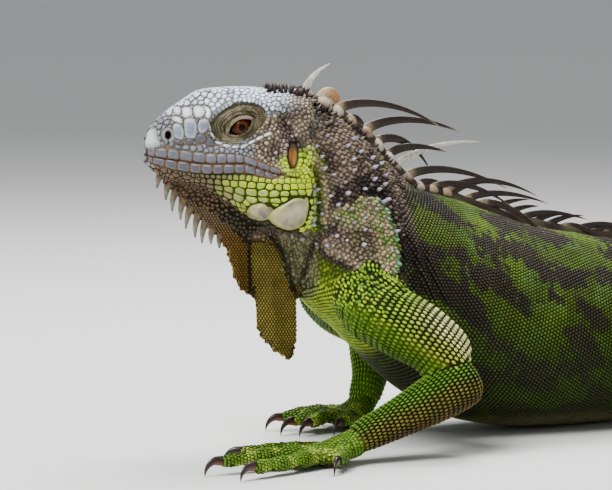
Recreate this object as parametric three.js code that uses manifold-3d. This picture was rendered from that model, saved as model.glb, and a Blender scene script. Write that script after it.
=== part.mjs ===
// A green iguana at life size, standing with its chest raised, its head turned a little to its right
// and its tail laid along the floor.
// Millimetres, +Z up. The trunk faces -X and the animal's left side is toward -Y.
// The origin is the centre of the model's box, on the floor.
import * as THREE from 'three';
import { mergeVertices } from 'three/addons/utils/BufferGeometryUtils.js';
import Module from 'manifold-3d';

const wasm = await Module();
wasm.setup();

// ---- driving dimensions -------------------------------------------------------------------------

const GAP = 0.3;                          // clear space between two pieces that meet
const HEAD_ORIGIN = new THREE.Vector3(-11, 0, 150);   // midway between the two eardrums
const HEAD_YAW = THREE.MathUtils.degToRad(24);        // head turned toward the animal's right
// Points round each kind of tube.
const TRUNK_RING_POINTS = 20;
const TAIL_RING_POINTS = 12;
const HEAD_RING_POINTS = 20;
const LIMB_RING_POINTS = 9;
const DIGIT_RING_POINTS = 5;
const CLAW_RING_POINTS = 5;

const EYE = { x: 25.5, y: 12.4, z: 13.8, radius: 7.3 };
const NOSTRIL = { x: 61.5, y: 11.5, z: 9.9, length: 2.3, height: 2.8, depth: 3 };
const EARDRUM = { y: 24.4, halfLength: 2.7, halfHeight: 6.9, halfDepth: 1.6 };
const JOWL_PLATE = { x: 2.4, y: 26.6, z: -29, halfLength: 9.6, halfHeight: 8.8, halfDepth: 3.4 };
const JOWL_PLATE_FRONT = { x: 16.4, y: 23.6, z: -27.8, halfLength: 6.4, halfHeight: 4.2, halfDepth: 2.4 };

// A claw starts at the angle `rise` above the level and bends down by `bend` degrees, falls as far as
// `fall` and ends `clear` above the floor.
const CLAW = { length: 13, radius: 2.6, rise: 16, bend: 100, fall: 5.8, clear: 0.5 };

// ---- small helpers ------------------------------------------------------------------------------

const vec = (x, y, z) => new THREE.Vector3(x, y, z);
const lerp = THREE.MathUtils.lerp;

// A smooth function of one number through a few [position, value] pairs, in rising order.
function through(...pairs) {
  return (at) => {
    const last = pairs.length - 1;
    if (at <= pairs[0][0]) return pairs[0][1];
    if (at >= pairs[last][0]) return pairs[last][1];
    const i = pairs.findIndex((pair, k) => k < last && at < pairs[k + 1][0]);
    const slope = (k) => {
      const before = pairs[Math.max(k - 1, 0)];
      const after = pairs[Math.min(k + 1, last)];
      return (after[1] - before[1]) / (after[0] - before[0]);
    };
    const [x0, y0] = pairs[i];
    const [x1, y1] = pairs[i + 1];
    const span = x1 - x0;
    const t = (at - x0) / span;
    const t2 = t * t;
    const t3 = t2 * t;
    return (2 * t3 - 3 * t2 + 1) * y0 + (t3 - 2 * t2 + t) * span * slope(i)
      + (3 * t2 - 2 * t3) * y1 + (t3 - t2) * span * slope(i + 1);
  };
}

// A repeatable number from 0 to 1 for each whole number.
function scatter(index) {
  const value = Math.sin(index * 12.9898 + 4.1414) * 43758.5453;
  return value - Math.floor(value);
}

// Six times the signed volume that an indexed geometry encloses.
function signedVolume(positions, indices) {
  let volume = 0;
  const [a, b, c] = [vec(0, 0, 0), vec(0, 0, 0), vec(0, 0, 0)];
  for (let i = 0; i < indices.length; i += 3) {
    a.fromArray(positions, indices[i] * 3);
    b.fromArray(positions, indices[i + 1] * 3);
    c.fromArray(positions, indices[i + 2] * 3);
    volume += a.dot(b.cross(c));
  }
  return volume;
}

function geometryOf(positions, indices) {
  const outward = signedVolume(positions, indices) > 0;
  const order = outward ? indices : indices.slice().reverse();
  const geometry = new THREE.BufferGeometry();
  geometry.setAttribute('position', new THREE.Float32BufferAttribute(positions, 3));
  geometry.setIndex(order);
  return geometry;
}

// A closed tube through rings of points, with a point at the middle of each end.
function loft(rings) {
  const count = rings[0].length;
  const positions = [];
  const indices = [];
  rings.forEach((ring) => ring.forEach((point) => positions.push(point.x, point.y, point.z)));
  for (let i = 0; i < rings.length - 1; i += 1) {
    for (let j = 0; j < count; j += 1) {
      const a = i * count + j;
      const b = i * count + (j + 1) % count;
      indices.push(a, b, a + count, b, b + count, a + count);
    }
  }
  [0, rings.length - 1].forEach((end) => {
    const middle = rings[end].reduce((sum, point) => sum.add(point), vec(0, 0, 0)).divideScalar(count);
    const centre = positions.length / 3;
    positions.push(middle.x, middle.y, middle.z);
    for (let j = 0; j < count; j += 1) {
      const a = end * count + j;
      const b = end * count + (j + 1) % count;
      indices.push(...(end === 0 ? [b, a, centre] : [a, b, centre]));
    }
  });
  return geometryOf(positions, indices);
}

// A closed geometry as a solid that can be joined and cut.
function solid(geometry) {
  const bare = geometry.clone();
  bare.deleteAttribute('normal');
  bare.deleteAttribute('uv');
  const merged = mergeVertices(bare, 1e-4);
  return new wasm.Manifold(new wasm.Mesh({
    numProp: 3,
    vertProperties: Float32Array.from(merged.attributes.position.array),
    triVerts: Uint32Array.from(merged.index.array),
  }));
}

const join = (...solids) => solids.reduce((whole, piece) => whole.add(piece));

// The biggest of the loose bodies that a cut may leave.
function biggest(piece) {
  const bodies = piece.decompose();
  return bodies.reduce((best, body) => (body.volume() > best.volume() ? body : best));
}

// A box that covers everything on the side of a plane that its normal points to.
function beyond(point, normal) {
  const reach = 3000;
  const box = new THREE.BoxGeometry(reach, reach, reach);
  box.translate(0, 0, reach / 2);
  box.applyQuaternion(new THREE.Quaternion().setFromUnitVectors(vec(0, 0, 1), normal.clone().normalize()));
  box.translate(point.x, point.y, point.z);
  return solid(box);
}

const belowFloor = beyond(vec(0, 0, 0), vec(0, 0, -1));

// An ellipsoid with its middle at a point, turned to face along a direction.
function ellipsoid(centre, along, halfAlong, up, halfUp, halfOut, around = 14, high = 8) {
  const ball = new THREE.SphereGeometry(1, around, high);
  const out = along.clone().cross(up).normalize();
  const turn = new THREE.Matrix4().makeBasis(
    along.clone().multiplyScalar(halfAlong),
    up.clone().multiplyScalar(halfUp),
    out.multiplyScalar(halfOut),
  );
  ball.rotateX(Math.PI / 2);
  ball.applyMatrix4(turn.setPosition(centre));
  return solid(ball);
}

// A tube along a smooth line of stations { at, wide, high }, given as half sizes, with round ends.
function tube(stations, { points = LIMB_RING_POINTS, rings = 6, grow = 0 } = {}) {
  const curve = new THREE.CatmullRomCurve3(stations.map((station) => station.at), false, 'centripetal');
  const last = stations.length - 1;
  const wide = through(...stations.map((station, i) => [i / last, station.wide]));
  const high = through(...stations.map((station, i) => [i / last, station.high]));
  const sections = [];
  for (let i = 0; i <= rings; i += 1) {
    const t = i / rings;
    const centre = curve.getPoint(t);
    const forward = curve.getTangent(t).normalize();
    const across = vec(0, 0, 1).cross(forward).normalize();
    const up = forward.clone().cross(across).normalize();
    const ends = i === 0 || i === rings ? 0.62 : 1;
    const shift = i === 0 ? -grow : i === rings ? grow : 0;
    const ring = [];
    for (let j = 0; j < points; j += 1) {
      const angle = (j / points) * 2 * Math.PI;
      ring.push(centre.clone()
        .addScaledVector(forward, shift)
        .addScaledVector(across, Math.cos(angle) * (wide(t) * ends + grow))
        .addScaledVector(up, Math.sin(angle) * (high(t) * ends + grow)));
    }
    sections.push(ring);
  }
  return solid(loft(sections));
}

// ---- neck, trunk and tail: one long tube, parted later ---------------------------------------

// Each station: the middle, how far the tube's axis dips there, how far it is turned toward the
// right, and the half sizes up, down and sideways.
const BODY = [
  { x: -20, z: 153, dip: 14, turn: 24, top: 27, bottom: 33, wide: 23 },
  { x: -8, z: 144, dip: 30, turn: 20, top: 34, bottom: 33, wide: 24 },
  { x: 4, z: 131, dip: 43, turn: 14, top: 38.5, bottom: 31, wide: 26 },
  { x: 15, z: 116, dip: 50, turn: 8, top: 42, bottom: 31, wide: 30 },
  { x: 28, z: 101, dip: 50, turn: 3, top: 46, bottom: 40, wide: 36 },
  { x: 45, z: 87, dip: 44, turn: 0, top: 54, bottom: 39, wide: 40 },
  { x: 62, z: 76, dip: 36, turn: 0, top: 56, bottom: 43, wide: 42 },
  { x: 82, z: 67, dip: 26, turn: 0, top: 56, bottom: 50, wide: 45 },
  { x: 108, z: 59, dip: 16, turn: 0, top: 55, bottom: 55.2, wide: 48 },
  { x: 140, z: 53.5, dip: 9, turn: 0, top: 53, bottom: 54.2, wide: 50 },
  { x: 172, z: 50, dip: 6, turn: 0, top: 51, bottom: 50.8, wide: 49 },
  { x: 205, z: 47.5, dip: 6, turn: 0, top: 47.5, bottom: 47.9, wide: 45 },
  { x: 234, z: 44.5, dip: 8, turn: 0, top: 41, bottom: 41, wide: 37 },
  { x: 258, z: 40.5, dip: 10, turn: 0, top: 33.5, bottom: 31, wide: 29 },
  { x: 285, z: 35.5, dip: 8, turn: 0, top: 27.5, bottom: 25, wide: 23 },
];

// The tail's line on the floor, and its half sizes by the distance along it.
const TAIL_LINE = new THREE.CatmullRomCurve3([
  vec(262, 0, 0), vec(350, -3, 0), vec(440, -24, 0), vec(535, -62, 0), vec(640, -98, 0),
  vec(750, -104, 0), vec(855, -70, 0), vec(950, -12, 0), vec(1035, 52, 0),
], false, 'centripetal');
const TAIL_LENGTH = TAIL_LINE.getLength();
const TAIL_RINGS = 16;
const tailTop = through([0, 32], [22, 27.6], [80, 21.5], [160, 17.5], [320, 12.6], [520, 8], [720, 4],
  [TAIL_LENGTH, 0.9]);
const tailWide = through([0, 28], [22, 23.2], [80, 17.5], [160, 14], [320, 9.8], [520, 6.3], [720, 3.3],
  [TAIL_LENGTH, 0.8]);
const tailHeight = through([0, 39.5], [22, 35.6], [80, 27], [160, 18.6], [320, 12.7], [520, 8.1],
  [720, 4.1], [TAIL_LENGTH, 0.7]);

// One ring of the body: rounded, a little fuller below the middle and narrower at the back's ridge.
function bodyRing({ centre, forward, up, top, bottom, wide }, points, grow) {
  const across = up.clone().cross(forward).normalize();
  const ring = [];
  for (let j = 0; j < points; j += 1) {
    const angle = (j / points) * 2 * Math.PI + Math.PI / 2;
    const rise = Math.sin(angle);
    const reach = rise > 0 ? top : bottom;
    const pinch = 1 - 0.16 * Math.max(rise, 0) ** 2 + 0.05 * Math.max(-rise, 0);
    ring.push(centre.clone()
      .addScaledVector(across, Math.cos(angle) * (wide * pinch + grow))
      .addScaledVector(up, rise * (reach + grow)));
  }
  return ring;
}

// A station's middle, the way the tube runs there and its half sizes.
function bodyFrame(station) {
  const dip = THREE.MathUtils.degToRad(station.dip);
  const turn = THREE.MathUtils.degToRad(station.turn);
  const level = vec(Math.cos(turn), -Math.sin(turn), 0);
  const forward = level.clone().multiplyScalar(Math.cos(dip)).addScaledVector(vec(0, 0, -1), Math.sin(dip));
  const up = level.clone().multiplyScalar(Math.sin(dip)).addScaledVector(vec(0, 0, 1), Math.cos(dip));
  const sway = Math.max(0, -station.x) * Math.tan(turn) * 0.7;
  return { ...station, centre: vec(station.x, sway, station.z), forward, up };
}

// The same for the tail, at a distance along it.
function tailFrame(distance) {
  const t = distance / TAIL_LENGTH;
  const centre = TAIL_LINE.getPointAt(t);
  centre.z = tailHeight(distance);
  const top = tailTop(distance);
  const bottom = Math.min(centre.z + 0.5, top * 1.02);
  return { centre, forward: TAIL_LINE.getTangentAt(t).normalize(), up: vec(0, 0, 1), top, bottom,
    wide: tailWide(distance) };
}

function trunkSolid(grow) {
  return solid(loft(BODY.map((station) => bodyRing(bodyFrame(station), TRUNK_RING_POINTS, grow))));
}

function tailSolid(grow) {
  const rings = [];
  for (let i = 0; i <= TAIL_RINGS; i += 1) {
    rings.push(bodyRing(tailFrame(TAIL_LENGTH * (i / TAIL_RINGS)), TAIL_RING_POINTS, grow));
  }
  return solid(loft(rings));
}

const trunk = trunkSolid(0);
const tail = tailSolid(0);
const bodyGrown = join(trunkSolid(GAP), tailSolid(GAP));

// ---- head -----------------------------------------------------------------------------------

// The head's own axes: x toward the snout, y toward the left, z up, from midway between the eardrums.
const HEAD_FORWARD = vec(-Math.cos(HEAD_YAW), Math.sin(HEAD_YAW), 0);
const HEAD_LEFT = vec(-Math.sin(HEAD_YAW), -Math.cos(HEAD_YAW), 0);
const HEAD_UP = vec(0, 0, 1);

function onHead(x, y, z) {
  return HEAD_ORIGIN.clone()
    .addScaledVector(HEAD_FORWARD, x)
    .addScaledVector(HEAD_LEFT, y)
    .addScaledVector(HEAD_UP, z);
}

// Half an outline of the head across its axis, from the crown down the side to the throat.
const CROWN = through([-10, 30], [0, 32], [8, 32.6], [20, 33.8], [34, 33.6], [46, 31.8], [54, 27],
  [62, 21.6], [68, 16.4], [71, 12.6], [73.2, 8]);
const BROW_WIDE = through([-16, 19], [6, 18.2], [25, 17.4], [33, 16.6], [41, 15.2], [52, 12.4],
  [62, 10], [69, 6.8], [73.2, 2.4]);
const BROW_HIGH = through([-16, 19], [4, 26.5], [16, 26.2], [25, 24.2], [33, 21.4], [41, 18],
  [52, 16.2], [62, 13.8], [69, 10.2], [73.2, 6]);
const SIDE_WIDE = through([-16, 25], [-4, 24.6], [6, 22.8], [15, 20.2], [25, 18.9], [34, 17.6],
  [45, 15.2], [55, 13.2], [63, 11.4], [69, 8], [73.2, 3]);
const SIDE_HIGH = through([-16, 4], [6, 11], [25, 13.5], [41, 8], [55, 6.8], [66, 5.4], [73.2, 3.6]);
const LIP_WIDE = through([-16, 27.5], [0, 26], [10, 24], [18, 22.2], [28, 20.6], [41, 17.4], [53, 13.8],
  [62, 11.4], [69, 7.8], [73.2, 2.8]);
const LIP_HIGH = through([-16, -13], [6.6, -9.4], [17, -6.2], [24, -4], [41, -4.2], [53.5, -3],
  [73.2, -0.4]);
const JAW_WIDE = through([-16, 24], [-6, 27.6], [2, 28.6], [10, 26.6], [20, 22.6], [30, 18.6],
  [45, 14.2], [58, 10.4], [67, 6.8], [73.2, 2.4]);
const JAW_HIGH = through([-16, -26], [0, -27.5], [15, -22.5], [30, -14.5], [50, -9.5], [66, -6.4],
  [73.2, -2.6]);
const CHIN_WIDE = through([-16, 13], [0, 19], [10, 16.5], [20, 13], [35, 9.8], [50, 7.6], [62, 5.6],
  [69, 3.4], [73.2, 1.4]);
const CHIN_HIGH = through([-16, -33], [-4, -38], [6, -38.4], [14, -34.5], [22, -29.5], [35, -21.5],
  [50, -15.4], [62, -11.8], [69, -8], [73.2, -3.6]);
const THROAT = through([-16, -35], [0, -39], [10, -36.6], [20, -31.8], [35, -23.4], [50, -17],
  [62, -12.8], [69, -8.6], [73.2, -4.2]);
const HEAD_STATIONS = [-11, -3, 6, 15, 25, 35, 45, 54, 61, 67, 71, 73.2];

function headRing(x) {
  const half = [
    [BROW_WIDE(x) * 0.55, CROWN(x) - 1.6],
    [BROW_WIDE(x), BROW_HIGH(x)],
    [SIDE_WIDE(x), SIDE_HIGH(x)],
    [LIP_WIDE(x), LIP_HIGH(x)],
    [JAW_WIDE(x), JAW_HIGH(x)],
    [CHIN_WIDE(x), CHIN_HIGH(x)],
  ];
  const left = half.map(([y, z]) => vec(x, y, z));
  const right = half.map(([y, z]) => vec(x, -y, z)).reverse();
  const outline = [vec(x, 0, CROWN(x)), ...left, vec(x, 0, THROAT(x)), ...right];
  const curve = new THREE.CatmullRomCurve3(outline, true, 'centripetal');
  const ring = [];
  for (let j = 0; j < HEAD_RING_POINTS; j += 1) {
    const point = curve.getPointAt(j / HEAD_RING_POINTS);
    ring.push(onHead(point.x, point.y, point.z));
  }
  return ring;
}

// A slab across the head under the mouth line, with its top face a little above or below the line.
function underMouth(lift) {
  const shape = new THREE.Shape();
  shape.moveTo(90, -80);
  shape.lineTo(90, LIP_HIGH(73.2) + lift);
  [68, 54, 42, 30, 22, 16, 8, -4].forEach((x) => shape.lineTo(x, LIP_HIGH(x) + lift));
  shape.lineTo(-40, LIP_HIGH(-4) - 1.4 + lift);
  shape.lineTo(-40, -80);
  const slab = new THREE.ExtrudeGeometry(shape, { depth: 120, bevelEnabled: false });
  slab.translate(0, 0, -60);
  const turn = new THREE.Matrix4().makeBasis(HEAD_FORWARD, HEAD_UP, HEAD_LEFT.clone().negate());
  slab.applyMatrix4(turn.setPosition(HEAD_ORIGIN));
  return solid(slab);
}

function eyeball(sign, grow) {
  const radius = EYE.radius + grow;
  const middle = onHead(EYE.x, sign * EYE.y, EYE.z);
  return ellipsoid(middle, HEAD_FORWARD, radius, HEAD_UP, radius, radius, 10, 7);
}

function eardrum(sign, grow) {
  const { y, halfLength, halfHeight, halfDepth } = EARDRUM;
  return ellipsoid(onHead(0, sign * y, 0), HEAD_FORWARD, halfLength + grow, HEAD_UP, halfHeight + grow,
    halfDepth + grow, 8, 4);
}

function jowlPlate(plate, sign, grow) {
  return ellipsoid(onHead(plate.x, sign * plate.y, plate.z), HEAD_FORWARD, plate.halfLength + grow, HEAD_UP,
    plate.halfHeight + grow, plate.halfDepth + grow, 9, 4);
}

function nostril(sign) {
  const { x, y, z, length, height, depth } = NOSTRIL;
  return ellipsoid(onHead(x, sign * y, z), HEAD_FORWARD, length, HEAD_UP, height, depth, 6, 4);
}

const wholeHead = solid(loft(HEAD_STATIONS.map(headRing)));
const wholeHeadGrown = solid(loft(HEAD_STATIONS.map((x) => {
  const ring = headRing(x);
  const middle = ring.reduce((sum, point) => sum.add(point), vec(0, 0, 0)).divideScalar(ring.length);
  const ends = x === HEAD_STATIONS[0] ? -GAP : 0;
  return ring.map((point) => {
    const out = point.clone().sub(middle);
    return point.clone().addScaledVector(out.normalize(), GAP * 1.4).addScaledVector(HEAD_FORWARD, ends);
  });
})));

// ---- dewlap with its fringe of spikes ----------------------------------------------------------

const DEWLAP_THICKNESS = 3;
// The hanging edge from the chin to the neck, in the head's own plane.
const DEWLAP_EDGE = [
  [65, -13], [57, -22], [49, -30], [41, -37], [34, -46], [30, -56], [27, -67], [22, -71.5], [17.5, -75],
  [16.5, -88], [12, -97], [4, -103.5], [-2, -106], [-4.5, -92], [-4.5, -76], [-9, -62],
];
const FRINGE_COUNT = 9;

function dewlapSheet(grow) {
  const shape = new THREE.Shape();
  shape.moveTo(58, -6);
  const edge = DEWLAP_EDGE.map(([x, z]) => new THREE.Vector2(x, z));
  edge.forEach((point) => shape.lineTo(point.x, point.y));
  shape.lineTo(-14, -40);
  const depth = DEWLAP_THICKNESS + 2 * grow;
  const sheet = new THREE.ExtrudeGeometry(shape, { depth, bevelEnabled: false });
  sheet.translate(0, 0, -depth / 2);
  const turn = new THREE.Matrix4().makeBasis(HEAD_FORWARD, HEAD_UP, HEAD_LEFT.clone().negate());
  sheet.applyMatrix4(turn.setPosition(HEAD_ORIGIN));
  return solid(sheet);
}

// A flat curved spike that leaves a base point at one angle and ends at another, in a plane given by
// a level direction: angles in degrees above it.
function spike({ base, level, up = vec(0, 0, 1), length, startAngle, endAngle, root, thick, lean = 0,
  sides = 4, steps = 4, grow = 0 }) {
  const across = level.clone().cross(up).normalize();
  const rings = [];
  const point = base.clone();
  for (let i = 0; i <= steps; i += 1) {
    const t = i / steps;
    const angle = THREE.MathUtils.degToRad(lerp(startAngle, endAngle, Math.sqrt(t)));
    const forward = level.clone().multiplyScalar(Math.cos(angle)).addScaledVector(up, Math.sin(angle));
    forward.addScaledVector(across, lean * Math.sqrt(t)).normalize();
    const face = forward.clone().cross(across).normalize();
    const taper = 1 - 0.86 * t ** 1.15;
    const halfWide = (root / 2) * taper + grow * 1.5;
    const halfThick = (thick / 2) * taper + grow * 1.5;
    const ring = [];
    for (let j = 0; j < sides; j += 1) {
      const turn = (j / sides) * 2 * Math.PI;
      ring.push(point.clone()
        .addScaledVector(face, Math.cos(turn) * halfWide)
        .addScaledVector(across, Math.sin(turn) * halfThick)
        .addScaledVector(forward, i === steps ? grow : 0));
    }
    rings.push(ring);
    point.addScaledVector(forward, length / steps);
  }
  return solid(loft(rings));
}

function fringe() {
  const spikes = [];
  for (let i = 0; i < FRINGE_COUNT; i += 1) {
    const t = i / (FRINGE_COUNT - 1);
    const x = lerp(64, 34, t);
    const z = lerp(-11, -43, t ** 0.9);
    const length = 9 + 6 * Math.sin(Math.PI * (0.15 + 0.75 * t)) + 3 * scatter(i + 60);
    spikes.push(spike({
      base: onHead(x, 0, z),
      level: HEAD_FORWARD,
      length,
      startAngle: -48 - 10 * scatter(i),
      endAngle: -86 - 14 * scatter(i + 20),
      root: 4,
      thick: 2.6,
      lean: 0.25 * (scatter(i + 40) - 0.5),
      sides: 3,
      steps: 2,
    }));
  }
  return spikes;
}

// ---- crest along the neck, the back and the tail --------------------------------------------------

// The back's top line: from the back of the crown, a point for each station of the body, then along
// the tail.
const CREST_LINE = new THREE.CatmullRomCurve3([
  onHead(1, 0, CROWN(1) - 0.4),
  ...BODY.slice(1).map((station) => {
    const { centre, up } = bodyFrame(station);
    return centre.clone().addScaledVector(up, station.top);
  }),
  ...[80, 140, 220, 300, 380, 460].map((distance) => {
    const { centre } = tailFrame(distance);
    return centre.clone().add(vec(0, 0, tailTop(distance)));
  }),
], false, 'centripetal');
const CREST_LENGTH = CREST_LINE.getLength();

// Where along the top line each part of the crest starts and ends.
const CREST_SPANS = [
  { name: 'crest_neck', start: 5, end: 112 },
  { name: 'crest_back', start: 112.5, end: 345 },
  { name: 'crest_tail', start: 345.5, end: 700 },
];

// The spikes of the neck that stand out one by one: where each grows, measured back from the
// shoulders, its length, and the angles above the level at which it starts and ends.
const NECK_SPIKES = [
  { x: -7, length: 8, start: 70, end: 10, root: 3 },
  { x: -1, length: 22, start: 84, end: 30, root: 4.2 },
  { x: 7, length: 22, start: 80, end: -150, root: 5 },
  { x: 14, length: 60, start: 34, end: -32, root: 4.8 },
  { x: 21, length: 16, start: 56, end: -80, root: 4.6 },
  { x: 30, length: 58, start: 40, end: -24, root: 5 },
  { x: 37, length: 49, start: 40, end: -54, root: 4.8 },
  { x: 44, length: 40, start: 42, end: -20, root: 5 },
  { x: 50, length: 70, start: 34, end: -6, root: 3.6 },
  { x: 57, length: 70, start: 27, end: -26, root: 4.6 },
  { x: 65, length: 34, start: 38, end: -44, root: 4.4 },
  { x: 74, length: 54, start: 32, end: -36, root: 4.2 },
  { x: 83, length: 66, start: 36, end: -26, root: 4.2 },
];

const backSpikeLength = through([100, 42], [200, 34], [260, 28], [320, 20], [360, 14], [450, 9],
  [600, 5], [700, 3]);

function crestSpikes(span) {
  if (span.name === 'crest_neck') return NECK_SPIKES.map((item) => ({ ...item, at: distanceAt(item.x) }));
  const pitch = span.name === 'crest_back' ? 9.2 : 20;
  const spikes = [];
  for (let at = span.start + pitch / 2, i = 0; at < span.end - 3; at += pitch, i += 1) {
    const chance = scatter(i + 7);
    const long = chance > 0.66;
    const length = backSpikeLength(at) * (long ? 1.05 + 0.35 * scatter(i + 31) : 0.55 + 0.4 * chance);
    const start = (long ? 24 : 38) + 10 * scatter(i + 90);
    spikes.push({ at, length, start, end: start - (long ? 50 : 46), root: lerp(4.2, 2.8, at / 700) });
  }
  return spikes;
}

// How far along the top line it stands over a given x.
function distanceAt(x) {
  let [low, high] = [0, CREST_LENGTH / 2];
  for (let i = 0; i < 24; i += 1) {
    const half = (low + high) / 2;
    if (CREST_LINE.getPointAt(half / CREST_LENGTH).x < x) low = half;
    else high = half;
  }
  return low;
}

function crestPoint(distance) {
  const t = Math.min(distance / CREST_LENGTH, 1);
  return { point: CREST_LINE.getPointAt(t), along: CREST_LINE.getTangentAt(t).normalize() };
}

function crestRidge(span, grow) {
  const rings = [];
  const steps = Math.round((span.end - span.start) / 20);
  for (let i = 0; i <= steps; i += 1) {
    const at = lerp(span.start, span.end, i / steps);
    const { point, along } = crestPoint(at);
    const across = along.clone().cross(vec(0, 0, 1)).normalize();
    const up = across.clone().cross(along).normalize();
    const half = lerp(3.6, 1.7, at / CREST_LENGTH) + grow;
    const rise = lerp(4.4, 1.6, at / CREST_LENGTH) + grow;
    const ring = [[-1, -1.6], [-0.75, 0.55], [0, 1], [0.75, 0.55], [1, -1.6]].map(([y, z]) => point.clone()
      .addScaledVector(across, y * half)
      .addScaledVector(up, z * rise));
    rings.push(ring);
  }
  return solid(loft(rings));
}

function crestSolid(span, grow) {
  const spikes = crestSpikes(span).map((item, i) => {
    const { point, along } = crestPoint(item.at);
    return spike({
      base: point.clone().addScaledVector(along, -1),
      level: vec(along.x, along.y, 0).normalize(),
      length: item.length,
      startAngle: item.start,
      endAngle: item.end,
      root: item.root,
      thick: item.root * 0.42,
      lean: (i % 2 ? 0.14 : -0.14) + 0.12 * (scatter(i + 200) - 0.5),
      sides: span.name === 'crest_neck' ? 4 : 3,
      steps: Math.min(Math.ceil(item.length / 14), 4),
      grow,
    });
  });
  return join(crestRidge(span, grow), ...spikes);
}

// One part of the crest, clear of the skin and of the parts in front of it.
function crest(index) {
  let piece = crestSolid(CREST_SPANS[index], 0).subtract(bodyGrown).subtract(wholeHeadGrown);
  CREST_SPANS.slice(0, index).forEach((span) => {
    piece = piece.subtract(crestSolid(span, GAP));
  });
  return piece;
}

// ---- limbs ----------------------------------------------------------------------------------

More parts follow.
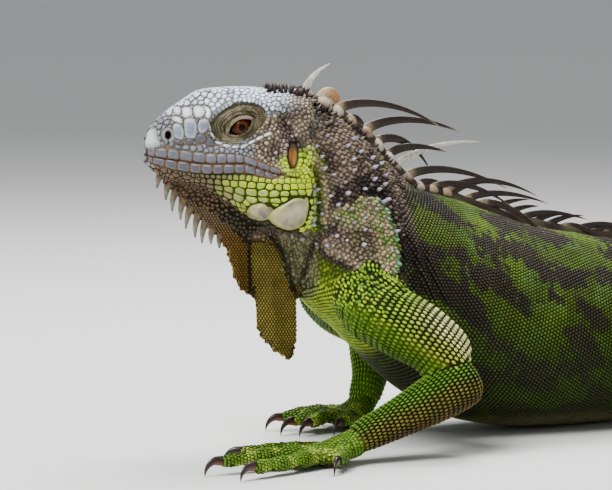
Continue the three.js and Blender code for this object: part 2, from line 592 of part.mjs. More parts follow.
// Each limb: its joints from the body outward, the half sizes there, and each digit's tip.
const LIMBS = [
  {
    upper: 'upper_arm_left', lower: 'forearm_left', end: 'hand_left', claws: 'claw_hand_left',
    upperLine: [
      { at: vec(22, -18, 82), wide: 15, high: 18 },
      { at: vec(17, -36, 73), wide: 16, high: 18 },
      { at: vec(34, -55, 60), wide: 15, high: 17 },
      { at: vec(52, -68, 44), wide: 12.5, high: 13.5 },
    ],
    lowerLine: [
      { at: vec(55, -69, 40), wide: 12.5, high: 13.5 },
      { at: vec(38, -70, 32), wide: 13, high: 12.5 },
      { at: vec(10, -68, 20), wide: 10, high: 9.5 },
      { at: vec(-12, -66, 11.5), wide: 8.6, high: 7.6 },
    ],
    palm: [
      { at: vec(-8, -66, 11), wide: 8.6, high: 7.2 },
      { at: vec(-22, -66, 7.4), wide: 11, high: 6.6 },
      { at: vec(-34, -66, 4.9), wide: 11.5, high: 5.6 },
    ],
    digits: [
      [vec(-20, -60, 6), vec(-30, -47, 6.4), vec(-40, -38, 6)],
      [vec(-30, -62, 6.4), vec(-46, -52, 7.4), vec(-63, -43, 6.6)],
      [vec(-32, -66, 6.6), vec(-56, -66, 8), vec(-86, -65, 6.6)],
      [vec(-32, -70, 6.2), vec(-54, -78, 5.8), vec(-79, -85, 6)],
      [vec(-22, -73, 6), vec(-28, -82, 6.6), vec(-35, -90, 6.2)],
    ],
  },
  {
    upper: 'upper_arm_right', lower: 'forearm_right', end: 'hand_right', claws: 'claw_hand_right',
    upperLine: [
      { at: vec(26, 18, 82), wide: 14, high: 17 },
      { at: vec(31, 35, 75), wide: 15, high: 15.5 },
      { at: vec(50, 49, 63), wide: 15, high: 16 },
      { at: vec(74, 61, 52), wide: 12, high: 13 },
    ],
    lowerLine: [
      { at: vec(77, 62, 49), wide: 12.5, high: 12.5 },
      { at: vec(73, 56, 39), wide: 12.5, high: 12 },
      { at: vec(67, 49, 25), wide: 9.5, high: 9.5 },
      { at: vec(60, 45, 12), wide: 8.4, high: 8.4 },
    ],
    palm: [
      { at: vec(63, 45, 12), wide: 8.4, high: 7.6 },
      { at: vec(52, 43, 7.2), wide: 10.6, high: 6.6 },
      { at: vec(42, 41, 5), wide: 11, high: 5.8 },
    ],
    digits: [
      [vec(50, 36, 6), vec(40, 27, 7.4), vec(32, 21, 6.4)],
      [vec(43, 38, 6.4), vec(30, 32, 8.6), vec(17, 27, 6.4)],
      [vec(42, 41, 6.6), vec(27, 39, 9.4), vec(12, 36, 6.4)],
      [vec(43, 44, 6.4), vec(28, 48, 8.8), vec(14, 52, 6.4)],
      [vec(51, 48, 6), vec(44, 58, 7.4), vec(36, 66, 6.4)],
    ],
  },
  {
    upper: 'thigh_left', lower: 'shin_left', end: 'foot_left', claws: 'claw_foot_left',
    upperLine: [
      { at: vec(240, -14, 46), wide: 19, high: 20 },
      { at: vec(232, -36, 48), wide: 20, high: 21 },
      { at: vec(208, -62, 51), wide: 18, high: 18.5 },
      { at: vec(184, -84, 50), wide: 13, high: 14 },
    ],
    lowerLine: [
      { at: vec(180, -88, 49), wide: 13, high: 14 },
      { at: vec(200, -98, 42), wide: 14, high: 13.5 },
      { at: vec(232, -107, 26), wide: 10, high: 10 },
      { at: vec(256, -112, 12.5), wide: 8.6, high: 8 },
    ],
    palm: [
      { at: vec(262, -113, 11), wide: 8, high: 7.6 },
      { at: vec(240, -120, 7), wide: 10, high: 7 },
      { at: vec(214, -129, 4.9), wide: 11.5, high: 5.6 },
    ],
    digits: [
      [vec(226, -118, 6), vec(208, -112, 6.2), vec(192, -108, 6)],
      [vec(220, -123, 6.4), vec(196, -119, 6.6), vec(172, -115, 6.2)],
      [vec(214, -128, 6.6), vec(186, -131, 7.2), vec(154, -129, 6.2)],
      [vec(214, -132, 6.6), vec(182, -147, 7.2), vec(142, -153, 6.2)],
      [vec(238, -126, 6), vec(222, -145, 6.4), vec(202, -160, 6.2)],
    ],
  },
  {
    upper: 'thigh_right', lower: 'shin_right', end: 'foot_right', claws: 'claw_foot_right',
    upperLine: [
      { at: vec(240, 14, 46), wide: 19, high: 20 },
      { at: vec(235, 36, 48), wide: 20, high: 21 },
      { at: vec(218, 64, 52), wide: 18, high: 18.5 },
      { at: vec(202, 91, 52), wide: 13, high: 14 },
    ],
    lowerLine: [
      { at: vec(199, 95, 51), wide: 13, high: 14 },
      { at: vec(221, 103, 42), wide: 14, high: 13.5 },
      { at: vec(253, 110, 26), wide: 10, high: 10 },
      { at: vec(277, 114, 12.5), wide: 8.6, high: 8 },
    ],
    palm: [
      { at: vec(283, 115, 11), wide: 8, high: 7.6 },
      { at: vec(262, 124, 7), wide: 10, high: 7 },
      { at: vec(238, 135, 4.9), wide: 11.5, high: 5.6 },
    ],
    digits: [
      [vec(249, 123, 6), vec(230, 118, 6.2), vec(213, 116, 6)],
      [vec(244, 129, 6.4), vec(220, 127, 6.6), vec(196, 125, 6.2)],
      [vec(238, 134, 6.6), vec(211, 140, 7.2), vec(180, 142, 6.2)],
      [vec(238, 139, 6.6), vec(208, 157, 7.2), vec(171, 168, 6.2)],
      [vec(260, 131, 6), vec(246, 151, 6.4), vec(228, 168, 6.2)],
    ],
  },
];

function digitTube(line) {
  const [root, knuckle, tip] = line;
  return tube([
    { at: root, wide: 4.9, high: 4.8 },
    { at: knuckle, wide: 4.3, high: 4.3 },
    { at: tip, wide: 3.6, high: 3.8 },
  ], { points: DIGIT_RING_POINTS, rings: 3 });
}

// A claw that starts just clear of the digit's tip and hooks down to the floor.
function clawHorn(line) {
  const [, knuckle, tip] = line;
  const level = tip.clone().sub(knuckle).setZ(0).normalize();
  const across = level.clone().cross(vec(0, 0, 1));
  const rings = [];
  const steps = 3;
  const point = tip.clone().addScaledVector(level, GAP + 0.25).setZ(tip.z + 0.6);
  const stretch = (point.z - CLAW.clear) / CLAW.fall;
  for (let i = 0; i <= steps; i += 1) {
    const t = i / steps;
    const angle = THREE.MathUtils.degToRad(CLAW.rise - CLAW.bend * t);
    const forward = i === 0
      ? tip.clone().sub(knuckle).normalize()
      : level.clone().multiplyScalar(Math.cos(angle)).add(vec(0, 0, Math.sin(angle)));
    const face = across.clone().cross(forward).normalize();
    const size = CLAW.radius * (1 - 0.9 * t ** 1.2);
    const ring = [];
    for (let j = 0; j < CLAW_RING_POINTS; j += 1) {
      const turn = (j / CLAW_RING_POINTS) * 2 * Math.PI + Math.PI / 2;
      ring.push(point.clone()
        .addScaledVector(across, Math.cos(turn) * size * 0.8)
        .addScaledVector(face, Math.sin(turn) * size * 1.2));
    }
    rings.push(ring);
    const next = THREE.MathUtils.degToRad(CLAW.rise - CLAW.bend * (i + 0.5) / steps);
    point.addScaledVector(level, (CLAW.length / steps) * Math.cos(next));
    point.z += (CLAW.length / steps) * Math.sin(next) * stretch;
  }
  return solid(loft(rings));
}

// ---- materials --------------------------------------------------------------------------------

const finish = (color, roughness) => new THREE.MeshStandardMaterial({ color, roughness, metalness: 0 });
const SKIN = {
  head: finish(0x8fa3a6, 0.5),
  neck: finish(0x4d4030, 0.65),
  trunk: finish(0x4a5f22, 0.6),
  tail: finish(0x5a5634, 0.6),
  limb: finish(0x6f9a28, 0.55),
  dewlap: finish(0x5d5424, 0.6),
};
const CREST = finish(0x3a2c20, 0.5);
const HORN = finish(0x2c1c14, 0.35);
const EYE_FINISH = finish(0x8a3c14, 0.1);
const DRUM = finish(0xb8863a, 0.5);
const PLATE = finish(0xa9a394, 0.4);

// ---- assembly ---------------------------------------------------------------------------------

const model = new THREE.Group();

function add(name, piece, material) {
  const trimmed = biggest(piece.subtract(belowFloor));
  const { vertProperties, triVerts } = trimmed.getMesh();
  const geometry = new THREE.BufferGeometry();
  geometry.setAttribute('position', new THREE.Float32BufferAttribute(vertProperties, 3));
  geometry.setIndex(Array.from(triVerts));
  geometry.computeVertexNormals();
  const mesh = new THREE.Mesh(geometry, material);
  mesh.name = name;
  model.add(mesh);
}

// Everything set into the head is cut out of it with a gap.
function addHead() {
  let flesh = wholeHead.subtract(nostril(1)).subtract(nostril(-1));
  [1, -1].forEach((sign) => {
    const name = sign > 0 ? 'left' : 'right';
    add(`eye_${name}`, eyeball(sign, 0), EYE_FINISH);
    add(`eardrum_${name}`, eardrum(sign, 0), DRUM);
    add(`jowl_plate_${name}`, jowlPlate(JOWL_PLATE, sign, 0), PLATE);
    add(`jowl_plate_front_${name}`, jowlPlate(JOWL_PLATE_FRONT, sign, 0), PLATE);
    flesh = flesh.subtract(eyeball(sign, GAP)).subtract(eardrum(sign, GAP));
    flesh = flesh.subtract(jowlPlate(JOWL_PLATE, sign, GAP));
    flesh = flesh.subtract(jowlPlate(JOWL_PLATE_FRONT, sign, GAP));
  });
  add('head', flesh.subtract(underMouth(GAP / 2)), SKIN.head);
  add('lower_jaw', flesh.intersect(underMouth(-GAP / 2)), SKIN.head);
}

function addBody() {
  const cutAt = ({ centre, forward }) => ({ at: centre, normal: forward });
  const hips = bodyFrame(BODY[BODY.length - 2]);
  const parts = [
    { name: 'neck', from: null, whole: trunk, material: SKIN.neck },
    { name: 'trunk_front', from: bodyFrame(BODY[4]), whole: trunk, material: SKIN.trunk },
    { name: 'trunk_rear', from: bodyFrame(BODY[8]), whole: trunk, material: SKIN.trunk },
    { name: 'tail_1', from: hips, whole: tail, material: SKIN.tail },
    ...[130, 270, 420, 600].map((distance, i) => (
      { name: `tail_${i + 2}`, from: tailFrame(distance), whole: tail, material: SKIN.tail })),
  ];
  parts.forEach((part, i) => {
    let piece = part.whole;
    if (part.from) {
      const { at, normal } = cutAt(part.from);
      piece = piece.subtract(beyond(at.clone().addScaledVector(normal, GAP / 2), normal.clone().negate()));
    }
    if (i + 1 < parts.length) {
      const { at, normal } = cutAt(parts[i + 1].from);
      piece = piece.subtract(beyond(at.clone().addScaledVector(normal, -GAP / 2), normal));
    }
    if (part.name === 'neck') {
      piece = piece.subtract(wholeHeadGrown);
      [1, -1].forEach((sign) => {
        piece = piece.subtract(eardrum(sign, GAP)).subtract(jowlPlate(JOWL_PLATE, sign, GAP));
      });
    }
    add(part.name, piece, part.material);
  });
}

function addDewlap() {
  const hanging = join(dewlapSheet(0), ...fringe());
  add('dewlap', hanging.subtract(bodyGrown).subtract(wholeHeadGrown), SKIN.dewlap);
}

function addLimb(limb) {
  const lower = tube(limb.lowerLine);
  const lowerGrown = tube(limb.lowerLine, { grow: GAP });
  add(limb.lower, lower, SKIN.limb);
  add(limb.upper, tube(limb.upperLine).subtract(bodyGrown).subtract(lowerGrown), SKIN.limb);
  const hand = join(tube(limb.palm, { points: 8, rings: 3 }), ...limb.digits.map(digitTube));
  add(limb.end, hand.subtract(lowerGrown), SKIN.limb);
  limb.digits.forEach((line, i) => add(`${limb.claws}_${i + 1}`, clawHorn(line), HORN));
}

addHead();
addBody();
addDewlap();
CREST_SPANS.forEach((span, index) => add(span.name, crest(index), CREST));
LIMBS.forEach(addLimb);

// The model stands with the middle of its box over the origin.
const middle = new THREE.Box3().setFromObject(model).getCenter(vec(0, 0, 0));
model.children.forEach((mesh) => mesh.geometry.translate(-middle.x, -middle.y, 0));

export default model;
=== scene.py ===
import math
from collections import namedtuple

import bmesh
import bpy
import numpy as np
from mathutils import Matrix, Vector
from mathutils.bvhtree import BVHTree
from mathutils.kdtree import KDTree


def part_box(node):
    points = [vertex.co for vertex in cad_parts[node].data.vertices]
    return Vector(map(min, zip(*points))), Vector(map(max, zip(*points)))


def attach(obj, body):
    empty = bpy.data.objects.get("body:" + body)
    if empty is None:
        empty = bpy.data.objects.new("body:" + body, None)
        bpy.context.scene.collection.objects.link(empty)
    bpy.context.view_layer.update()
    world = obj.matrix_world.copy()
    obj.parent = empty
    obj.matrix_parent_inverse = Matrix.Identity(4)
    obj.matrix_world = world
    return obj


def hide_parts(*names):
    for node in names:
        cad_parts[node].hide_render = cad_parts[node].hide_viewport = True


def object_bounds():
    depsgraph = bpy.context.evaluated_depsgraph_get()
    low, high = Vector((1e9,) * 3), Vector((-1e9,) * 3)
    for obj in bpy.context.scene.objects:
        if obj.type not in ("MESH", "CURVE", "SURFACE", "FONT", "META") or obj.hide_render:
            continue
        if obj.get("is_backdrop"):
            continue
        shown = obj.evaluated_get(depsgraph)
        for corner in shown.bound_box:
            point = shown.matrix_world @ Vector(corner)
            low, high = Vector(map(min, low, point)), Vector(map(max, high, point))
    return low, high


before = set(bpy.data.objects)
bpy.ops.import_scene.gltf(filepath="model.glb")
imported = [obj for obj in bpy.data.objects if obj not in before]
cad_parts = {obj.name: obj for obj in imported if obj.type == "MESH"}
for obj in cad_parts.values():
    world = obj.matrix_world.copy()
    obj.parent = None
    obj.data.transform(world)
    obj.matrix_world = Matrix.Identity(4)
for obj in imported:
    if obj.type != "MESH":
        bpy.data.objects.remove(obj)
CAD_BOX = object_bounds()

bl_info = {
    "name": "Green iguana",
    "version": (1, 0, 0),
    "blender": (4, 5, 0),
    "location": "3D View > Sidebar > Iguana",
    "description": "Builds the skin, scales, shields, crest, eyes and claws of a life-size green iguana",
    "category": "Object",
}

# ---- the animal's own drawing, in millimetres ----------------------------------------------------
# The trunk faces -X and the left side is toward -Y. The drawing is laid on the frame by the eardrums.

MM = 1000                          # millimetres in a metre
SIDES = (("left", 1), ("right", -1))
SPREAD = 43758.5453                # turns a sine into a number that looks random

HEAD_ORIGIN = np.array([-11.0, 0.0, 150.0])
HEAD_YAW = math.radians(24)
HEAD_FORWARD = np.array([-math.cos(HEAD_YAW), math.sin(HEAD_YAW), 0.0])
HEAD_LEFT = np.array([-math.sin(HEAD_YAW), -math.cos(HEAD_YAW), 0.0])
HEAD_UP = np.array([0.0, 0.0, 1.0])
HEAD_AXES = np.array([HEAD_FORWARD, HEAD_LEFT, HEAD_UP])


def box_middle(node):
    """The middle of a node's box, in millimetres."""
    low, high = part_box(node)
    return (np.array(low) + np.array(high)) * MM / 2


SHIFT = (box_middle("eardrum_left") + box_middle("eardrum_right")) / 2 - HEAD_ORIGIN

EYE_PLACE = np.array([25.5, 12.4, 13.8])
EYE_RADIUS = 7.3
NOSTRIL_PLACE = np.array([61.5, 11.5, 9.9])
JOWL_PLATE = {"x": 2.4, "y": 26.6, "z": -29.0, "long": 9.6, "high": 8.8, "deep": 3.4}
JOWL_PLATE_FRONT = {"x": 16.4, "y": 23.6, "z": -27.8, "long": 6.4, "high": 4.2, "deep": 2.4}

# Each station of the body: x, height, dip of the axis, turn toward the right, half sizes up, down, wide.
BODY = np.array([
    (-20, 153, 14, 24, 27, 33, 23), (-8, 144, 30, 20, 34, 33, 24), (4, 131, 43, 14, 38.5, 31, 26),
    (15, 116, 50, 8, 42, 31, 30), (28, 101, 50, 3, 46, 40, 36), (45, 87, 44, 0, 54, 39, 40),
    (62, 76, 36, 0, 56, 43, 42), (82, 67, 26, 0, 56, 50, 45), (108, 59, 16, 0, 55, 55.2, 48),
    (140, 53.5, 9, 0, 53, 54.2, 50), (172, 50, 6, 0, 51, 50.8, 49), (205, 47.5, 6, 0, 47.5, 47.9, 45),
    (234, 44.5, 8, 0, 41, 41, 37), (258, 40.5, 10, 0, 33.5, 31, 29), (285, 35.5, 8, 0, 27.5, 25, 23),
], float)

TAIL_LINE = np.array([
    (262, 0, 0), (350, -3, 0), (440, -24, 0), (535, -62, 0), (640, -98, 0),
    (750, -104, 0), (855, -70, 0), (950, -12, 0), (1035, 52, 0),
], float)

# Each limb from the body outward: places as x, y, z, half width, half height; then each digit's line.
LIMBS = {
    "arm_left": {
        "upper": [(22, -18, 82, 15, 18), (17, -36, 73, 16, 18), (34, -55, 60, 15, 17),
                  (52, -68, 44, 12.5, 13.5)],
        "lower": [(55, -69, 40, 12.5, 13.5), (38, -70, 32, 13, 12.5), (10, -68, 20, 10, 9.5),
                  (-12, -66, 11.5, 8.6, 7.6)],
        "palm": [(-8, -66, 11, 8.6, 7.2), (-22, -66, 7.4, 11, 6.6), (-34, -66, 4.9, 11.5, 5.6)],
        "digits": [
            [(-20, -60, 6), (-30, -47, 6.4), (-40, -38, 6)],
            [(-30, -62, 6.4), (-46, -52, 7.4), (-63, -43, 6.6)],
            [(-32, -66, 6.6), (-56, -66, 8), (-86, -65, 6.6)],
            [(-32, -70, 6.2), (-54, -78, 5.8), (-79, -85, 6)],
            [(-22, -73, 6), (-28, -82, 6.6), (-35, -90, 6.2)]],
        "claws": "claw_hand_left", "nodes": ("upper_arm_left", "forearm_left", "hand_left"),
    },
    "arm_right": {
        "upper": [(26, 18, 82, 14, 17), (31, 35, 75, 15, 15.5), (50, 49, 63, 15, 16), (74, 61, 52, 12, 13)],
        "lower": [(77, 62, 49, 12.5, 12.5), (73, 56, 39, 12.5, 12), (67, 49, 25, 9.5, 9.5),
                  (60, 45, 12, 8.4, 8.4)],
        "palm": [(63, 45, 12, 8.4, 7.6), (52, 43, 7.2, 10.6, 6.6), (42, 41, 5, 11, 5.8)],
        "digits": [
            [(50, 36, 6), (40, 27, 7.4), (32, 21, 6.4)], [(43, 38, 6.4), (30, 32, 8.6), (17, 27, 6.4)],
            [(42, 41, 6.6), (27, 39, 9.4), (12, 36, 6.4)], [(43, 44, 6.4), (28, 48, 8.8), (14, 52, 6.4)],
            [(51, 48, 6), (44, 58, 7.4), (36, 66, 6.4)]],
        "claws": "claw_hand_right", "nodes": ("upper_arm_right", "forearm_right", "hand_right"),
    },
    "leg_left": {
        "upper": [(240, -14, 46, 19, 20), (232, -36, 48, 20, 21), (208, -62, 51, 18, 18.5),
                  (184, -84, 50, 13, 14)],
        "lower": [(180, -88, 49, 13, 14), (200, -98, 42, 14, 13.5), (232, -107, 26, 10, 10),
                  (256, -112, 12.5, 8.6, 8)],
        "palm": [(262, -113, 11, 8, 7.6), (240, -120, 7, 10, 7), (214, -129, 4.9, 11.5, 5.6)],
        "digits": [
            [(226, -118, 6), (208, -112, 6.2), (192, -108, 6)],
            [(220, -123, 6.4), (196, -119, 6.6), (172, -115, 6.2)],
            [(214, -128, 6.6), (186, -131, 7.2), (154, -129, 6.2)],
            [(214, -132, 6.6), (182, -147, 7.2), (142, -153, 6.2)],
            [(238, -126, 6), (222, -145, 6.4), (202, -160, 6.2)]],
        "claws": "claw_foot_left", "nodes": ("thigh_left", "shin_left", "foot_left"),
    },
    "leg_right": {
        "upper": [(240, 14, 46, 19, 20), (235, 36, 48, 20, 21), (218, 64, 52, 18, 18.5),
                  (202, 91, 52, 13, 14)],
        "lower": [(199, 95, 51, 13, 14), (221, 103, 42, 14, 13.5), (253, 110, 26, 10, 10),
                  (277, 114, 12.5, 8.6, 8)],
        "palm": [(283, 115, 11, 8, 7.6), (262, 124, 7, 10, 7), (238, 135, 4.9, 11.5, 5.6)],
        "digits": [
            [(249, 123, 6), (230, 118, 6.2), (213, 116, 6)],
            [(244, 129, 6.4), (220, 127, 6.6), (196, 125, 6.2)],
            [(238, 134, 6.6), (211, 140, 7.2), (180, 142, 6.2)],
            [(238, 139, 6.6), (208, 157, 7.2), (171, 168, 6.2)],
            [(260, 131, 6), (246, 151, 6.4), (228, 168, 6.2)]],
        "claws": "claw_foot_right", "nodes": ("thigh_right", "shin_right", "foot_right"),
    },
}

DEWLAP_EDGE = [
    (65, -13), (57, -22), (49, -30), (41, -37), (34, -46), (30, -56), (27, -67), (22, -71.5), (17.5, -75),
    (16.5, -88), (12, -97), (4, -103.5), (-2, -106), (-4.5, -92), (-4.5, -76), (-9, -62),
]
DEWLAP_THICKNESS = 3.0

FLESH = ["head", "lower_jaw", "neck", "trunk_front", "trunk_rear", "tail_1", "tail_2", "tail_3", "tail_4",
         "tail_5", "dewlap"] + [node for limb in LIMBS.values() for node in limb["nodes"]]


# ---- curves ------------------------------------------------------------------------------------------

def through(*pairs):
    """A smooth function of one number through a few (position, value) pairs, in rising order."""
    xs, ys = np.array(pairs, float).T
    place = np.arange(len(xs))
    before, after = np.maximum(place - 1, 0), np.minimum(place + 1, len(xs) - 1)
    slopes = (ys[after] - ys[before]) / (xs[after] - xs[before])

    def value(at):
        at = np.clip(np.asarray(at, float), xs[0], xs[-1])
        i = np.clip(np.searchsorted(xs, at, side="right") - 1, 0, len(xs) - 2)
        span = xs[i + 1] - xs[i]
        t = (at - xs[i]) / span
        return ((2 * t**3 - 3 * t**2 + 1) * ys[i] + (t**3 - 2 * t**2 + t) * span * slopes[i]
                + (3 * t**2 - 2 * t**3) * ys[i + 1] + (t**3 - t**2) * span * slopes[i + 1])
    return value


def curve(points, params, closed=False):
    """Points on a centripetal curve through the given ones, at params from 0 to 1."""
    p = np.asarray(points, float)
    if closed:
        spans, p = len(p), np.vstack([p[-1], p, p[0], p[1]])
    else:
        spans, p = len(p) - 1, np.vstack([2 * p[0] - p[1], p, 2 * p[-1] - p[-2]])
    place = np.clip(np.asarray(params, float), 0, 1) * spans
    i = np.minimum(place.astype(int), spans - 1)
    w = (place - i)[:, None]
    p0, p1, p2, p3 = (p[i + k] for k in range(4))
    d0, d1, d2 = (np.maximum(np.linalg.norm(b - a, axis=1), 1e-6)[:, None] ** 0.5
                  for a, b in ((p0, p1), (p1, p2), (p2, p3)))
    m1 = ((p1 - p0) / d0 - (p2 - p0) / (d0 + d1) + (p2 - p1) / d1) * d1
    m2 = ((p2 - p1) / d1 - (p3 - p1) / (d1 + d2) + (p3 - p2) / d2) * d1
    return ((2 * w**3 - 3 * w**2 + 1) * p1 + (w**3 - 2 * w**2 + w) * m1
            + (3 * w**2 - 2 * w**3) * p2 + (w**3 - w**2) * m2)


def even(points, count, closed=False):
    """Points resampled to even steps along the line they make."""
    p = np.asarray(points, float)
    if closed:
        p = np.vstack([p, p[:1]])
    along = np.concatenate([[0], np.cumsum(np.linalg.norm(np.diff(p, axis=0), axis=1))])
    at = np.linspace(0, along[-1], count, endpoint=not closed)
    return np.stack([np.interp(at, along, p[:, k]) for k in range(p.shape[1])], 1)


def smooth_ring(outline, dense, count):
    """Even points on a closed smooth curve through an outline's corners."""
    return even(curve(outline, np.linspace(0, 1, dense)[:-1], closed=True), count, closed=True)


def unit(v):
    return v / np.maximum(np.linalg.norm(v, axis=-1, keepdims=True), 1e-9)


def smooth_step(low, high, at):
    t = np.clip((at - low) / (high - low), 0, 1)
    return t * t * (3 - 2 * t)


def bump(at, middle, half):
    return np.exp(-((at - middle) / half) ** 2)


def scatter(index):
    """A repeatable number from 0 to 1 for each whole number."""
    value = math.sin(index * 12.9898 + 4.1414) * SPREAD
    return value - math.floor(value)


def chances(count, step, spread):
    """Repeatable numbers from 0 to 1, one for each of a count of things."""
    return np.modf(np.abs(np.sin(np.arange(count) * step)) * spread)[0]


def shuffled(numbers, step=12.9898):
    """The same numbers in a mixed but repeatable order."""
    return numbers[np.argsort(np.modf(np.sin(numbers * step) * SPREAD)[0], kind="stable")]


def turned_axes():
    """Three square axes that lie along none of the frame's own, so that noise shows no grid."""
    first = np.array([0.62, 0.55, 0.56])
    second = unit(np.cross(first, (0.1, 0.25, 0.96)))
    return np.vstack([unit(first), second, np.cross(unit(first), second)])


NOISE_AXES = turned_axes()


def noise(points, size, seed=0):
    """Smooth value noise from 0 to 1 on a turned cubic grid of the given size."""
    p = np.asarray(points, float) @ NOISE_AXES.T / size + 37.0 * (seed + 1)
    cell = np.floor(p)
    f = p - cell
    f = f * f * (3 - 2 * f)
    total = 0.0
    for dx in (0, 1):
        for dy in (0, 1):
            for dz in (0, 1):
                c = cell + (dx, dy, dz)
                h = np.sin(c[:, 0] * 127.1 + c[:, 1] * 311.7 + c[:, 2] * 74.7) * SPREAD
                weight = ((f[:, 0] if dx else 1 - f[:, 0]) * (f[:, 1] if dy else 1 - f[:, 1])
                          * (f[:, 2] if dz else 1 - f[:, 2]))
                total = total + weight * (h - np.floor(h))
    return total


def on_head(local):
    """Places in the drawing from places ahead, to the left and up from the head's origin."""
    return HEAD_ORIGIN + np.asarray(local, float) @ HEAD_AXES


def in_head(points):
    """The other way round: places ahead, to the left and up from the head's origin."""
    return (np.asarray(points, float) - HEAD_ORIGIN) @ HEAD_AXES.T


# ---- outlines of the body --------------------------------------------------------------------------

def body_frames(steps=5):
    """Middles, directions, ups and half sizes of sections of the body, `steps` to each station."""
    at = np.linspace(0, len(BODY) - 1, (len(BODY) - 1) * steps + 1)
    columns = [through(*[(i, row[k]) for i, row in enumerate(BODY)])(at) for k in range(7)]
    x, z, dip, turn, top, bottom, wide = columns
    dip, turn = np.radians(dip), np.radians(turn)
    level = np.stack([np.cos(turn), -np.sin(turn), 0 * turn], 1)
    down = np.array([0, 0, -1.0])
    forward = level * np.cos(dip)[:, None] + down * np.sin(dip)[:, None]
    up = level * np.sin(dip)[:, None] - down * np.cos(dip)[:, None]
    sway = np.maximum(0, -x) * np.tan(turn) * 0.7
    return {"centre": np.stack([x, sway, z], 1), "forward": forward, "up": up,
            "top": top, "bottom": bottom, "wide": wide}


def tail_frames(count=180):
    """The same for the tail, from inside the rump to the tip, its underside on the floor."""
    line = even(curve(TAIL_LINE, np.linspace(0, 1, 900)), count)
    length = np.linalg.norm(np.diff(line, axis=0), axis=1).sum()
    at = np.linspace(0, length, count)
    top = through((0, 32), (22, 27.6), (80, 21.5), (160, 17.5), (320, 12.6), (520, 8),
                  (720, 4), (length, 0.9))(at)
    wide = through((0, 28), (22, 23.2), (80, 17.5), (160, 14), (320, 9.8), (520, 6.3), (720, 3.3),
                   (length, 0.8))(at)
    high = through((0, 39.5), (22, 35.6), (80, 27), (160, 18.6), (320, 12.7), (520, 8.1), (720, 4.1),
                   (length, 0.7))(at)
    centre = line.copy()
    centre[:, 2] = high
    return {"centre": centre, "forward": unit(np.gradient(line, axis=0)),
            "up": np.tile(HEAD_UP, (count, 1)),
            "top": top, "bottom": np.minimum(high, top * 1.02), "wide": wide, "at": at}


def body_rings(frames, points):
    """Sections rounded, a little fuller below the middle and narrower at the back's ridge."""
    angle = np.arange(points) / points * 2 * np.pi + np.pi / 2
    rise, side = np.sin(angle), np.cos(angle)
    across = unit(np.cross(frames["up"], frames["forward"]))
    pinch = 1 - 0.16 * np.maximum(rise, 0) ** 2 + 0.05 * np.maximum(-rise, 0)
    reach = np.where(rise > 0, frames["top"][:, None], frames["bottom"][:, None]) * rise
    wide = frames["wide"][:, None] * pinch * side
    return (frames["centre"][:, None] + across[:, None] * wide[..., None]
            + frames["up"][:, None] * reach[..., None])


CROWN = through((-10, 30), (0, 32), (8, 32.6), (20, 33.8), (34, 33.6), (46, 31.8), (54, 27), (62, 21.6),
                (68, 16.4), (71, 12.6), (73.2, 8))
BROW_WIDE = through((-16, 19), (6, 18.2), (25, 17.4), (33, 16.6), (41, 15.2), (52, 12.4),
                    (62, 10), (69, 6.8),
                    (73.2, 2.4))
BROW_HIGH = through((-16, 19), (4, 26.5), (16, 26.2), (25, 24.2), (33, 21.4), (41, 18),
                    (52, 16.2), (62, 13.8),
                    (69, 10.2), (73.2, 6))
SIDE_WIDE = through((-16, 25), (-4, 24.6), (6, 22.8), (15, 20.2), (25, 18.9), (34, 17.6),
                    (45, 15.2), (55, 13.2),
                    (63, 11.4), (69, 8), (73.2, 3))
SIDE_HIGH = through((-16, 4), (6, 11), (25, 13.5), (41, 8), (55, 6.8), (66, 5.4), (73.2, 3.6))
LIP_WIDE = through((-16, 27.5), (0, 26), (10, 24), (18, 22.2), (28, 20.6), (41, 17.4),
                   (53, 13.8), (62, 11.4),
                   (69, 7.8), (73.2, 2.8))
LIP_HIGH = through((-16, -13), (6.6, -9.4), (17, -6.2), (24, -4), (41, -4.2), (53.5, -3), (73.2, -0.4))
JAW_WIDE = through((-16, 24), (-6, 27.6), (2, 28.6), (10, 26.6), (20, 22.6), (30, 18.6),
                   (45, 14.2), (58, 10.4),
                   (67, 6.8), (73.2, 2.4))
JAW_HIGH = through((-16, -26), (0, -27.5), (15, -22.5), (30, -14.5), (50, -9.5), (66, -6.4), (73.2, -2.6))
CHIN_WIDE = through((-16, 13), (0, 19), (10, 16.5), (20, 13), (35, 9.8), (50, 7.6), (62, 5.6), (69, 3.4),
                    (73.2, 1.4))
CHIN_HIGH = through((-16, -33), (-4, -38), (6, -38.4), (14, -34.5), (22, -29.5), (35, -21.5), (50, -15.4),
                    (62, -11.8), (69, -8), (73.2, -3.6))
THROAT = through((-16, -35), (0, -39), (10, -36.6), (20, -31.8), (35, -23.4), (50, -17), (62, -12.8),
                 (69, -8.6), (73.2, -4.2))


def head_rings(count=64, points=72):
    """Sections of the head from behind the jaw to the snout, closer together toward the snout."""
    rings = []
    for x in -11 + 84.2 * (1 - (1 - np.linspace(0, 1, count)) ** 1.5):
        half = [(BROW_WIDE(x) * 0.55, CROWN(x) - 1.6), (BROW_WIDE(x), BROW_HIGH(x)),
                (SIDE_WIDE(x), SIDE_HIGH(x)),
                (LIP_WIDE(x), LIP_HIGH(x)), (JAW_WIDE(x), JAW_HIGH(x)), (CHIN_WIDE(x), CHIN_HIGH(x))]
        outline = [(0, CROWN(x))] + half + [(0, THROAT(x))] + [(-y, z) for y, z in reversed(half)]
        flat = smooth_ring(outline, 401, points)
        rings.append(on_head(np.column_stack([np.full(points, x), flat])))
    return np.array(rings)


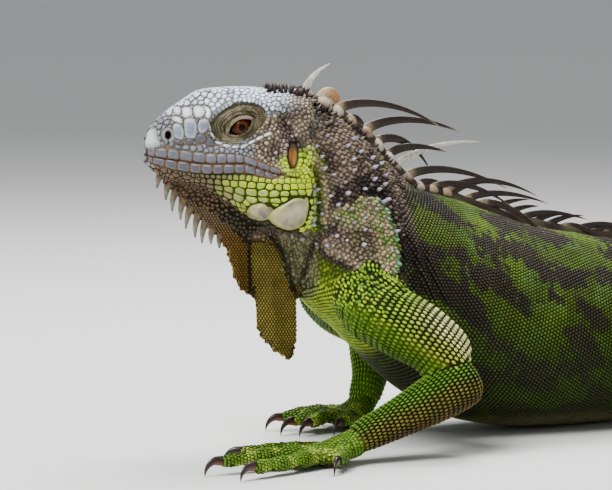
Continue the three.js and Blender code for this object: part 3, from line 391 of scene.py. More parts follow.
def tube_frames(stations, count):
    """Middles, directions and half sizes along a limb's part, from its few stations."""
    p = np.array([s[:3] for s in stations], float)
    t = np.linspace(0, 1, count)
    centre = curve(p, t)
    index = [i / (len(stations) - 1) for i in range(len(stations))]
    wide = through(*zip(index, [s[3] for s in stations]))(t)
    high = through(*zip(index, [s[4] for s in stations]))(t)
    forward = unit(np.gradient(centre, axis=0))
    across = unit(np.cross(HEAD_UP, forward))
    return {"centre": centre, "forward": forward, "across": across, "up": np.cross(forward, across),
            "wide": wide, "high": high}


def tube_rings(frames, points):
    """Oval sections of a limb's part, drawn in at both ends."""
    count = len(frames["centre"])
    t = np.linspace(0, 1, count)
    ends = 0.62 + 0.38 * np.sqrt(np.clip(np.minimum(t, 1 - t) / 0.1, 0, 1))
    angle = np.arange(points) / points * 2 * np.pi
    side = np.cos(angle) * (frames["wide"] * ends)[:, None]
    rise = np.sin(angle) * (frames["high"] * ends)[:, None]
    return (frames["centre"][:, None] + frames["across"][:, None] * side[..., None]
            + frames["up"][:, None] * rise[..., None])


def digit_frames(line, count=26):
    """A finger or toe, with a slight swelling at each knuckle."""
    root, knuckle, tip = line
    frames = tube_frames([(*root, 4.9, 4.8), (*knuckle, 4.2, 4.2), (*tip, 3.5, 3.7)], count)
    knuckles = 1 + 0.1 * np.cos(np.linspace(0, 3.2, count) * 2 * np.pi)
    frames["high"] = frames["high"] * knuckles
    frames["wide"] = frames["wide"] * knuckles
    return frames


def loft(rings):
    """Points and faces of a closed tube through rings, with a point at the middle of each end."""
    count, points = rings.shape[:2]
    verts = np.vstack([rings.reshape(-1, 3), rings[0].mean(0), rings[-1].mean(0)])
    faces = []
    for i in range(count - 1):
        for j in range(points):
            a, b = i * points + j, i * points + (j + 1) % points
            faces.append((a, b, b + points, a + points))
    first, last = count * points, count * points + 1
    for j in range(points):
        a, b = j, (j + 1) % points
        faces.append((b, a, first))
        faces.append(((count - 1) * points + a, (count - 1) * points + b, last))
    return verts, faces


def dewlap_sheet():
    """A thin hanging sheet with a rounded edge, from the chin to the neck."""
    edge = even(curve([(58, -6), *DEWLAP_EDGE, (-14, -40)], np.linspace(0, 1, 300)), 90)
    middle = edge.mean(0)
    layers = [(-0.5, 1.0), (-0.5, 0.0), (0.5, 0.0), (0.5, 1.0)]
    rings = []
    for side, inset in layers:
        ring = edge + (middle - edge) * (0.99 if inset else 0.0)
        rings.append(on_head(np.column_stack([ring[:, 0], np.full(len(ring), side * DEWLAP_THICKNESS),
                                              ring[:, 1]])))
    return loft(np.array(rings))


def flesh_parts():
    """Every closed part of the flesh, with the name of the region it gives the skin."""
    parts = [("head", loft(head_rings())), ("trunk", loft(body_rings(body_frames(), 64))),
             ("tail", loft(body_rings(tail_frames(), 36))), ("dewlap", dewlap_sheet())]
    for name, limb in LIMBS.items():
        parts.append((name + "_upper", loft(tube_rings(tube_frames(limb["upper"], 40), 36))))
        parts.append((name + "_lower", loft(tube_rings(tube_frames(limb["lower"], 44), 32))))
        parts.append((name + "_palm", loft(tube_rings(tube_frames(limb["palm"], 18), 28))))
        parts.extend((f"{name}_digit", loft(tube_rings(digit_frames(line), 16))) for line in limb["digits"])
    return parts


# ---- meshes ------------------------------------------------------------------------------------------

def placed(points):
    """Places in metres in the frame, from places in the drawing's millimetres."""
    return (np.asarray(points) + SHIFT) / MM


def in_scene(name, data):
    """A new object of the scene."""
    thing = bpy.data.objects.new(name, data)
    bpy.context.scene.collection.objects.link(thing)
    return thing


def realized(thing):
    """A plain mesh of what an object's modifiers make of it."""
    return bpy.data.meshes.new_from_object(thing.evaluated_get(bpy.context.evaluated_depsgraph_get()))


def mesh_of(name, points, faces):
    """A mesh in metres in the frame, from points in the drawing's millimetres."""
    mesh = bpy.data.meshes.new(name)
    mesh.from_pydata(placed(points).tolist(), [], [tuple(int(i) for i in f) for f in faces])
    mesh.update()
    return mesh


def add_piece(name, mesh, material, nodes=()):
    """Puts a finished mesh in the scene, riding the animal's one body."""
    piece = in_scene(name, mesh)
    mesh.materials.clear()
    mesh.materials.append(material)
    mesh.shade_smooth()
    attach(piece, "root")
    if nodes:
        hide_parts(*nodes)
    return piece


def drawn(mesh):
    """A mesh's points in the drawing's millimetres."""
    flat = np.empty(len(mesh.vertices) * 3)
    mesh.vertices.foreach_get("co", flat)
    return flat.reshape(-1, 3) * MM - SHIFT


def set_points(mesh, points):
    mesh.vertices.foreach_set("co", placed(points).ravel())
    mesh.update()


def point_normals(mesh):
    flat = np.empty(len(mesh.vertices) * 3)
    mesh.vertex_normals.foreach_get("vector", flat)
    return flat.reshape(-1, 3)


def paint(mesh, name, colours):
    """Stores one colour for each point, as linear red, green and blue."""
    layer = mesh.color_attributes.new(name, "FLOAT_COLOR", "POINT")
    layer.data.foreach_set("color", np.column_stack([colours,
                                                     np.ones(len(colours))]).astype(np.float32).ravel())


def mark(mesh, name, values):
    """Stores a number, or three numbers, for each point."""
    values = np.asarray(values, np.float32)
    kind, key = ("FLOAT", "value") if values.ndim == 1 else ("FLOAT_VECTOR", "vector")
    mesh.attributes.new(name, kind, "POINT").data.foreach_set(key, values.ravel())


def joined(parts):
    """The points and faces of several parts as one."""
    points, faces, start = [], [], 0
    for verts, polys in parts:
        points.append(verts)
        faces.extend(tuple(i + start for i in face) for face in polys)
        start += len(verts)
    return np.vstack(points), faces


def edge_pairs(mesh):
    flat = np.empty(len(mesh.edges) * 2, int)
    mesh.edges.foreach_get("vertices", flat)
    return flat.reshape(-1, 2)


def relax(points, pairs, weight, rounds, back=0.0):
    """Draws points toward the middle of their neighbours; `back` pushes out again to keep the volume."""
    count = len(points)
    degree = np.maximum(np.bincount(pairs.ravel(), minlength=count), 1)
    for turn in range(rounds):
        total = np.stack([np.bincount(pairs[:, 0], points[pairs[:, 1], k], count)
                          + np.bincount(pairs[:, 1], points[pairs[:, 0], k], count) for k in range(3)], 1)
        step = 0.5 if turn % 2 == 0 or not back else -back
        points = points + (total / degree[:, None] - points) * (weight * step)[:, None]
    return points


def tree_of(points):
    """A search tree that numbers its points."""
    tree = KDTree(len(points))
    for i, p in enumerate(points):
        tree.insert(p, i)
    tree.balance()
    return tree


def nearest_index(cloud, queries):
    """For each query the number of the cloud's point nearest to it."""
    tree = tree_of(cloud)
    return np.array([tree.find(q)[1] for q in queries])


def to_line(points, line):
    """Distance to a polyline in a plane, the share along it, and which side of it (left is positive)."""
    line = np.asarray(line, float)
    steps = np.linalg.norm(np.diff(line, axis=0), axis=1)
    starts = np.concatenate([[0], np.cumsum(steps)])
    best = np.full(len(points), 1e9)
    share, side = np.zeros(len(points)), np.zeros(len(points))
    for i, (a, b) in enumerate(zip(line[:-1], line[1:])):
        d = b - a
        t = np.clip(((points - a) @ d) / (d @ d), 0, 1)
        off = points - (a + t[:, None] * d)
        dist = np.linalg.norm(off, axis=1)
        near = dist < best
        best[near] = dist[near]
        share[near] = (starts[i] + t[near] * steps[i]) / starts[-1]
        side[near] = np.sign(d[0] * off[near, 1] - d[1] * off[near, 0])
    return best, share, side


# ---- skin --------------------------------------------------------------------------------------------

SKIN_GRID = 0.00225                # metres between the skin's points before it is smoothed
SKIN_DEPTH = 0.55                  # the skin lies this far inside the flesh, under the scales
LID_AXIS = unit(np.array([-0.866, 0.5]))
LID_ACROSS = np.array([LID_AXIS[1], -LID_AXIS[0]])
LID_MIDDLE = np.array([25.8, 14.2])
LID_HALF_LENGTH = 6.3

# Lines seen from the side, as drawing x and z.
FLAP_EDGE = [(10, 126), (18, 129), (26, 128), (31, 120), (33, 108), (33, 96), (29, 84)]
ARM_FOLDS = [[(38, 112), (40, 98), (44, 84), (50, 72)], [(46, 104), (48, 92), (54, 78), (60, 66)]]
FLAP_LOWER = [(-2, 106), (1, 101), (7, 97), (17, 90), (27, 84.5)]
# The ridge behind the ear, and the creases of the throat where shade is painted, as head-local x and z.
NECK_RIDGE = [(7.6, 28.7), (1.2, 18.9), (-4.6, 9.6), (-11.5, -2.2), (-15.7, -9.9),
              (-17.1, -19), (-16.4, -33)]
SHADED_THROAT_CREASES = [[(19.5, -39), (19.9, -52), (18.9, -66), (17.6, -75)],
                  [(10, -41), (4.5, -48), (0, -58), (-3.6, -72)],
                  [(-12, -44), (-9, -54), (-6, -66)]]


def lid_plane(local):
    """Head points as places along and across the slit of the lids, on whichever side they lie."""
    flat = local[:, [0, 2]] - LID_MIDDLE
    return flat @ LID_AXIS, flat @ LID_ACROSS


def lid_edges(along):
    """Heights of the upper and lower lid's edges over the slit's axis."""
    room = np.clip(1 - (along / LID_HALF_LENGTH) ** 2, 0, 1)
    return 3.3 * room ** 0.75, -3.5 * room ** 0.85


ORBIT_OUTLINE = [
    (41.1, 15.0), (38.6, 18.9), (34.4, 22.7), (28.8, 25.4), (22.4, 26.4), (16.8, 25.6),
    (13.8, 23.2), (13.0, 19.4),
    (14.7, 15.4), (17.8, 11.9), (21.4, 8.8), (25.9, 6.8), (31.6, 6.6), (36.2, 7.2), (39.4, 10.4),
]


def slit_outline():
    """The opening between the lids, a little inside their edges."""
    turn = np.arange(60) / 60 * 2 * np.pi
    along = np.cos(turn) * LID_HALF_LENGTH
    upper, lower = lid_edges(along * 0.985)
    across = np.where(np.sin(turn) > 0, upper, lower)
    return LID_MIDDLE + np.outer(along, LID_AXIS) + np.outer(across, LID_ACROSS)


def reach_by_angle(outline):
    """Distances from the middle of the lids to an outline, by the angle round it."""
    ring = even(outline, 360, closed=True) - LID_MIDDLE
    angle = np.arctan2(ring[:, 1], ring[:, 0])
    order = np.argsort(angle)
    return angle[order], np.linalg.norm(ring[order], axis=1)


SLIT_REACH = reach_by_angle(slit_outline())
ORBIT_REACH = reach_by_angle(curve(ORBIT_OUTLINE, np.linspace(0, 1, 400)[:-1], closed=True))


def lid_reach(angle):
    """Distances from the middle of the lids to their edges and to the socket's rim, at an angle."""
    return np.interp(angle, *SLIT_REACH, period=2 * np.pi), np.interp(angle, *ORBIT_REACH, period=2 * np.pi)


def orbit_share(local):
    """0 at the edges of the lids, 1 at the rim of the eye socket, and the height over the slit's axis."""
    flat = local[:, [0, 2]] - LID_MIDDLE
    reach = np.linalg.norm(flat, axis=1)
    inner, outer = lid_reach(np.arctan2(flat[:, 1], flat[:, 0]))
    share = np.where(np.abs(local[:, 1]) > 9, (reach - inner) / (outer - inner), 9.0)
    return share, lid_plane(local)[1]


def sculpt_head(local):
    """Moves head points to give lids, folds round the eye, the lip line, nostrils and ear rims."""
    x, y, z = local.T.copy()
    side = np.where(y >= 0, 1.0, -1.0)
    out = np.abs(y)
    along, across = lid_plane(local)
    upper, lower = lid_edges(along)
    flank = smooth_step(7, 11, out)
    share, _ = orbit_share(local)
    above = smooth_step(-1.0, 1.5, across)
    out = out + flank * (0.9 * bump(share, 1.14, 0.13) * above
                         - 1.5 * bump(share, 0.88, 0.16) * (0.4 + 0.6 * above))
    reach = EYE_RADIUS + 0.85
    from_eye = (x - EYE_PLACE[0]) ** 2 + (z - EYE_PLACE[2]) ** 2
    ball = EYE_PLACE[1] + np.sqrt(np.maximum(reach ** 2 - from_eye, 0.01))
    cover = flank * smooth_step(0.8, 0.3, share)
    lid = np.maximum(out, ball) * 0.65 + ball * 0.35
    out = out * (1 - cover) + lid * cover
    fold_above = (0.85 * bump(share, 0.27, 0.06) + 0.5 * bump(share, 0.47, 0.05)
                  + 0.4 * bump(share, 0.66, 0.05))
    fold_below = 0.55 * bump(share, 0.3, 0.07) + 0.45 * bump(share, 0.58, 0.07)
    out = out - flank * (fold_above * above + fold_below * (1 - above))
    roll = bump(across - upper, 0.7, 0.7) + bump(across - lower, -0.6, 0.6)
    out = out + 0.28 * roll * smooth_step(8, 6, np.abs(along)) * flank
    inside = (np.abs(along) < LID_HALF_LENGTH) & (across < upper) & (across > lower) & (flank > 0.5)
    ball_inner = EYE_PLACE[1] + np.sqrt(np.maximum((EYE_RADIUS - 1.6) ** 2 - from_eye, 0.0))
    out = np.where(inside, ball_inner, out)
    lip = z - LIP_HIGH(x)
    mouth = smooth_step(-6, 4, x) * smooth_step(1.5, 3.5, out + (x > 60) * 10)
    out = out + mouth * (0.45 * bump(lip, 2.4, 1.7) + 0.4 * bump(lip, -2.6, 1.7)
                         - 0.95 * bump(lip, -0.1, 0.55))
    nose = np.hypot(x - NOSTRIL_PLACE[0], (z - NOSTRIL_PLACE[2]) / 1.2)
    nose = np.where(out > 5, nose, 99)
    out = out - 3.6 * smooth_step(3.0, 2.0, nose)
    drum = np.hypot(x / 2.9, z / 7.1)
    drum = np.where(out > 15, drum, 99)
    out = out + 0.7 * bump(drum, 1.35, 0.25) - 1.6 * smooth_step(1.08, 0.85, drum)
    jowl = np.hypot((x - 4) / 17, (z + 24) / 13)
    out = out + 0.9 * smooth_step(1.1, 0.4, jowl) * (out > 10)
    pit = np.hypot((x - JOWL_PLATE["x"]) / 10.6, (z - JOWL_PLATE["z"]) / 9.8)
    out = out - 1.0 * smooth_step(1.02, 0.9, pit) * (out > 10) + 0.5 * bump(pit, 1.1, 0.08) * (out > 10)
    return np.column_stack([x, out * side, z])


def sculpt_body(points, normals, regions):
    """Folds of the neck, the flap in front of the shoulder and the creases behind the arm."""
    side_view = points[:, [0, 2]]
    lift = np.zeros(len(points))
    flank = smooth_step(10, 17, np.abs(points[:, 1]))
    on_body = regions["trunk"] | regions["arm_upper"] | regions["head"]
    near, share, side = to_line(side_view, FLAP_EDGE)
    fade = smooth_step(0, 0.12, share) * smooth_step(1.0, 0.85, share)
    lift += fade * np.where(side > 0, -1.7 * bump(near, 1.6, 1.8), 2.0 * smooth_step(9, 0, near))
    for line in ARM_FOLDS:
        near, share, _ = to_line(side_view, line)
        fade = smooth_step(0, 0.2, share) * smooth_step(1.0, 0.7, share)
        lift += fade * (-1.3 * bump(near, 0, 1.3) + 0.8 * bump(near, 3.2, 1.6))
    near, _, side = to_line(side_view, FLAP_LOWER)
    lift += 1.1 * bump(near, 0, 1.7) - 1.4 * bump(near * side, -3.0, 1.5)
    near, _, side = to_line(in_head(points)[:, [0, 2]], NECK_RIDGE)
    lift += 1.2 * bump(near, 0, 1.7) - 1.5 * bump(near * side, 2.8, 1.2)
    lift *= flank * on_body
    wrinkle = noise(points * (1, 1, 0.35), 5.0, 3) - 0.5
    throat = on_body * smooth_step(112, 90, points[:, 2]) * smooth_step(30, 5, points[:, 0])
    lift += wrinkle * 2.0 * throat
    belly = regions["trunk"] * smooth_step(60, 90, points[:, 0])
    lift += belly * (noise(points * (1.6, 1, 0.5), 16.0, 5) - 0.5) * 0.9
    return points + normals * lift[:, None]


def sculpt_dewlap(points, hanging):
    """Long soft folds that run down the hanging throat sheet."""
    local = in_head(points)
    x, z = local[:, 0], local[:, 2]
    low = smooth_step(-34, -52, z)
    sway = 1.5 * np.sin(x / 4.3 + 0.7) * low + 1.0 * np.sin(x / 2.3 - z / 21) * smooth_step(-40, -70, z)
    local[:, 1] += sway * hanging
    return on_head(local)


def region_masks(names, labels):
    """For each word of the parts' names, which points belong to a part with it."""
    has = {word: np.array([word in n for n in names])[labels] for word in
           ("head", "trunk", "tail", "dewlap", "arm", "leg", "upper", "lower", "palm",
            "digit", "left", "right")}
    has["arm_upper"] = has["arm"] & has["upper"]
    return has


def build_skin_mesh():
    """One closed skin round all the flesh, smoothed where the parts meet and sculpted on the head."""
    parts = flesh_parts()
    names = [name for name, _ in parts]
    cloud = np.vstack([part[0] for _, part in parts])
    owner = np.concatenate([np.full(len(part[0]), i) for i, (_, part) in enumerate(parts)])
    points, faces = joined([part for _, part in parts])
    rough = in_scene("rough", mesh_of("rough", points, faces))
    remesh = rough.modifiers.new("remesh", "REMESH")
    remesh.mode = "VOXEL"
    remesh.voxel_size = SKIN_GRID
    mesh = realized(rough)
    bpy.data.objects.remove(rough)
    for spread in (None, "eye", "eye"):
        subdivide_near_head(mesh, spread)
    points = drawn(mesh)
    labels = owner[nearest_index(cloud, points)]
    has = region_masks(names, labels)
    pairs = edge_pairs(mesh)
    strength = np.where(has["head"], 0.25, 1.0) * np.where(has["digit"] | has["dewlap"], 0.5, 1.0)
    smoothed = relax(points, pairs, strength, 24, back=0.52)
    blend = np.where(has["trunk"] | (has["upper"] & ~has["digit"]), 1.0, 0.0)
    points = relax(smoothed, pairs, blend, 26)
    points = snap_head(points, has["head"])
    set_points(mesh, points)
    points = sculpt_body(points, point_normals(mesh), has)
    local = in_head(points)
    reach = has["head"] & (local[:, 0] > -9)
    sculpted = sculpt_head(local)
    weight = smooth_step(-9, -4, local[:, 0])[:, None] * reach[:, None]
    points = on_head(local + (sculpted - local) * weight)
    points = sculpt_dewlap(points, has["dewlap"] * smooth_step(-40, -48, local[:, 2]))
    set_points(mesh, points)
    points = points - point_normals(mesh) * SKIN_DEPTH * ~(has["head"] & (lid_distance(local) < 9))[:, None]
    points[:, 2] = np.maximum(points[:, 2], 0.25)
    set_points(mesh, points)
    return mesh, has


def lid_distance(local):
    """Distance from the middle of the lids, far too large where a point isn't on the side of the head."""
    along, across = lid_plane(local)
    return np.hypot(along / 1.2, across) + 50 * (np.abs(local[:, 1]) < 9)


def subdivide_near_head(mesh, spread):
    """Halves the faces of the head, and again round the eyes, for the lids and folds."""
    work = bmesh.new()
    work.from_mesh(mesh)
    points = drawn(mesh)
    local = in_head(points)
    if spread is None:
        inside = (local[:, 0] > -14) & (local[:, 2] > -42)
    else:
        nose = np.hypot(local[:, 0] - NOSTRIL_PLACE[0], local[:, 2] - NOSTRIL_PLACE[2]) < 4.5
        inside = (orbit_share(local)[0] < 1.25) | nose
    edges = [e for e in work.edges if inside[e.verts[0].index] and inside[e.verts[1].index]]
    bmesh.ops.subdivide_edges(work, edges=edges, cuts=1, use_grid_fill=True)
    bmesh.ops.triangulate(work, faces=[f for f in work.faces if len(f.verts) > 4])
    work.to_mesh(mesh)
    work.free()


def snap_head(points, on_it):
    """Lays the head's points on its true outline, easing off toward the neck and throat."""
    verts, faces = loft(head_rings(90, 110))
    tree = BVHTree.FromPolygons([tuple(v) for v in verts], faces)
    local = in_head(points)
    by_sheet = (local[:, 2] < CHIN_HIGH(local[:, 0]) + 3) & (local[:, 0] < 66)
    weight = smooth_step(-6, 4, local[:, 0]) * on_it
    weight = weight * np.where(by_sheet, smooth_step(4.5, 7.5, np.abs(local[:, 1])), 1.0)
    moved = points.copy()
    for i in np.nonzero(weight > 0)[0]:
        place = tree.find_nearest(Vector(points[i]))[0]
        if place is not None and (place - Vector(points[i])).length < 4:
            moved[i] += (np.array(place) - points[i]) * weight[i]
    return moved


# ---- markings, with painted shade and highlight ------------------------------------------------------

def shade(red, green, blue):
    """A paint colour given as display values, turned to linear light."""
    c = np.array([red, green, blue]) / 255
    return np.where(c <= 0.04045, c / 12.92, ((c + 0.055) / 1.055) ** 2.4)


class Tones:
    """The animal's colours in linear light, as the panel has them."""

    def __getattr__(self, name):
        return np.array(getattr(bpy.context.scene.iguana_colours, name))


tone = Tones()
# Display values from 0 to 255, with what each colours.
TONES = {
    # pale_blue is the crown's pale tone, made paler still as painted highlight from the light above.
    "slate": ((118, 122, 134), "sides of the head"), "pale_blue": ((204, 214, 230), "top of the head"),
    "deep_slate": ((70, 74, 86), "darker plates of the head"),
    "dark_brown": ((54, 42, 36), "darkest part of the neck"),
    "earth": ((84, 66, 52), "neck"), "cream": ((206, 188, 150), "pale flecks behind the eye"),
    "lavender": ((200, 194, 216), "cone scales of the neck"), "olive": ((104, 98, 66), "eyelids and flank"),
    "leaf": ((76, 98, 22), "back"), "bright_leaf": ((112, 148, 34), "shoulder and arms"),
    "yellow_green": ((188, 208, 34), "cheek"), "moss": ((56, 76, 16), "lower flank"),
    # near_black colours the blotches, and is also the painted shadow behind the shoulder's flap and the
    # painted shade in the crease below it.
    "straw": ((208, 208, 136), "upper arm"), "near_black": ((34, 28, 26), "blotches"),
    "turquoise": ((110, 186, 132), "edge of the shoulder flap"), "umber": ((110, 100, 30), "dewlap"),
    "ochre": ((176, 132, 62), "flecks of the dewlap"), "belly": ((140, 136, 92), "belly"),
    "iris": ((80, 34, 15), "iris"), "pearl": ((160, 150, 114), "jowl shields"),
    "horn": ((46, 36, 31), "crest blades"),
    "horn_tip": ((186, 164, 128), "tips and roots of the crest blades"), "claw": ((46, 33, 28), "claws"),
}


def mix(a, b, share):
    """From colour a to colour b by a share, one for all or one for each point."""
    share = np.clip(np.asarray(share, float), 0, 1)
    return a + (b - a) * (share[:, None] if share.ndim else share)


# Where the cheek gives way to the throat: heights along the head.
jaw_border = through((2, -41), (8, -38.5), (14.6, -33.4), (23.1, -28.8), (29.5, -23.2),
                     (40, -17.8), (50.6, -13.6),
                     (60, -10.8), (70, -8))


def neck_brown(points):
    """Dark and earthy browns with olive clouds, shared by the nape and the neck."""
    m, n = noise(points, 6.5, 22), noise(points * (1, 0.6, 0.8), 16, 21)
    brown = mix(shade(62, 50, 44), shade(128, 110, 94), smooth_step(0.3, 0.72, m))
    return mix(brown, tone.olive, smooth_step(0.55, 0.8, n) * 0.6)


def head_colours(local, points):
    """The head's markings: pale crown, slate sides, flecked temple, green cheek, brown chin and throat."""
    x, out, z = local[:, 0], np.abs(local[:, 1]), local[:, 2]
    n = noise(points, 5.5, 11)
    fine = noise(points, 1.7, 12)
    # The crown's pale tone: partly its own colour, partly painted highlight from above.
    colour = mix(tone.slate, tone.pale_blue, smooth_step(16, 26, z + 6 * (n - 0.5)))
    colour = mix(colour, tone.deep_slate, 0.5 * smooth_step(0.5, 0.8, n) * smooth_step(30, 20, z))
    colour = mix(colour, tone.slate * 0.8, 0.6 * smooth_step(0.5, 0.75, noise(points, 4.2, 13))
                 * smooth_step(18, 26, z))
    temple = smooth_step(24, 15, x) * smooth_step(25, 19, z + 0.35 * (x - 6)) * smooth_step(-14, -7, z)
    flecks = mix(shade(92, 78, 60), tone.cream * 0.7, smooth_step(0.4, 0.8, fine) * 0.7)
    colour = mix(colour, flecks, temple)
    nape = smooth_step(11, -4, x + 0.3 * (z - 22) + 8 * (n - 0.5))
    colour = mix(colour, neck_brown(points), nape * smooth_step(-14, -6, z))
    lip = z - LIP_HIGH(x)
    cheek = mix(tone.yellow_green, tone.bright_leaf, 0.7 * smooth_step(0.35, 0.75, n))
    chin = mix(shade(76, 58, 36), shade(98, 80, 42), smooth_step(0.5, 0.7, fine))
    grows = smooth_step(42, 26, x + 0.4 * (z + 14))
    rear = smooth_step(-12.5, -7.5, x + 3 * (n - 0.5))
    colour = mix(colour, mix(chin, cheek, grows), smooth_step(-4.2, -6.2, lip) * rear)
    by_ear = smooth_step(3.5, -2, z + 0.4 * x) * smooth_step(10, 3, x) * rear * smooth_step(16, 19, out)
    colour = mix(colour, cheek, by_ear)
    throat = smooth_step(0.8, -0.8, z - jaw_border(x) + 1.2 * (n - 0.5))
    brown = mix(mix(shade(96, 72, 44), shade(60, 42, 26), n), shade(112, 96, 60),
                0.5 * smooth_step(0.5, 0.8, fine))
    colour = mix(colour, brown, throat)
    ring = orbit_share(local)[0]
    return mix(colour, mix(tone.olive, tone.earth, 0.6 * n), smooth_step(1.1, 0.98, ring))


def hanging_share(points):
    """1 on the loose skin in front of the chest that runs down into the dewlap, 0 behind it."""
    local = in_head(points)
    ahead = smooth_step(-1.5, 1.5, local[:, 0] - 4.5 - 0.33 * (local[:, 2] + 48))
    return ahead * smooth_step(-41, -45, local[:, 2]) * (local[:, 0] > -8)


NECK_END = 50                      # chest distance where the neck's scales give way to the trunk's


def chest_distance(points):
    """How far back from the chest a place lies, seen from ahead and to the left."""
    return 0.866 * points[:, 0] + 0.5 * np.abs(points[:, 1])


def arm_place(points):
    """Places on the near upper arm: across it toward its top, and along it from the shoulder."""
    x, z = points[:, 0] - 17, points[:, 2] - 73
    return x * 0.64 + z * 0.77, x * 0.77 - z * 0.64


def body_colours(points):
    """The trunk's markings: green, dark blotches, brown neck, the shoulder's flap, the throat's pleats;
    with painted shadow behind the flap and painted shade in the creases.
    """
    x, y, z = points.T
    n = noise(points * (1, 0.6, 0.8), 16, 21)
    m = noise(points * (1, 0.6, 0.8), 6.5, 22)
    fine = noise(points, 2.3, 24)
    slant = np.column_stack([(x * 0.89 - z * 0.45) * 0.42, y * 0.5, x * 0.45 + z * 0.89])
    column = noise(points * (1, 1, 0.22), 1.7, 26)
    blotch = noise(slant, 8.0, 23) * 0.54 + m * 0.12 + fine * 0.13 + column * 0.21
    high = smooth_step(34, 80, z)
    lively = mix(tone.leaf, tone.bright_leaf, smooth_step(0.4, 0.75, n) * (0.3 + 0.5 * fine))
    lively = mix(lively, shade(92, 136, 64), 0.4 * smooth_step(0.55, 0.8, noise(points, 9, 27)))
    green = mix(mix(tone.moss, tone.leaf, 0.35 * fine), lively * (0.95, 0.88, 0.8), high)
    dark = mix(tone.near_black * 1.3, tone.dark_brown, m)
    colour = mix(green * (0.68 + 0.38 * column)[:, None], dark,
                 smooth_step(0.47, 0.54, blotch) * (0.70 + 0.25 * high))
    colour = mix(colour, tone.belly * 0.7, smooth_step(13, 3, z) * smooth_step(40, 80, x))
    neck = smooth_step(56, 49, chest_distance(points) + 7 * (n - 0.5)) * smooth_step(82, 90, z)
    colour = mix(colour, neck_brown(points), neck)
    side_view = points[:, [0, 2]]
    flank = smooth_step(12, 18, np.abs(y))
    near, share, side = to_line(side_view, FLAP_EDGE)
    shadow = smooth_step(15, 8, near) * (side > 0) * smooth_step(1.0, 0.9, share)
    colour = mix(colour, tone.near_black * 1.2, 0.75 * shadow * flank)
    flap = smooth_step(15, 9, near) * (side <= 0) * flank
    colour = mix(colour, mix(shade(188, 168, 128), shade(112, 142, 62), smooth_step(0.4, 0.6, fine)),
                 0.65 * flap)
    edge = smooth_step(4.0, 1.0, near) * (side <= 0) * smooth_step(0.15, 0.35, share) * flank
    colour = mix(colour, mix(tone.turquoise, tone.leaf, smooth_step(0.45, 0.7, fine)), edge * 0.9)
    near, _, side = to_line(side_view, FLAP_LOWER)
    colour = mix(colour, shade(168, 146, 118), 0.75 * bump(near, 0, 1.5) * flank)
    under = (smooth_step(3.0, 5.5, -near * side) * smooth_step(40, 30, near) * (x > -12)
             * (x < 34) * (z < 104))
    colour = mix(colour, mix(shade(58, 80, 12), shade(108, 124, 24), fine), under * flank)
    # Painted shade in the crease below the fold.
    colour = mix(colour, tone.near_black, 0.8 * bump(near * side, -3.0, 1.4) * flank)
    chest = smooth_step(90, 80, z) * smooth_step(38, 26, x)
    colour = mix(colour, mix(tone.bright_leaf, tone.yellow_green * 0.8, fine), chest)
    local = in_head(points)
    flat = local[:, [0, 2]]
    rows = (smooth_step(-16, -11, local[:, 0]) * smooth_step(10, 5, local[:, 0])
            * smooth_step(-39, -43, local[:, 2]))
    rows = rows * smooth_step(-78, -70, local[:, 2])
    pleat = mix(shade(122, 122, 84), shade(74, 72, 44), noise(points * (1, 1, 0.3), 3.2, 25))
    colour = mix(colour, pleat, 0.95 * rows)
    colour = mix(colour, dewlap_colours(points), hanging_share(points))
    # Painted shade along the creases of the throat.
    for line in SHADED_THROAT_CREASES:
        colour = mix(colour, shade(20, 17, 11), 0.9 * bump(to_line(flat, line)[0], 0, 1.5) * (rows > 0))
    return colour


def fold_behind_jaw(colour, points):
    """Adds the pale ridge of the fold behind the ear, its shadow, and the green strip in front of it."""
    local = in_head(points)
    flat = local[:, [0, 2]]
    fine = noise(points, 2.3, 24)
    beside = smooth_step(12, 17, np.abs(local[:, 1]))
    streak = bump(to_line(flat, [(-9.4, -2), (-11.8, -14), (-12.6, -24), (-12.0, -33)])[0], 0, 4.6) * beside
    strip = mix(mix(tone.bright_leaf * 0.8, tone.yellow_green * 0.9, fine), tone.moss,
                smooth_step(-2, -14, local[:, 2]) * 0.4)
    colour = mix(colour, strip, 0.95 * smooth_step(0, 0.5, streak))
    near, _, side = to_line(flat, NECK_RIDGE)
    colour = mix(colour, shade(160, 140, 116), 0.88 * bump(near, 0, 1.9) * beside)
    return mix(colour, shade(34, 36, 14), 0.7 * bump(near * side, 3.3, 1.4) * beside)


def tail_colours(points, along):
    """Dark bands on green that fades to the belly's tone toward the tip."""
    n = noise(points, 9, 31)
    band = 0.5 + 0.5 * np.sin(along / 8.6 + 2.2 * (n - 0.5))
    light = mix(mix(tone.leaf, tone.olive, smooth_step(40, 200, along)), tone.belly,
                smooth_step(250, 600, along) * 0.7)
    return mix(light, mix(tone.dark_brown, tone.umber, n * 0.6), smooth_step(0.42, 0.62, band))


def inner_side(points, has):
    """1 on the smooth inner faces of the arms, 0 on their scaly outer faces."""
    y = points[:, 1]
    upper = np.where(y > 0, smooth_step(52, 42, y), smooth_step(-4, -11, arm_place(points)[0]))
    return np.where(has["arm"], np.where(has["upper"], upper, smooth_step(52, 42, np.abs(y))), 0.0)


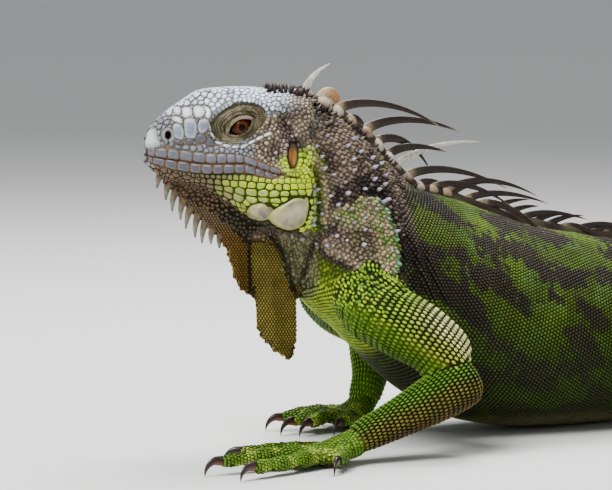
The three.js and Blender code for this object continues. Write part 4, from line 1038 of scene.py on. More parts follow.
def limb_colours(points, has):
    """Arms bright at the shoulder and pale on top, forearms tan, legs blotched, hands and feet green."""
    m, n, fine = noise(points, 5, 41), noise(points, 12, 42), noise(points, 1.9, 43)
    x, z = points[:, 0], points[:, 2]
    over, down = arm_place(points)
    along_top = smooth_step(-2, 6, over + 3 * (n - 0.5))
    pale = mix(shade(150, 160, 44), mix(tone.straw, shade(200, 200, 140),
                                        smooth_step(0.5, 0.8, n)), along_top)
    shoulder = mix(shade(96, 136, 26), shade(158, 184, 34), 0.8 * smooth_step(0.3, 0.6, fine))
    upper = mix(shoulder, pale, smooth_step(0.1, 0.5, down / 45 + 0.15 * (n - 0.5)))
    upper = mix(upper, mix(shade(64, 98, 8), shade(86, 116, 14), m), inner_side(points, has))
    above = (55 - x) * 0.39 + (z - 40) * 0.92 + 4 * (n - 0.5)
    tan = mix(shade(98, 78, 34), shade(72, 54, 24), m)
    lower = mix(tan, mix(shade(120, 112, 36), shade(82, 80, 24), m), smooth_step(-9, -2, above))
    lower = mix(lower, shade(78, 120, 18), smooth_step(2, 8, above))
    lower = np.where(has["right"][:, None], mix(shade(96, 148, 26), shade(120, 160, 40), m), lower)
    leg = mix(mix(tone.leaf, tone.yellow_green, 0.6 * m), mix(tone.dark_brown, tone.umber, m),
              smooth_step(0.48, 0.62, n))
    hand = mix(shade(88, 124, 22), shade(148, 172, 58), smooth_step(0.5, 0.8, m))
    hand = mix(hand, tone.earth, 0.7 * smooth_step(4.0, 2.4, z))
    colour = np.where(has["leg"][:, None], leg, lower)
    colour = np.where((has["arm"] & has["upper"])[:, None], upper, colour)
    return np.where((has["palm"] | has["digit"])[:, None], hand, colour)


def dewlap_colours(points):
    """The hanging throat skin: umber and ochre, browner at its front edge, with painted shade along the
    creases.
    """
    local = in_head(points)
    flat = local[:, [0, 2]]
    n, m = noise(points, 7, 51), noise(points, 2.6, 52)
    colour = mix(tone.umber, shade(96, 82, 24), n)
    colour = mix(colour, tone.ochre * 0.7, 0.22 * smooth_step(0.5, 0.85, m))
    colour = mix(colour, shade(96, 62, 18), 0.7 * smooth_step(18, 22, local[:, 0]))
    colour = mix(colour, shade(104, 86, 66), 0.8 * smooth_step(-44, -34, local[:, 2]))
    # Painted shade along the creases.
    for line in SHADED_THROAT_CREASES:
        colour = mix(colour, shade(24, 20, 10), 0.9 * bump(to_line(flat, line)[0], 0, 1.2))
    return colour


def colour_of(points, has):
    """The animal's colour at places on it, painted shade and highlight included: the same for the skin and
    for every scale.
    """
    tail_line = even(curve(TAIL_LINE, np.linspace(0, 1, 600)), 400)
    length = np.linalg.norm(np.diff(tail_line, axis=0), axis=1).sum()
    along = nearest_index(tail_line * (1, 1, 0), points * (1, 1, 0)) / 399 * length
    colour = body_colours(points)
    colour = mix(colour, tail_colours(points, along), smooth_step(225, 275, points[:, 0]) * ~(has["leg"]))
    local = in_head(points)
    on_head_share = has["head"] * smooth_step(-14, -8, local[:, 0])
    colour = mix(colour, head_colours(local, points), on_head_share)
    colour = fold_behind_jaw(colour, points)
    limbs = has["palm"] | has["digit"] | has["lower"] | has["upper"]
    colour = np.where(limbs[:, None], limb_colours(points, has), colour)
    return np.where(has["dewlap"][:, None], dewlap_colours(points), colour)


# ---- scales --------------------------------------------------------------------------------------------

# Where a scale grows: its point of the skin, which way it lies, its sizes, its place on the unwrap.
Root = namedtuple("Root", "place vertex lie length width uv")
# Plates: points, faces, rise from the skin, colours, each point's plate and its place on the plate.
Coat = namedtuple("Coat", "points faces rise colours owner patch")


FEWEST_ROUND = 8                   # fewest scales in a ring
PATCH = 0.0014                     # half size of a scale's patch on the unwrap, which is 1 across
UNWRAP_EDGE = 0.003                # patches stay this far inside the unwrap


class Skin:
    """The finished skin with what the scales need from it: its surface, directions and regions."""

    def __init__(self, mesh, has):
        self.points = drawn(mesh)
        self.normals = point_normals(mesh)
        self.has = has
        self.faces = [tuple(p.vertices) for p in mesh.polygons]
        self.tree = BVHTree.FromPolygons([tuple(p) for p in self.points], self.faces)
        self.near = tree_of(self.points)
        local = in_head(self.points)
        thin = (np.abs(local[:, 1]) < 4.5) & (local[:, 2] < -10) & (local[:, 0] > -12)
        self.apart = self.points + self.normals * (2.6 * thin)[:, None]

    def cast(self, start, direction, reach):
        """Where a line from a place first meets the skin, and the number of a point there."""
        place, _, face, _ = self.tree.ray_cast(Vector(start), Vector(direction), reach)
        return (None, None) if place is None else (np.array(place), self.faces[face][0])

    def from_side(self, x, z, sign, out=45, reach=60):
        """The place on the head's side seen straight from that side."""
        return self.cast(on_head((x, sign * out, z)), -sign * HEAD_LEFT, reach)

    def beside(self, x, z, sign):
        """The same, or the nearest place to it past the outline."""
        place, vertex = self.from_side(x, z, sign)
        if place is None:
            place, _, face, _ = self.tree.find_nearest(Vector(on_head((min(x, 72), sign * 3.0, z))))
            place, vertex = np.array(place), self.faces[face][0]
        return place, vertex


def rings_of_roots(skin, frames, along_step, around_step, keep, reach=80.0, tile=(0, 0, 1, 1)):
    """Roots in rings round a tube, each ring half a scale on from the last."""
    centre = frames["centre"]
    across = frames.get("across")
    if across is None:
        across = unit(np.cross(frames["up"], frames["forward"]))
    high = frames.get("high")
    if high is None:
        high = (frames["top"] + frames["bottom"]) / 2
    travel = np.concatenate([[0], np.cumsum(np.linalg.norm(np.diff(centre, axis=0), axis=1))])
    picks = np.arange(0, travel[-1], along_step)
    index = np.interp(picks, travel, np.arange(len(centre)))
    roots = []

    def at(rows, place):
        low = int(place)
        top = min(low + 1, len(rows) - 1)
        return rows[low] + (rows[top] - rows[low]) * (place - low)

    for row, place in enumerate(index):
        c, f, a, u = (at(rows, place) for rows in (centre, frames["forward"], across, frames["up"]))
        wide, tall = at(frames["wide"], place), at(high, place)
        girth = 2 * math.pi * math.sqrt((wide ** 2 + tall ** 2) / 2)
        count = max(FEWEST_ROUND, int(round(girth / around_step / 6)) * 6)
        for k in range(count):
            angle = (k + 0.5 * (row % 2)) / count * 2 * math.pi
            spread = math.atan2(math.sin(angle) * tall, math.cos(angle) * wide)
            direction = a * math.cos(spread) + u * math.sin(spread)
            place_on, vertex = skin.cast(c, direction, reach)
            if place_on is None or not keep[vertex]:
                continue
            uv = (tile[0] + tile[2] * picks[row] / travel[-1], tile[1] + tile[3] * (k / count))
            roots.append(Root(place_on, vertex, f, along_step, girth / count, uv))
    return roots


def cell_of(place, size):
    return tuple((place // size).astype(int))


def held_near(taken, cell, reach):
    """Everything held by a cell and those round it."""
    steps = range(-reach, reach + 1)
    for dx in steps:
        for dy in steps:
            for dz in steps:
                yield from taken.get((cell[0] + dx, cell[1] + dy, cell[2] + dz), ())


def gap_squared(p, q):
    return (q[0] - p[0]) ** 2 + (q[1] - p[1]) ** 2 + (q[2] - p[2]) ** 2


def thin_out(skin, groups, share=0.62):
    """Drops roots that crowd one placed before them, over all groups in order."""
    taken = {}
    kept = []
    for roots in groups:
        stay = []
        for root in roots:
            p = root.place + skin.apart[root.vertex] - skin.points[root.vertex]
            size = share * min(root.length, root.width)
            key = cell_of(p, 2.0)
            if all(gap_squared(p, q) >= size * size for q in held_near(taken, key, 1)):
                taken.setdefault(key, []).append(p)
                stay.append(root)
        kept.append(stay)
    return kept


def fill_gaps(skin, groups, where, size, room):
    """Small scales for places on the skin that no other root covers."""
    tree = KDTree(sum(len(g) for g in groups) + 1)
    tree.insert(Vector((1e5, 0, 0)), 0)
    for group in groups:
        for root in group:
            tree.insert(Vector(root.place + skin.apart[root.vertex] - skin.points[root.vertex]), 0)
    tree.balance()
    roots = []
    for vertex in shuffled(np.nonzero(where)[0]):
        p = skin.points[vertex]
        if tree.find(Vector(skin.apart[vertex]))[2] > room * size[vertex]:
            uv = (((p[0] + 120) % 1200) / 1200, ((p[1] + p[2] + 300) % 500) / 500)
            roots.append(Root(p, int(vertex), np.array([1.0, 0.2, 0.0]), size[vertex], size[vertex], uv))
    return thin_out(skin, [roots], 0.8)[0]


def scale_shape(kind):
    """A closed scale of a few faces: x runs along its length, z is its height. Rise is 0 at the root."""
    sides = 5 if kind == "plain" else 6
    turns = np.arange(sides) / sides * 2 * np.pi + (np.pi / 6 if kind == "bead" else 0)
    c, s, one = np.cos(turns), np.sin(turns), np.ones(sides)
    foot = np.column_stack([c, s, -0.45 * one])
    if kind == "keel":
        body, peak = np.column_stack([c * 0.84, s * 0.74, 0.35 + 0.35 * c]), (0.62, 0, 1.15)
    elif kind == "cone":
        body, peak = np.column_stack([c * 0.55 + 0.18, s * 0.5, 0.55 * one]), (0.62, 0, 1.25)
    elif kind == "bead":
        body, peak = np.column_stack([c * 0.80, s * 0.80, 0.58 * one]), (0.12, 0, 1.0)
    else:
        body, peak = np.column_stack([c * 0.80, s * 0.76, 0.5 + 0.08 * c]), (0.2, 0, 0.92)
    points = np.vstack([foot, body, [peak]])
    faces = [tuple(reversed(range(sides)))]
    for i in range(sides):
        j = (i + 1) % sides
        faces += [(i, j, j + sides, i + sides), (i + sides, j + sides, 2 * sides)]
    mesh = bpy.data.meshes.new("scale_" + kind)
    mesh.from_pydata(points.tolist(), [], faces)
    mark(mesh, "rise", np.repeat((0.0, 0.82, 1.0), (sides, sides, 1)))
    return mesh, points


def scale_tree(name, material):
    """Sets a scale on every root, turned and sized by what the root carries, then makes it real."""
    tree = bpy.data.node_groups.new(name, "GeometryNodeTree")
    tree.interface.new_socket("Roots", in_out="INPUT", socket_type="NodeSocketGeometry")
    shape = tree.interface.new_socket("Scale Shape", in_out="INPUT", socket_type="NodeSocketObject")
    height = tree.interface.new_socket("Height Factor", in_out="INPUT", socket_type="NodeSocketFloat")
    tree.interface.new_socket("Scales", in_out="OUTPUT", socket_type="NodeSocketGeometry")
    node = tree.nodes.new
    source, target = node("NodeGroupInput"), node("NodeGroupOutput")
    info, place = node("GeometryNodeObjectInfo"), node("GeometryNodeInstanceOnPoints")
    turn, size = node("GeometryNodeInputNamedAttribute"), node("GeometryNodeInputNamedAttribute")
    turn.data_type = size.data_type = "FLOAT_VECTOR"
    turn.inputs["Name"].default_value, size.inputs["Name"].default_value = "turn", "size"
    spin, factor = node("FunctionNodeEulerToRotation"), node("ShaderNodeCombineXYZ")
    factor.inputs["X"].default_value = factor.inputs["Y"].default_value = 1.0
    sized = node("ShaderNodeVectorMath")
    sized.operation = "MULTIPLY"
    real, paint_on = node("GeometryNodeRealizeInstances"), node("GeometryNodeSetMaterial")
    paint_on.inputs["Material"].default_value = material
    link = tree.links.new
    link(source.outputs["Roots"], place.inputs["Points"])
    link(source.outputs["Scale Shape"], info.inputs["Object"])
    link(info.outputs["Geometry"], place.inputs["Instance"])
    link(turn.outputs["Attribute"], spin.inputs[0])
    link(spin.outputs[0], place.inputs["Rotation"])
    link(source.outputs["Height Factor"], factor.inputs["Z"])
    link(size.outputs["Attribute"], sized.inputs[0])
    link(factor.outputs[0], sized.inputs[1])
    link(sized.outputs[0], place.inputs["Scale"])
    link(place.outputs[0], real.inputs[0])
    link(real.outputs[0], paint_on.inputs["Geometry"])
    link(paint_on.outputs[0], target.inputs["Scales"])
    return tree, shape.identifier, height.identifier


def euler_of(ahead, aside, up):
    """Turns in X, Y, Z order of frames given by their three axes."""
    return np.column_stack([np.arctan2(aside[:, 2], up[:, 2]), -np.arcsin(np.clip(ahead[:, 2], -1, 1)),
                            np.arctan2(ahead[:, 1], ahead[:, 0])])


def scales_on(skin, name, roots, kind, height, material, long, wide, tint=None, tilt=0.0):
    """One piece of scales from a list of roots; long and wide are shares of a root's sizes."""
    place, vertex, lie, length, width, uv = (np.array(values) for values in zip(*roots))
    up = skin.normals[vertex]
    ahead = unit(lie - up * (lie * up).sum(1)[:, None])
    if tilt:
        c, s = math.cos(tilt), math.sin(tilt)
        ahead, up = unit(ahead * c + up * s), unit(up * c - ahead * s)
    aside = np.cross(up, ahead)
    wobble = 1 + 0.14 * (chances(len(place), 7.13, 917.3) - 0.5)
    size = np.column_stack([length * long, width * wide, np.full(len(place), height) * wobble]) / MM
    cloud = bpy.data.meshes.new(name + "_roots")
    cloud.from_pydata(placed(place).tolist(), [], [])
    mark(cloud, "turn", euler_of(ahead, aside, up))
    mark(cloud, "size", size)
    has = {key: mask[vertex] for key, mask in skin.has.items()}
    colours = (tint or colour_of)(place, has) * (0.86 + 0.28 * chances(len(place), 3.7, 1371.7))[:, None]
    paint(cloud, "tint", np.clip(colours, 0, 1))
    shape_mesh, shape_points = scale_shape(kind)
    shape, carrier = in_scene(name + "_shape", shape_mesh), in_scene(name + "_roots", cloud)
    tree, shape_input, height_input = scale_tree(name + "_setting", material)
    setting = carrier.modifiers.new("setting", "NODES")
    setting.node_group = tree
    setting[shape_input] = shape
    setting[height_input] = 1.0
    mesh = realized(carrier)
    carrier.modifiers.clear()
    for thing in (carrier, shape):
        bpy.data.objects.remove(thing)
    mesh.name = name
    each = len(shape_points)
    index = np.arange(len(mesh.vertices))
    uv = np.clip(uv, UNWRAP_EDGE, 1 - UNWRAP_EDGE)
    lay_patches(mesh, uv[index // each] + shape_points[index % each, :2] * PATCH)
    return add_piece(name, mesh, material)


def lay_patches(mesh, uv):
    """Stores each point's place on the unwrapped skin, where every scale is one small patch."""
    loops = np.empty(len(mesh.loops), int)
    mesh.loops.foreach_get("vertex_index", loops)
    layer = mesh.uv_layers.get("OFBake") or mesh.uv_layers.new(name="OFBake")
    layer.data.foreach_set("uv", uv[loops].astype(np.float32).ravel())


# ---- plates of the head ----------------------------------------------------------------------------

def clip_half(polygon, normal, limit):
    """The part of a convex polygon where the distance along a normal is under a limit."""
    out = []
    for i, p in enumerate(polygon):
        q = polygon[(i + 1) % len(polygon)]
        dp, dq = p[0] * normal[0] + p[1] * normal[1] - limit, q[0] * normal[0] + q[1] * normal[1] - limit
        if dp <= 0:
            out.append(p)
        if (dp < 0 < dq) or (dq < 0 < dp):
            t = dp / (dp - dq)
            out.append((p[0] + t * (q[0] - p[0]), p[1] + t * (q[1] - p[1])))
    return out


NO_PLATE = 99.0                    # a seam so wide that the site gives room to its neighbours and no plate


def cells_round(sites, radii, normals, stretch):
    """For each site the polygon nearest to it on its own tangent plane, with that plane's two axes."""
    tree = tree_of(sites)
    cells = []
    for i, p in enumerate(sites):
        up = normals[i]
        first = unit(np.cross(up, (0.13, 0.21, 0.97)))
        second = np.cross(up, first)
        r = radii[i] * 1.5
        polygon = [(r * math.cos(a), r * math.sin(a)) for a in np.arange(10) / 10 * 2 * math.pi]
        lie = np.array([HEAD_FORWARD @ first, HEAD_FORWARD @ second])
        pull = np.eye(2) + (stretch[i] ** -2 - 1) * np.outer(lie, lie) / max(lie @ lie, 1e-9)
        for _, j, gap in tree.find_range(Vector(p), r * 2.6):
            if j == i or gap < 1e-6 or normals[i] @ normals[j] < -0.25:
                continue
            d = sites[j] - p
            flat = np.array([d @ first, d @ second])
            if flat @ flat < 1e-8:
                continue
            flat *= gap / math.sqrt(flat @ flat)
            facing = pull @ flat
            length = math.hypot(*facing)
            limit = (flat @ facing) / length * radii[i] / (radii[i] + radii[j])
            polygon = clip_half(polygon, facing / length, limit)
            if len(polygon) < 3:
                break
        cells.append((polygon, first, second))
    return cells


def rounded(polygon):
    """Cuts the corners of a polygon once."""
    out = []
    for i, p in enumerate(polygon):
        q = polygon[(i + 1) % len(polygon)]
        out.append((p[0] * 0.75 + q[0] * 0.25, p[1] * 0.75 + q[1] * 0.25))
        out.append((p[0] * 0.25 + q[0] * 0.75, p[1] * 0.25 + q[1] * 0.75))
    return out


def plates(skin, sites, radii, vertices, heights, rims, middles, seams, stretch):
    """Domed plates, one to a cell, following the skin, as a coat."""
    cells = cells_round(sites, radii, skin.normals[vertices], stretch)
    points, faces, rise, colours, owner, patch = [], [], [], [], [], []
    for i, (polygon, first, second) in enumerate(cells):
        if len(polygon) < 3:
            continue
        big = radii[i] > 1.9
        ring = np.array(rounded(polygon) if radii[i] > 1.5 else polygon)
        middle = ring.mean(0)
        reach = np.linalg.norm(ring - middle, axis=1)
        if reach.min() < 0.12:
            continue
        keep = np.maximum(0.3, 1 - seams[i] / reach)[:, None]
        up, start, count = skin.normals[vertices[i]], len(points), len(ring)
        high = heights[i]
        layers = [(1.0, -0.35, 0.0), (0.95, high * 0.55, 0.55), (0.78, high * 0.94, 0.9)]
        for share, lift, level in layers:
            flat = middle + (ring - middle) * keep * share
            for a, b in flat:
                place = sites[i] + first * a + second * b
                if big:
                    on = skin.tree.find_nearest(Vector(place))[0]
                    place = np.array(on) if on is not None else place
                points.append(place + up * lift)
                rise.append(level)
                colours.append(rims[i] if level < 0.9 else rims[i] * 0.45 + middles[i] * 0.55)
                owner.append(i)
                patch.append((a, b))
        top = sites[i] + first * middle[0] + second * middle[1]
        if big:
            on = skin.tree.find_nearest(Vector(top))[0]
            top = np.array(on) if on is not None else top
        points.append(top + up * high)
        rise.append(1.0)
        colours.append(middles[i])
        owner.append(i)
        patch.append(tuple(middle))
        faces.append(tuple(start + k for k in reversed(range(count))))
        for layer in range(2):
            for k in range(count):
                a, b = start + layer * count + k, start + layer * count + (k + 1) % count
                faces.append((a, b, b + count, a + count))
        for k in range(count):
            faces.append((start + 2 * count + k, start + 2 * count + (k + 1) % count, start + 3 * count))
    return Coat(np.array(points), faces, *map(np.array, (rise, colours, owner, patch)))


# Plates of the side of the muzzle drawn one by one, by their corners' x and z.
OUTLINED_PLATES = [
    ("loreal", [(59.2, 14.5), (58.0, 15.9), (54.7, 15.1), (53.5, 11.5), (53.9, 7.5),
                (57.7, 8.2), (58.9, 11.2)]),
    ("loreal", [(53.3, 13.3), (53.5, 17.5), (50.8, 18.6), (47.8, 18.0), (47.1, 13.3),
                (47.8, 8.6), (50.3, 8.2), (53.0, 9.1)]),
    ("loreal", [(46.7, 16.8), (43.7, 18.6), (40.9, 17.2), (41.5, 14.0), (43.2, 11.3), (46.3, 10.9)]),
    ("slate", [(48.1, 8.6), (47.0, 10.5), (43.7, 10.7), (42.0, 8.5), (43.7, 6.1), (47.0, 6.0)]),
    ("slate", [(52.9, 8.1), (48.5, 7.8), (48.1, 5.6), (52.5, 5.4)]),
    ("slate", [(58.3, 7.4), (53.9, 6.8), (53.6, 5.1), (57.7, 5.6)]),
    ("slate", [(41.6, 9.1), (39.2, 7.7), (37.9, 4.9), (41.5, 4.7), (43.2, 5.8)]),
    ("pale", [(59.0, 19.6), (54.4, 18.6), (53.9, 15.9), (54.9, 15.4), (58.0, 16.4), (59.7, 17.5)]),
    ("white", [(54.0, 23.7), (49.8, 23.8), (48.9, 20.3), (50.5, 18.9), (53.6, 18.3), (54.4, 20.3)]),
    ("white", [(48.8, 24.4), (45.0, 24.6), (42.4, 22.3), (43.6, 19.4), (47.1, 18.3), (48.5, 20.0)]),
    ("white", [(44.6, 24.8), (40.8, 23.7), (39.8, 21.1), (40.9, 18.0), (43.2, 18.9), (42.0, 22.3)]),
    ("pale", [(58.4, 23.8), (54.4, 23.8), (54.9, 19.4), (58.4, 20.1)]),
    ("pale", [(62.3, 21.7), (58.8, 23.4), (59.1, 19.7), (61.8, 18.9)]),
    ("tip", [(75.3, 9.1), (74.5, 13.3), (71.2, 14.0), (67.2, 13.4), (66.4, 8.6),
             (64.4, 4.6), (70.4, 2.8), (75.0, 3.3)]),
    ("tip", [(74.5, 15.4), (71.1, 17.8), (67.7, 16.9), (66.4, 15.0), (67.0, 14.0),
             (71.2, 14.5), (74.2, 13.7)]),
]
# Seams between the plates of the lips, and the rows of plates on the cheek.
UPPER_SEAMS = [71.2, 67.9, 61.9, 55.9, 49.4, 43.1, 37.6, 32.6, 28.4, 24.2, 17.6, 11.4, 6.0]
LOWER_SEAMS = [71.0, 69.0, 63.0, 57.0, 50.8, 45.0, 39.6, 34.4, 28.8, 23.8, 18.5, 13.9, 9.5]
upper_lip_height = through((5, 2.2), (17, 2.9), (24, 3.7), (35, 4.6), (60, 4.9), (72, 3.8))
lower_lip_height = through((9, 2.4), (18, 3.5), (28, 4.4), (45, 4.6), (58, 4.4), (64, 3.6), (71, 2.4))
# Each row of the cheek: its height along the head, the step between plates, half size, first and last x.
CHEEK_ROWS = [
    (through((-8, -12.4), (8, -12.6), (20, -11.6), (34, -10.7), (50, -9.7), (62, -8.0)), 3.3, 1.5, -10, 58),
    (through((-8, -15.0), (8, -15.5), (22, -14.4), (34, -13.7), (52, -12.4)), 4.5, 1.95, -10, 50),
    (through((-8, -17.8), (6, -18.9), (20, -18.3), (30, -17.4), (42, -15.6)), 5.5, 2.3, -8, 42),
    (through((4, -22.4), (14, -22.4), (22, -22.0), (36, -18.9)), 6.0, 2.6, 6, 35),
    (through((24, -25.8), (33, -22.3)), 5.0, 2.2, 24, 33),
]
CHIN_PLATES = [(66.8, -5.3, 1.9), (62.6, -7.6, 2.2), (57.2, -9.6, 2.4), (52.0, -11.2, 2.0),
               (66.4, -8.6, 1.8)]
# The keeled scales under the eye run along this line, x and z.
UNDER_EYE = [(40.9, 13.4), (39.1, 8.8), (35.6, 5.7), (30.6, 4.7), (25.0, 4.6), (20.0, 6.9),
             (13.7, 10.0), (8.4, 12.5)]
DRUM_HALF = (2.6, 6.8)             # half sizes of an eardrum
NOSTRIL_RIM = 3.7                  # outer half size of the raised rim round each nostril
SHIELD_OUTLINE = [
    (-6.9, -20.7), (-0.9, -20.7), (4.8, -23.7), (11.1, -28.1), (12.9, -30.2), (11.1, -33.0), (6.9, -36.0),
    (1.9, -37.6), (-2.4, -36.8), (-5.6, -34.4), (-7.2, -28.8),
]
FRONT_SHIELD_OUTLINE = [
    (22.2, -28.3), (20.0, -24.8), (14.0, -23.8), (9.6, -25.4), (9.0, -28.3), (12.0, -31.8), (17.0, -33.2),
    (21.0, -31.8),
]


def outlined_plates():
    """The muzzle's drawn plates and the lips' rows, as a kind and corners each."""
    plates_of = list(OUTLINED_PLATES)
    for seams, height, start, way, kind in ((UPPER_SEAMS, upper_lip_height, 0.24, 1, "upper_lip"),
                                            (LOWER_SEAMS, lower_lip_height, 0.34, -1, "lower_lip")):
        for front, back in zip(seams[:-1], seams[1:]):
            low, mid, high = [], (front + back) / 2, []
            for x in (front, mid, back):
                low.append((x, float(LIP_HIGH(x)) + way * start))
                high.append((x, float(LIP_HIGH(x)) + way * (start
                                                            + float(height(x))
                                                            * (1.04 if x == mid else 1.0))))
            plates_of.append((kind, low + high[::-1]))
    return plates_of


def within(points, outline):
    """Which points of a plane lie inside a closed outline."""
    inside = np.zeros(len(points), bool)
    for (ax, az), (bx, bz) in zip(outline, np.roll(outline, -1, axis=0)):
        if az == bz:
            continue
        crosses = (az > points[:, 1]) != (bz > points[:, 1])
        inside ^= crosses & (points[:, 0] < ax + (points[:, 1] - az) * (bx - ax) / (bz - az))
    return inside


def past_nape(points):
    """Above 0 in front of the wavy edge where the head's plates give way to the neck's scales."""
    return in_head(points)[:, 0] + 12.5 + 7 * (noise(points, 8, 15) - 0.5)


def shaped_plates(skin):
    """Domed plates with drawn corners on both sides of the muzzle, as a coat, with the place of each."""
    points, faces, rise, colours, owner, patch, roots = [], [], [], [], [], [], []
    for number, (kind, outline) in enumerate(outlined_plates()):
        lip = kind.endswith("lip")
        gap = 0.08 if lip else 0.1
        swell = 1.0 if lip else 1.09
        centre = np.mean(outline, axis=0)
        flat = np.array(rounded([tuple(centre + (np.array(p) - centre) * swell) for p in outline]))
        middle = flat.mean(0)
        reach = np.linalg.norm(flat - middle, axis=1)[:, None]
        rim, top = PLATE_PAINT[kind]
        rim, top = shade(*rim), shade(*top) * (0.85 + 0.3 * scatter(number + 5))
        high = {"tip": 0.7, "loreal": 0.75, "white": 0.9, "pale": 0.8}.get(kind, 0.6)
        for sign in (1, -1):
            start, count = len(points), len(flat)
            layers = [(1.0, -0.4, 0.0), (0.97, high * 0.4, 0.5), (0.82, high * 0.8, 0.88),
                      (0.45, high * 1.1, 1.0)]
            for share, lift, level in layers:
                for x, z in middle + (flat - middle) * share * (1 - gap / reach):
                    place, vertex = skin.beside(x, z, sign)
                    points.append(place + skin.normals[vertex] * lift)
                    rise.append(level)
                    colours.append(rim if level < 0.9 else mix(rim, top, 0.6 if level < 1 else 1.0))
                    owner.append(len(roots))
                    patch.append((x - middle[0], z - middle[1]))
            place, vertex = skin.beside(*middle, sign)
            points.append(place + skin.normals[vertex] * high * 1.2)
            rise.append(1.0)
            colours.append(top)
            owner.append(len(roots))
            patch.append((0.0, 0.0))
            roots.append(place)
            faces.append(tuple(start + k for k in range(count)))
            for layer in range(3):
                for k in range(count):
                    a, b = start + layer * count + k, start + layer * count + (k + 1) % count
                    faces.append((b, a, a + count, b + count))
            for k in range(count):
                faces.append((start + 3 * count + (k + 1) % count, start + 3 * count + k,
                              start + 4 * count))
    return Coat(np.array(points), faces, *map(np.array, (rise, colours, owner, patch))), roots


# Display values of the rim and the middle of each kind of drawn plate.
PLATE_PAINT = {
    "loreal": ((160, 164, 170), (114, 124, 142)), "slate": ((92, 86, 84), (76, 76, 86)),
    "pale": ((156, 156, 152), (186, 192, 198)), "white": ((188, 190, 190), (224, 230, 236)),
    "tip": ((140, 150, 146), (174, 184, 180)), "upper_lip": ((108, 104, 104), (90, 92, 106)),
    "lower_lip": ((104, 94, 86), (76, 78, 92)),
}


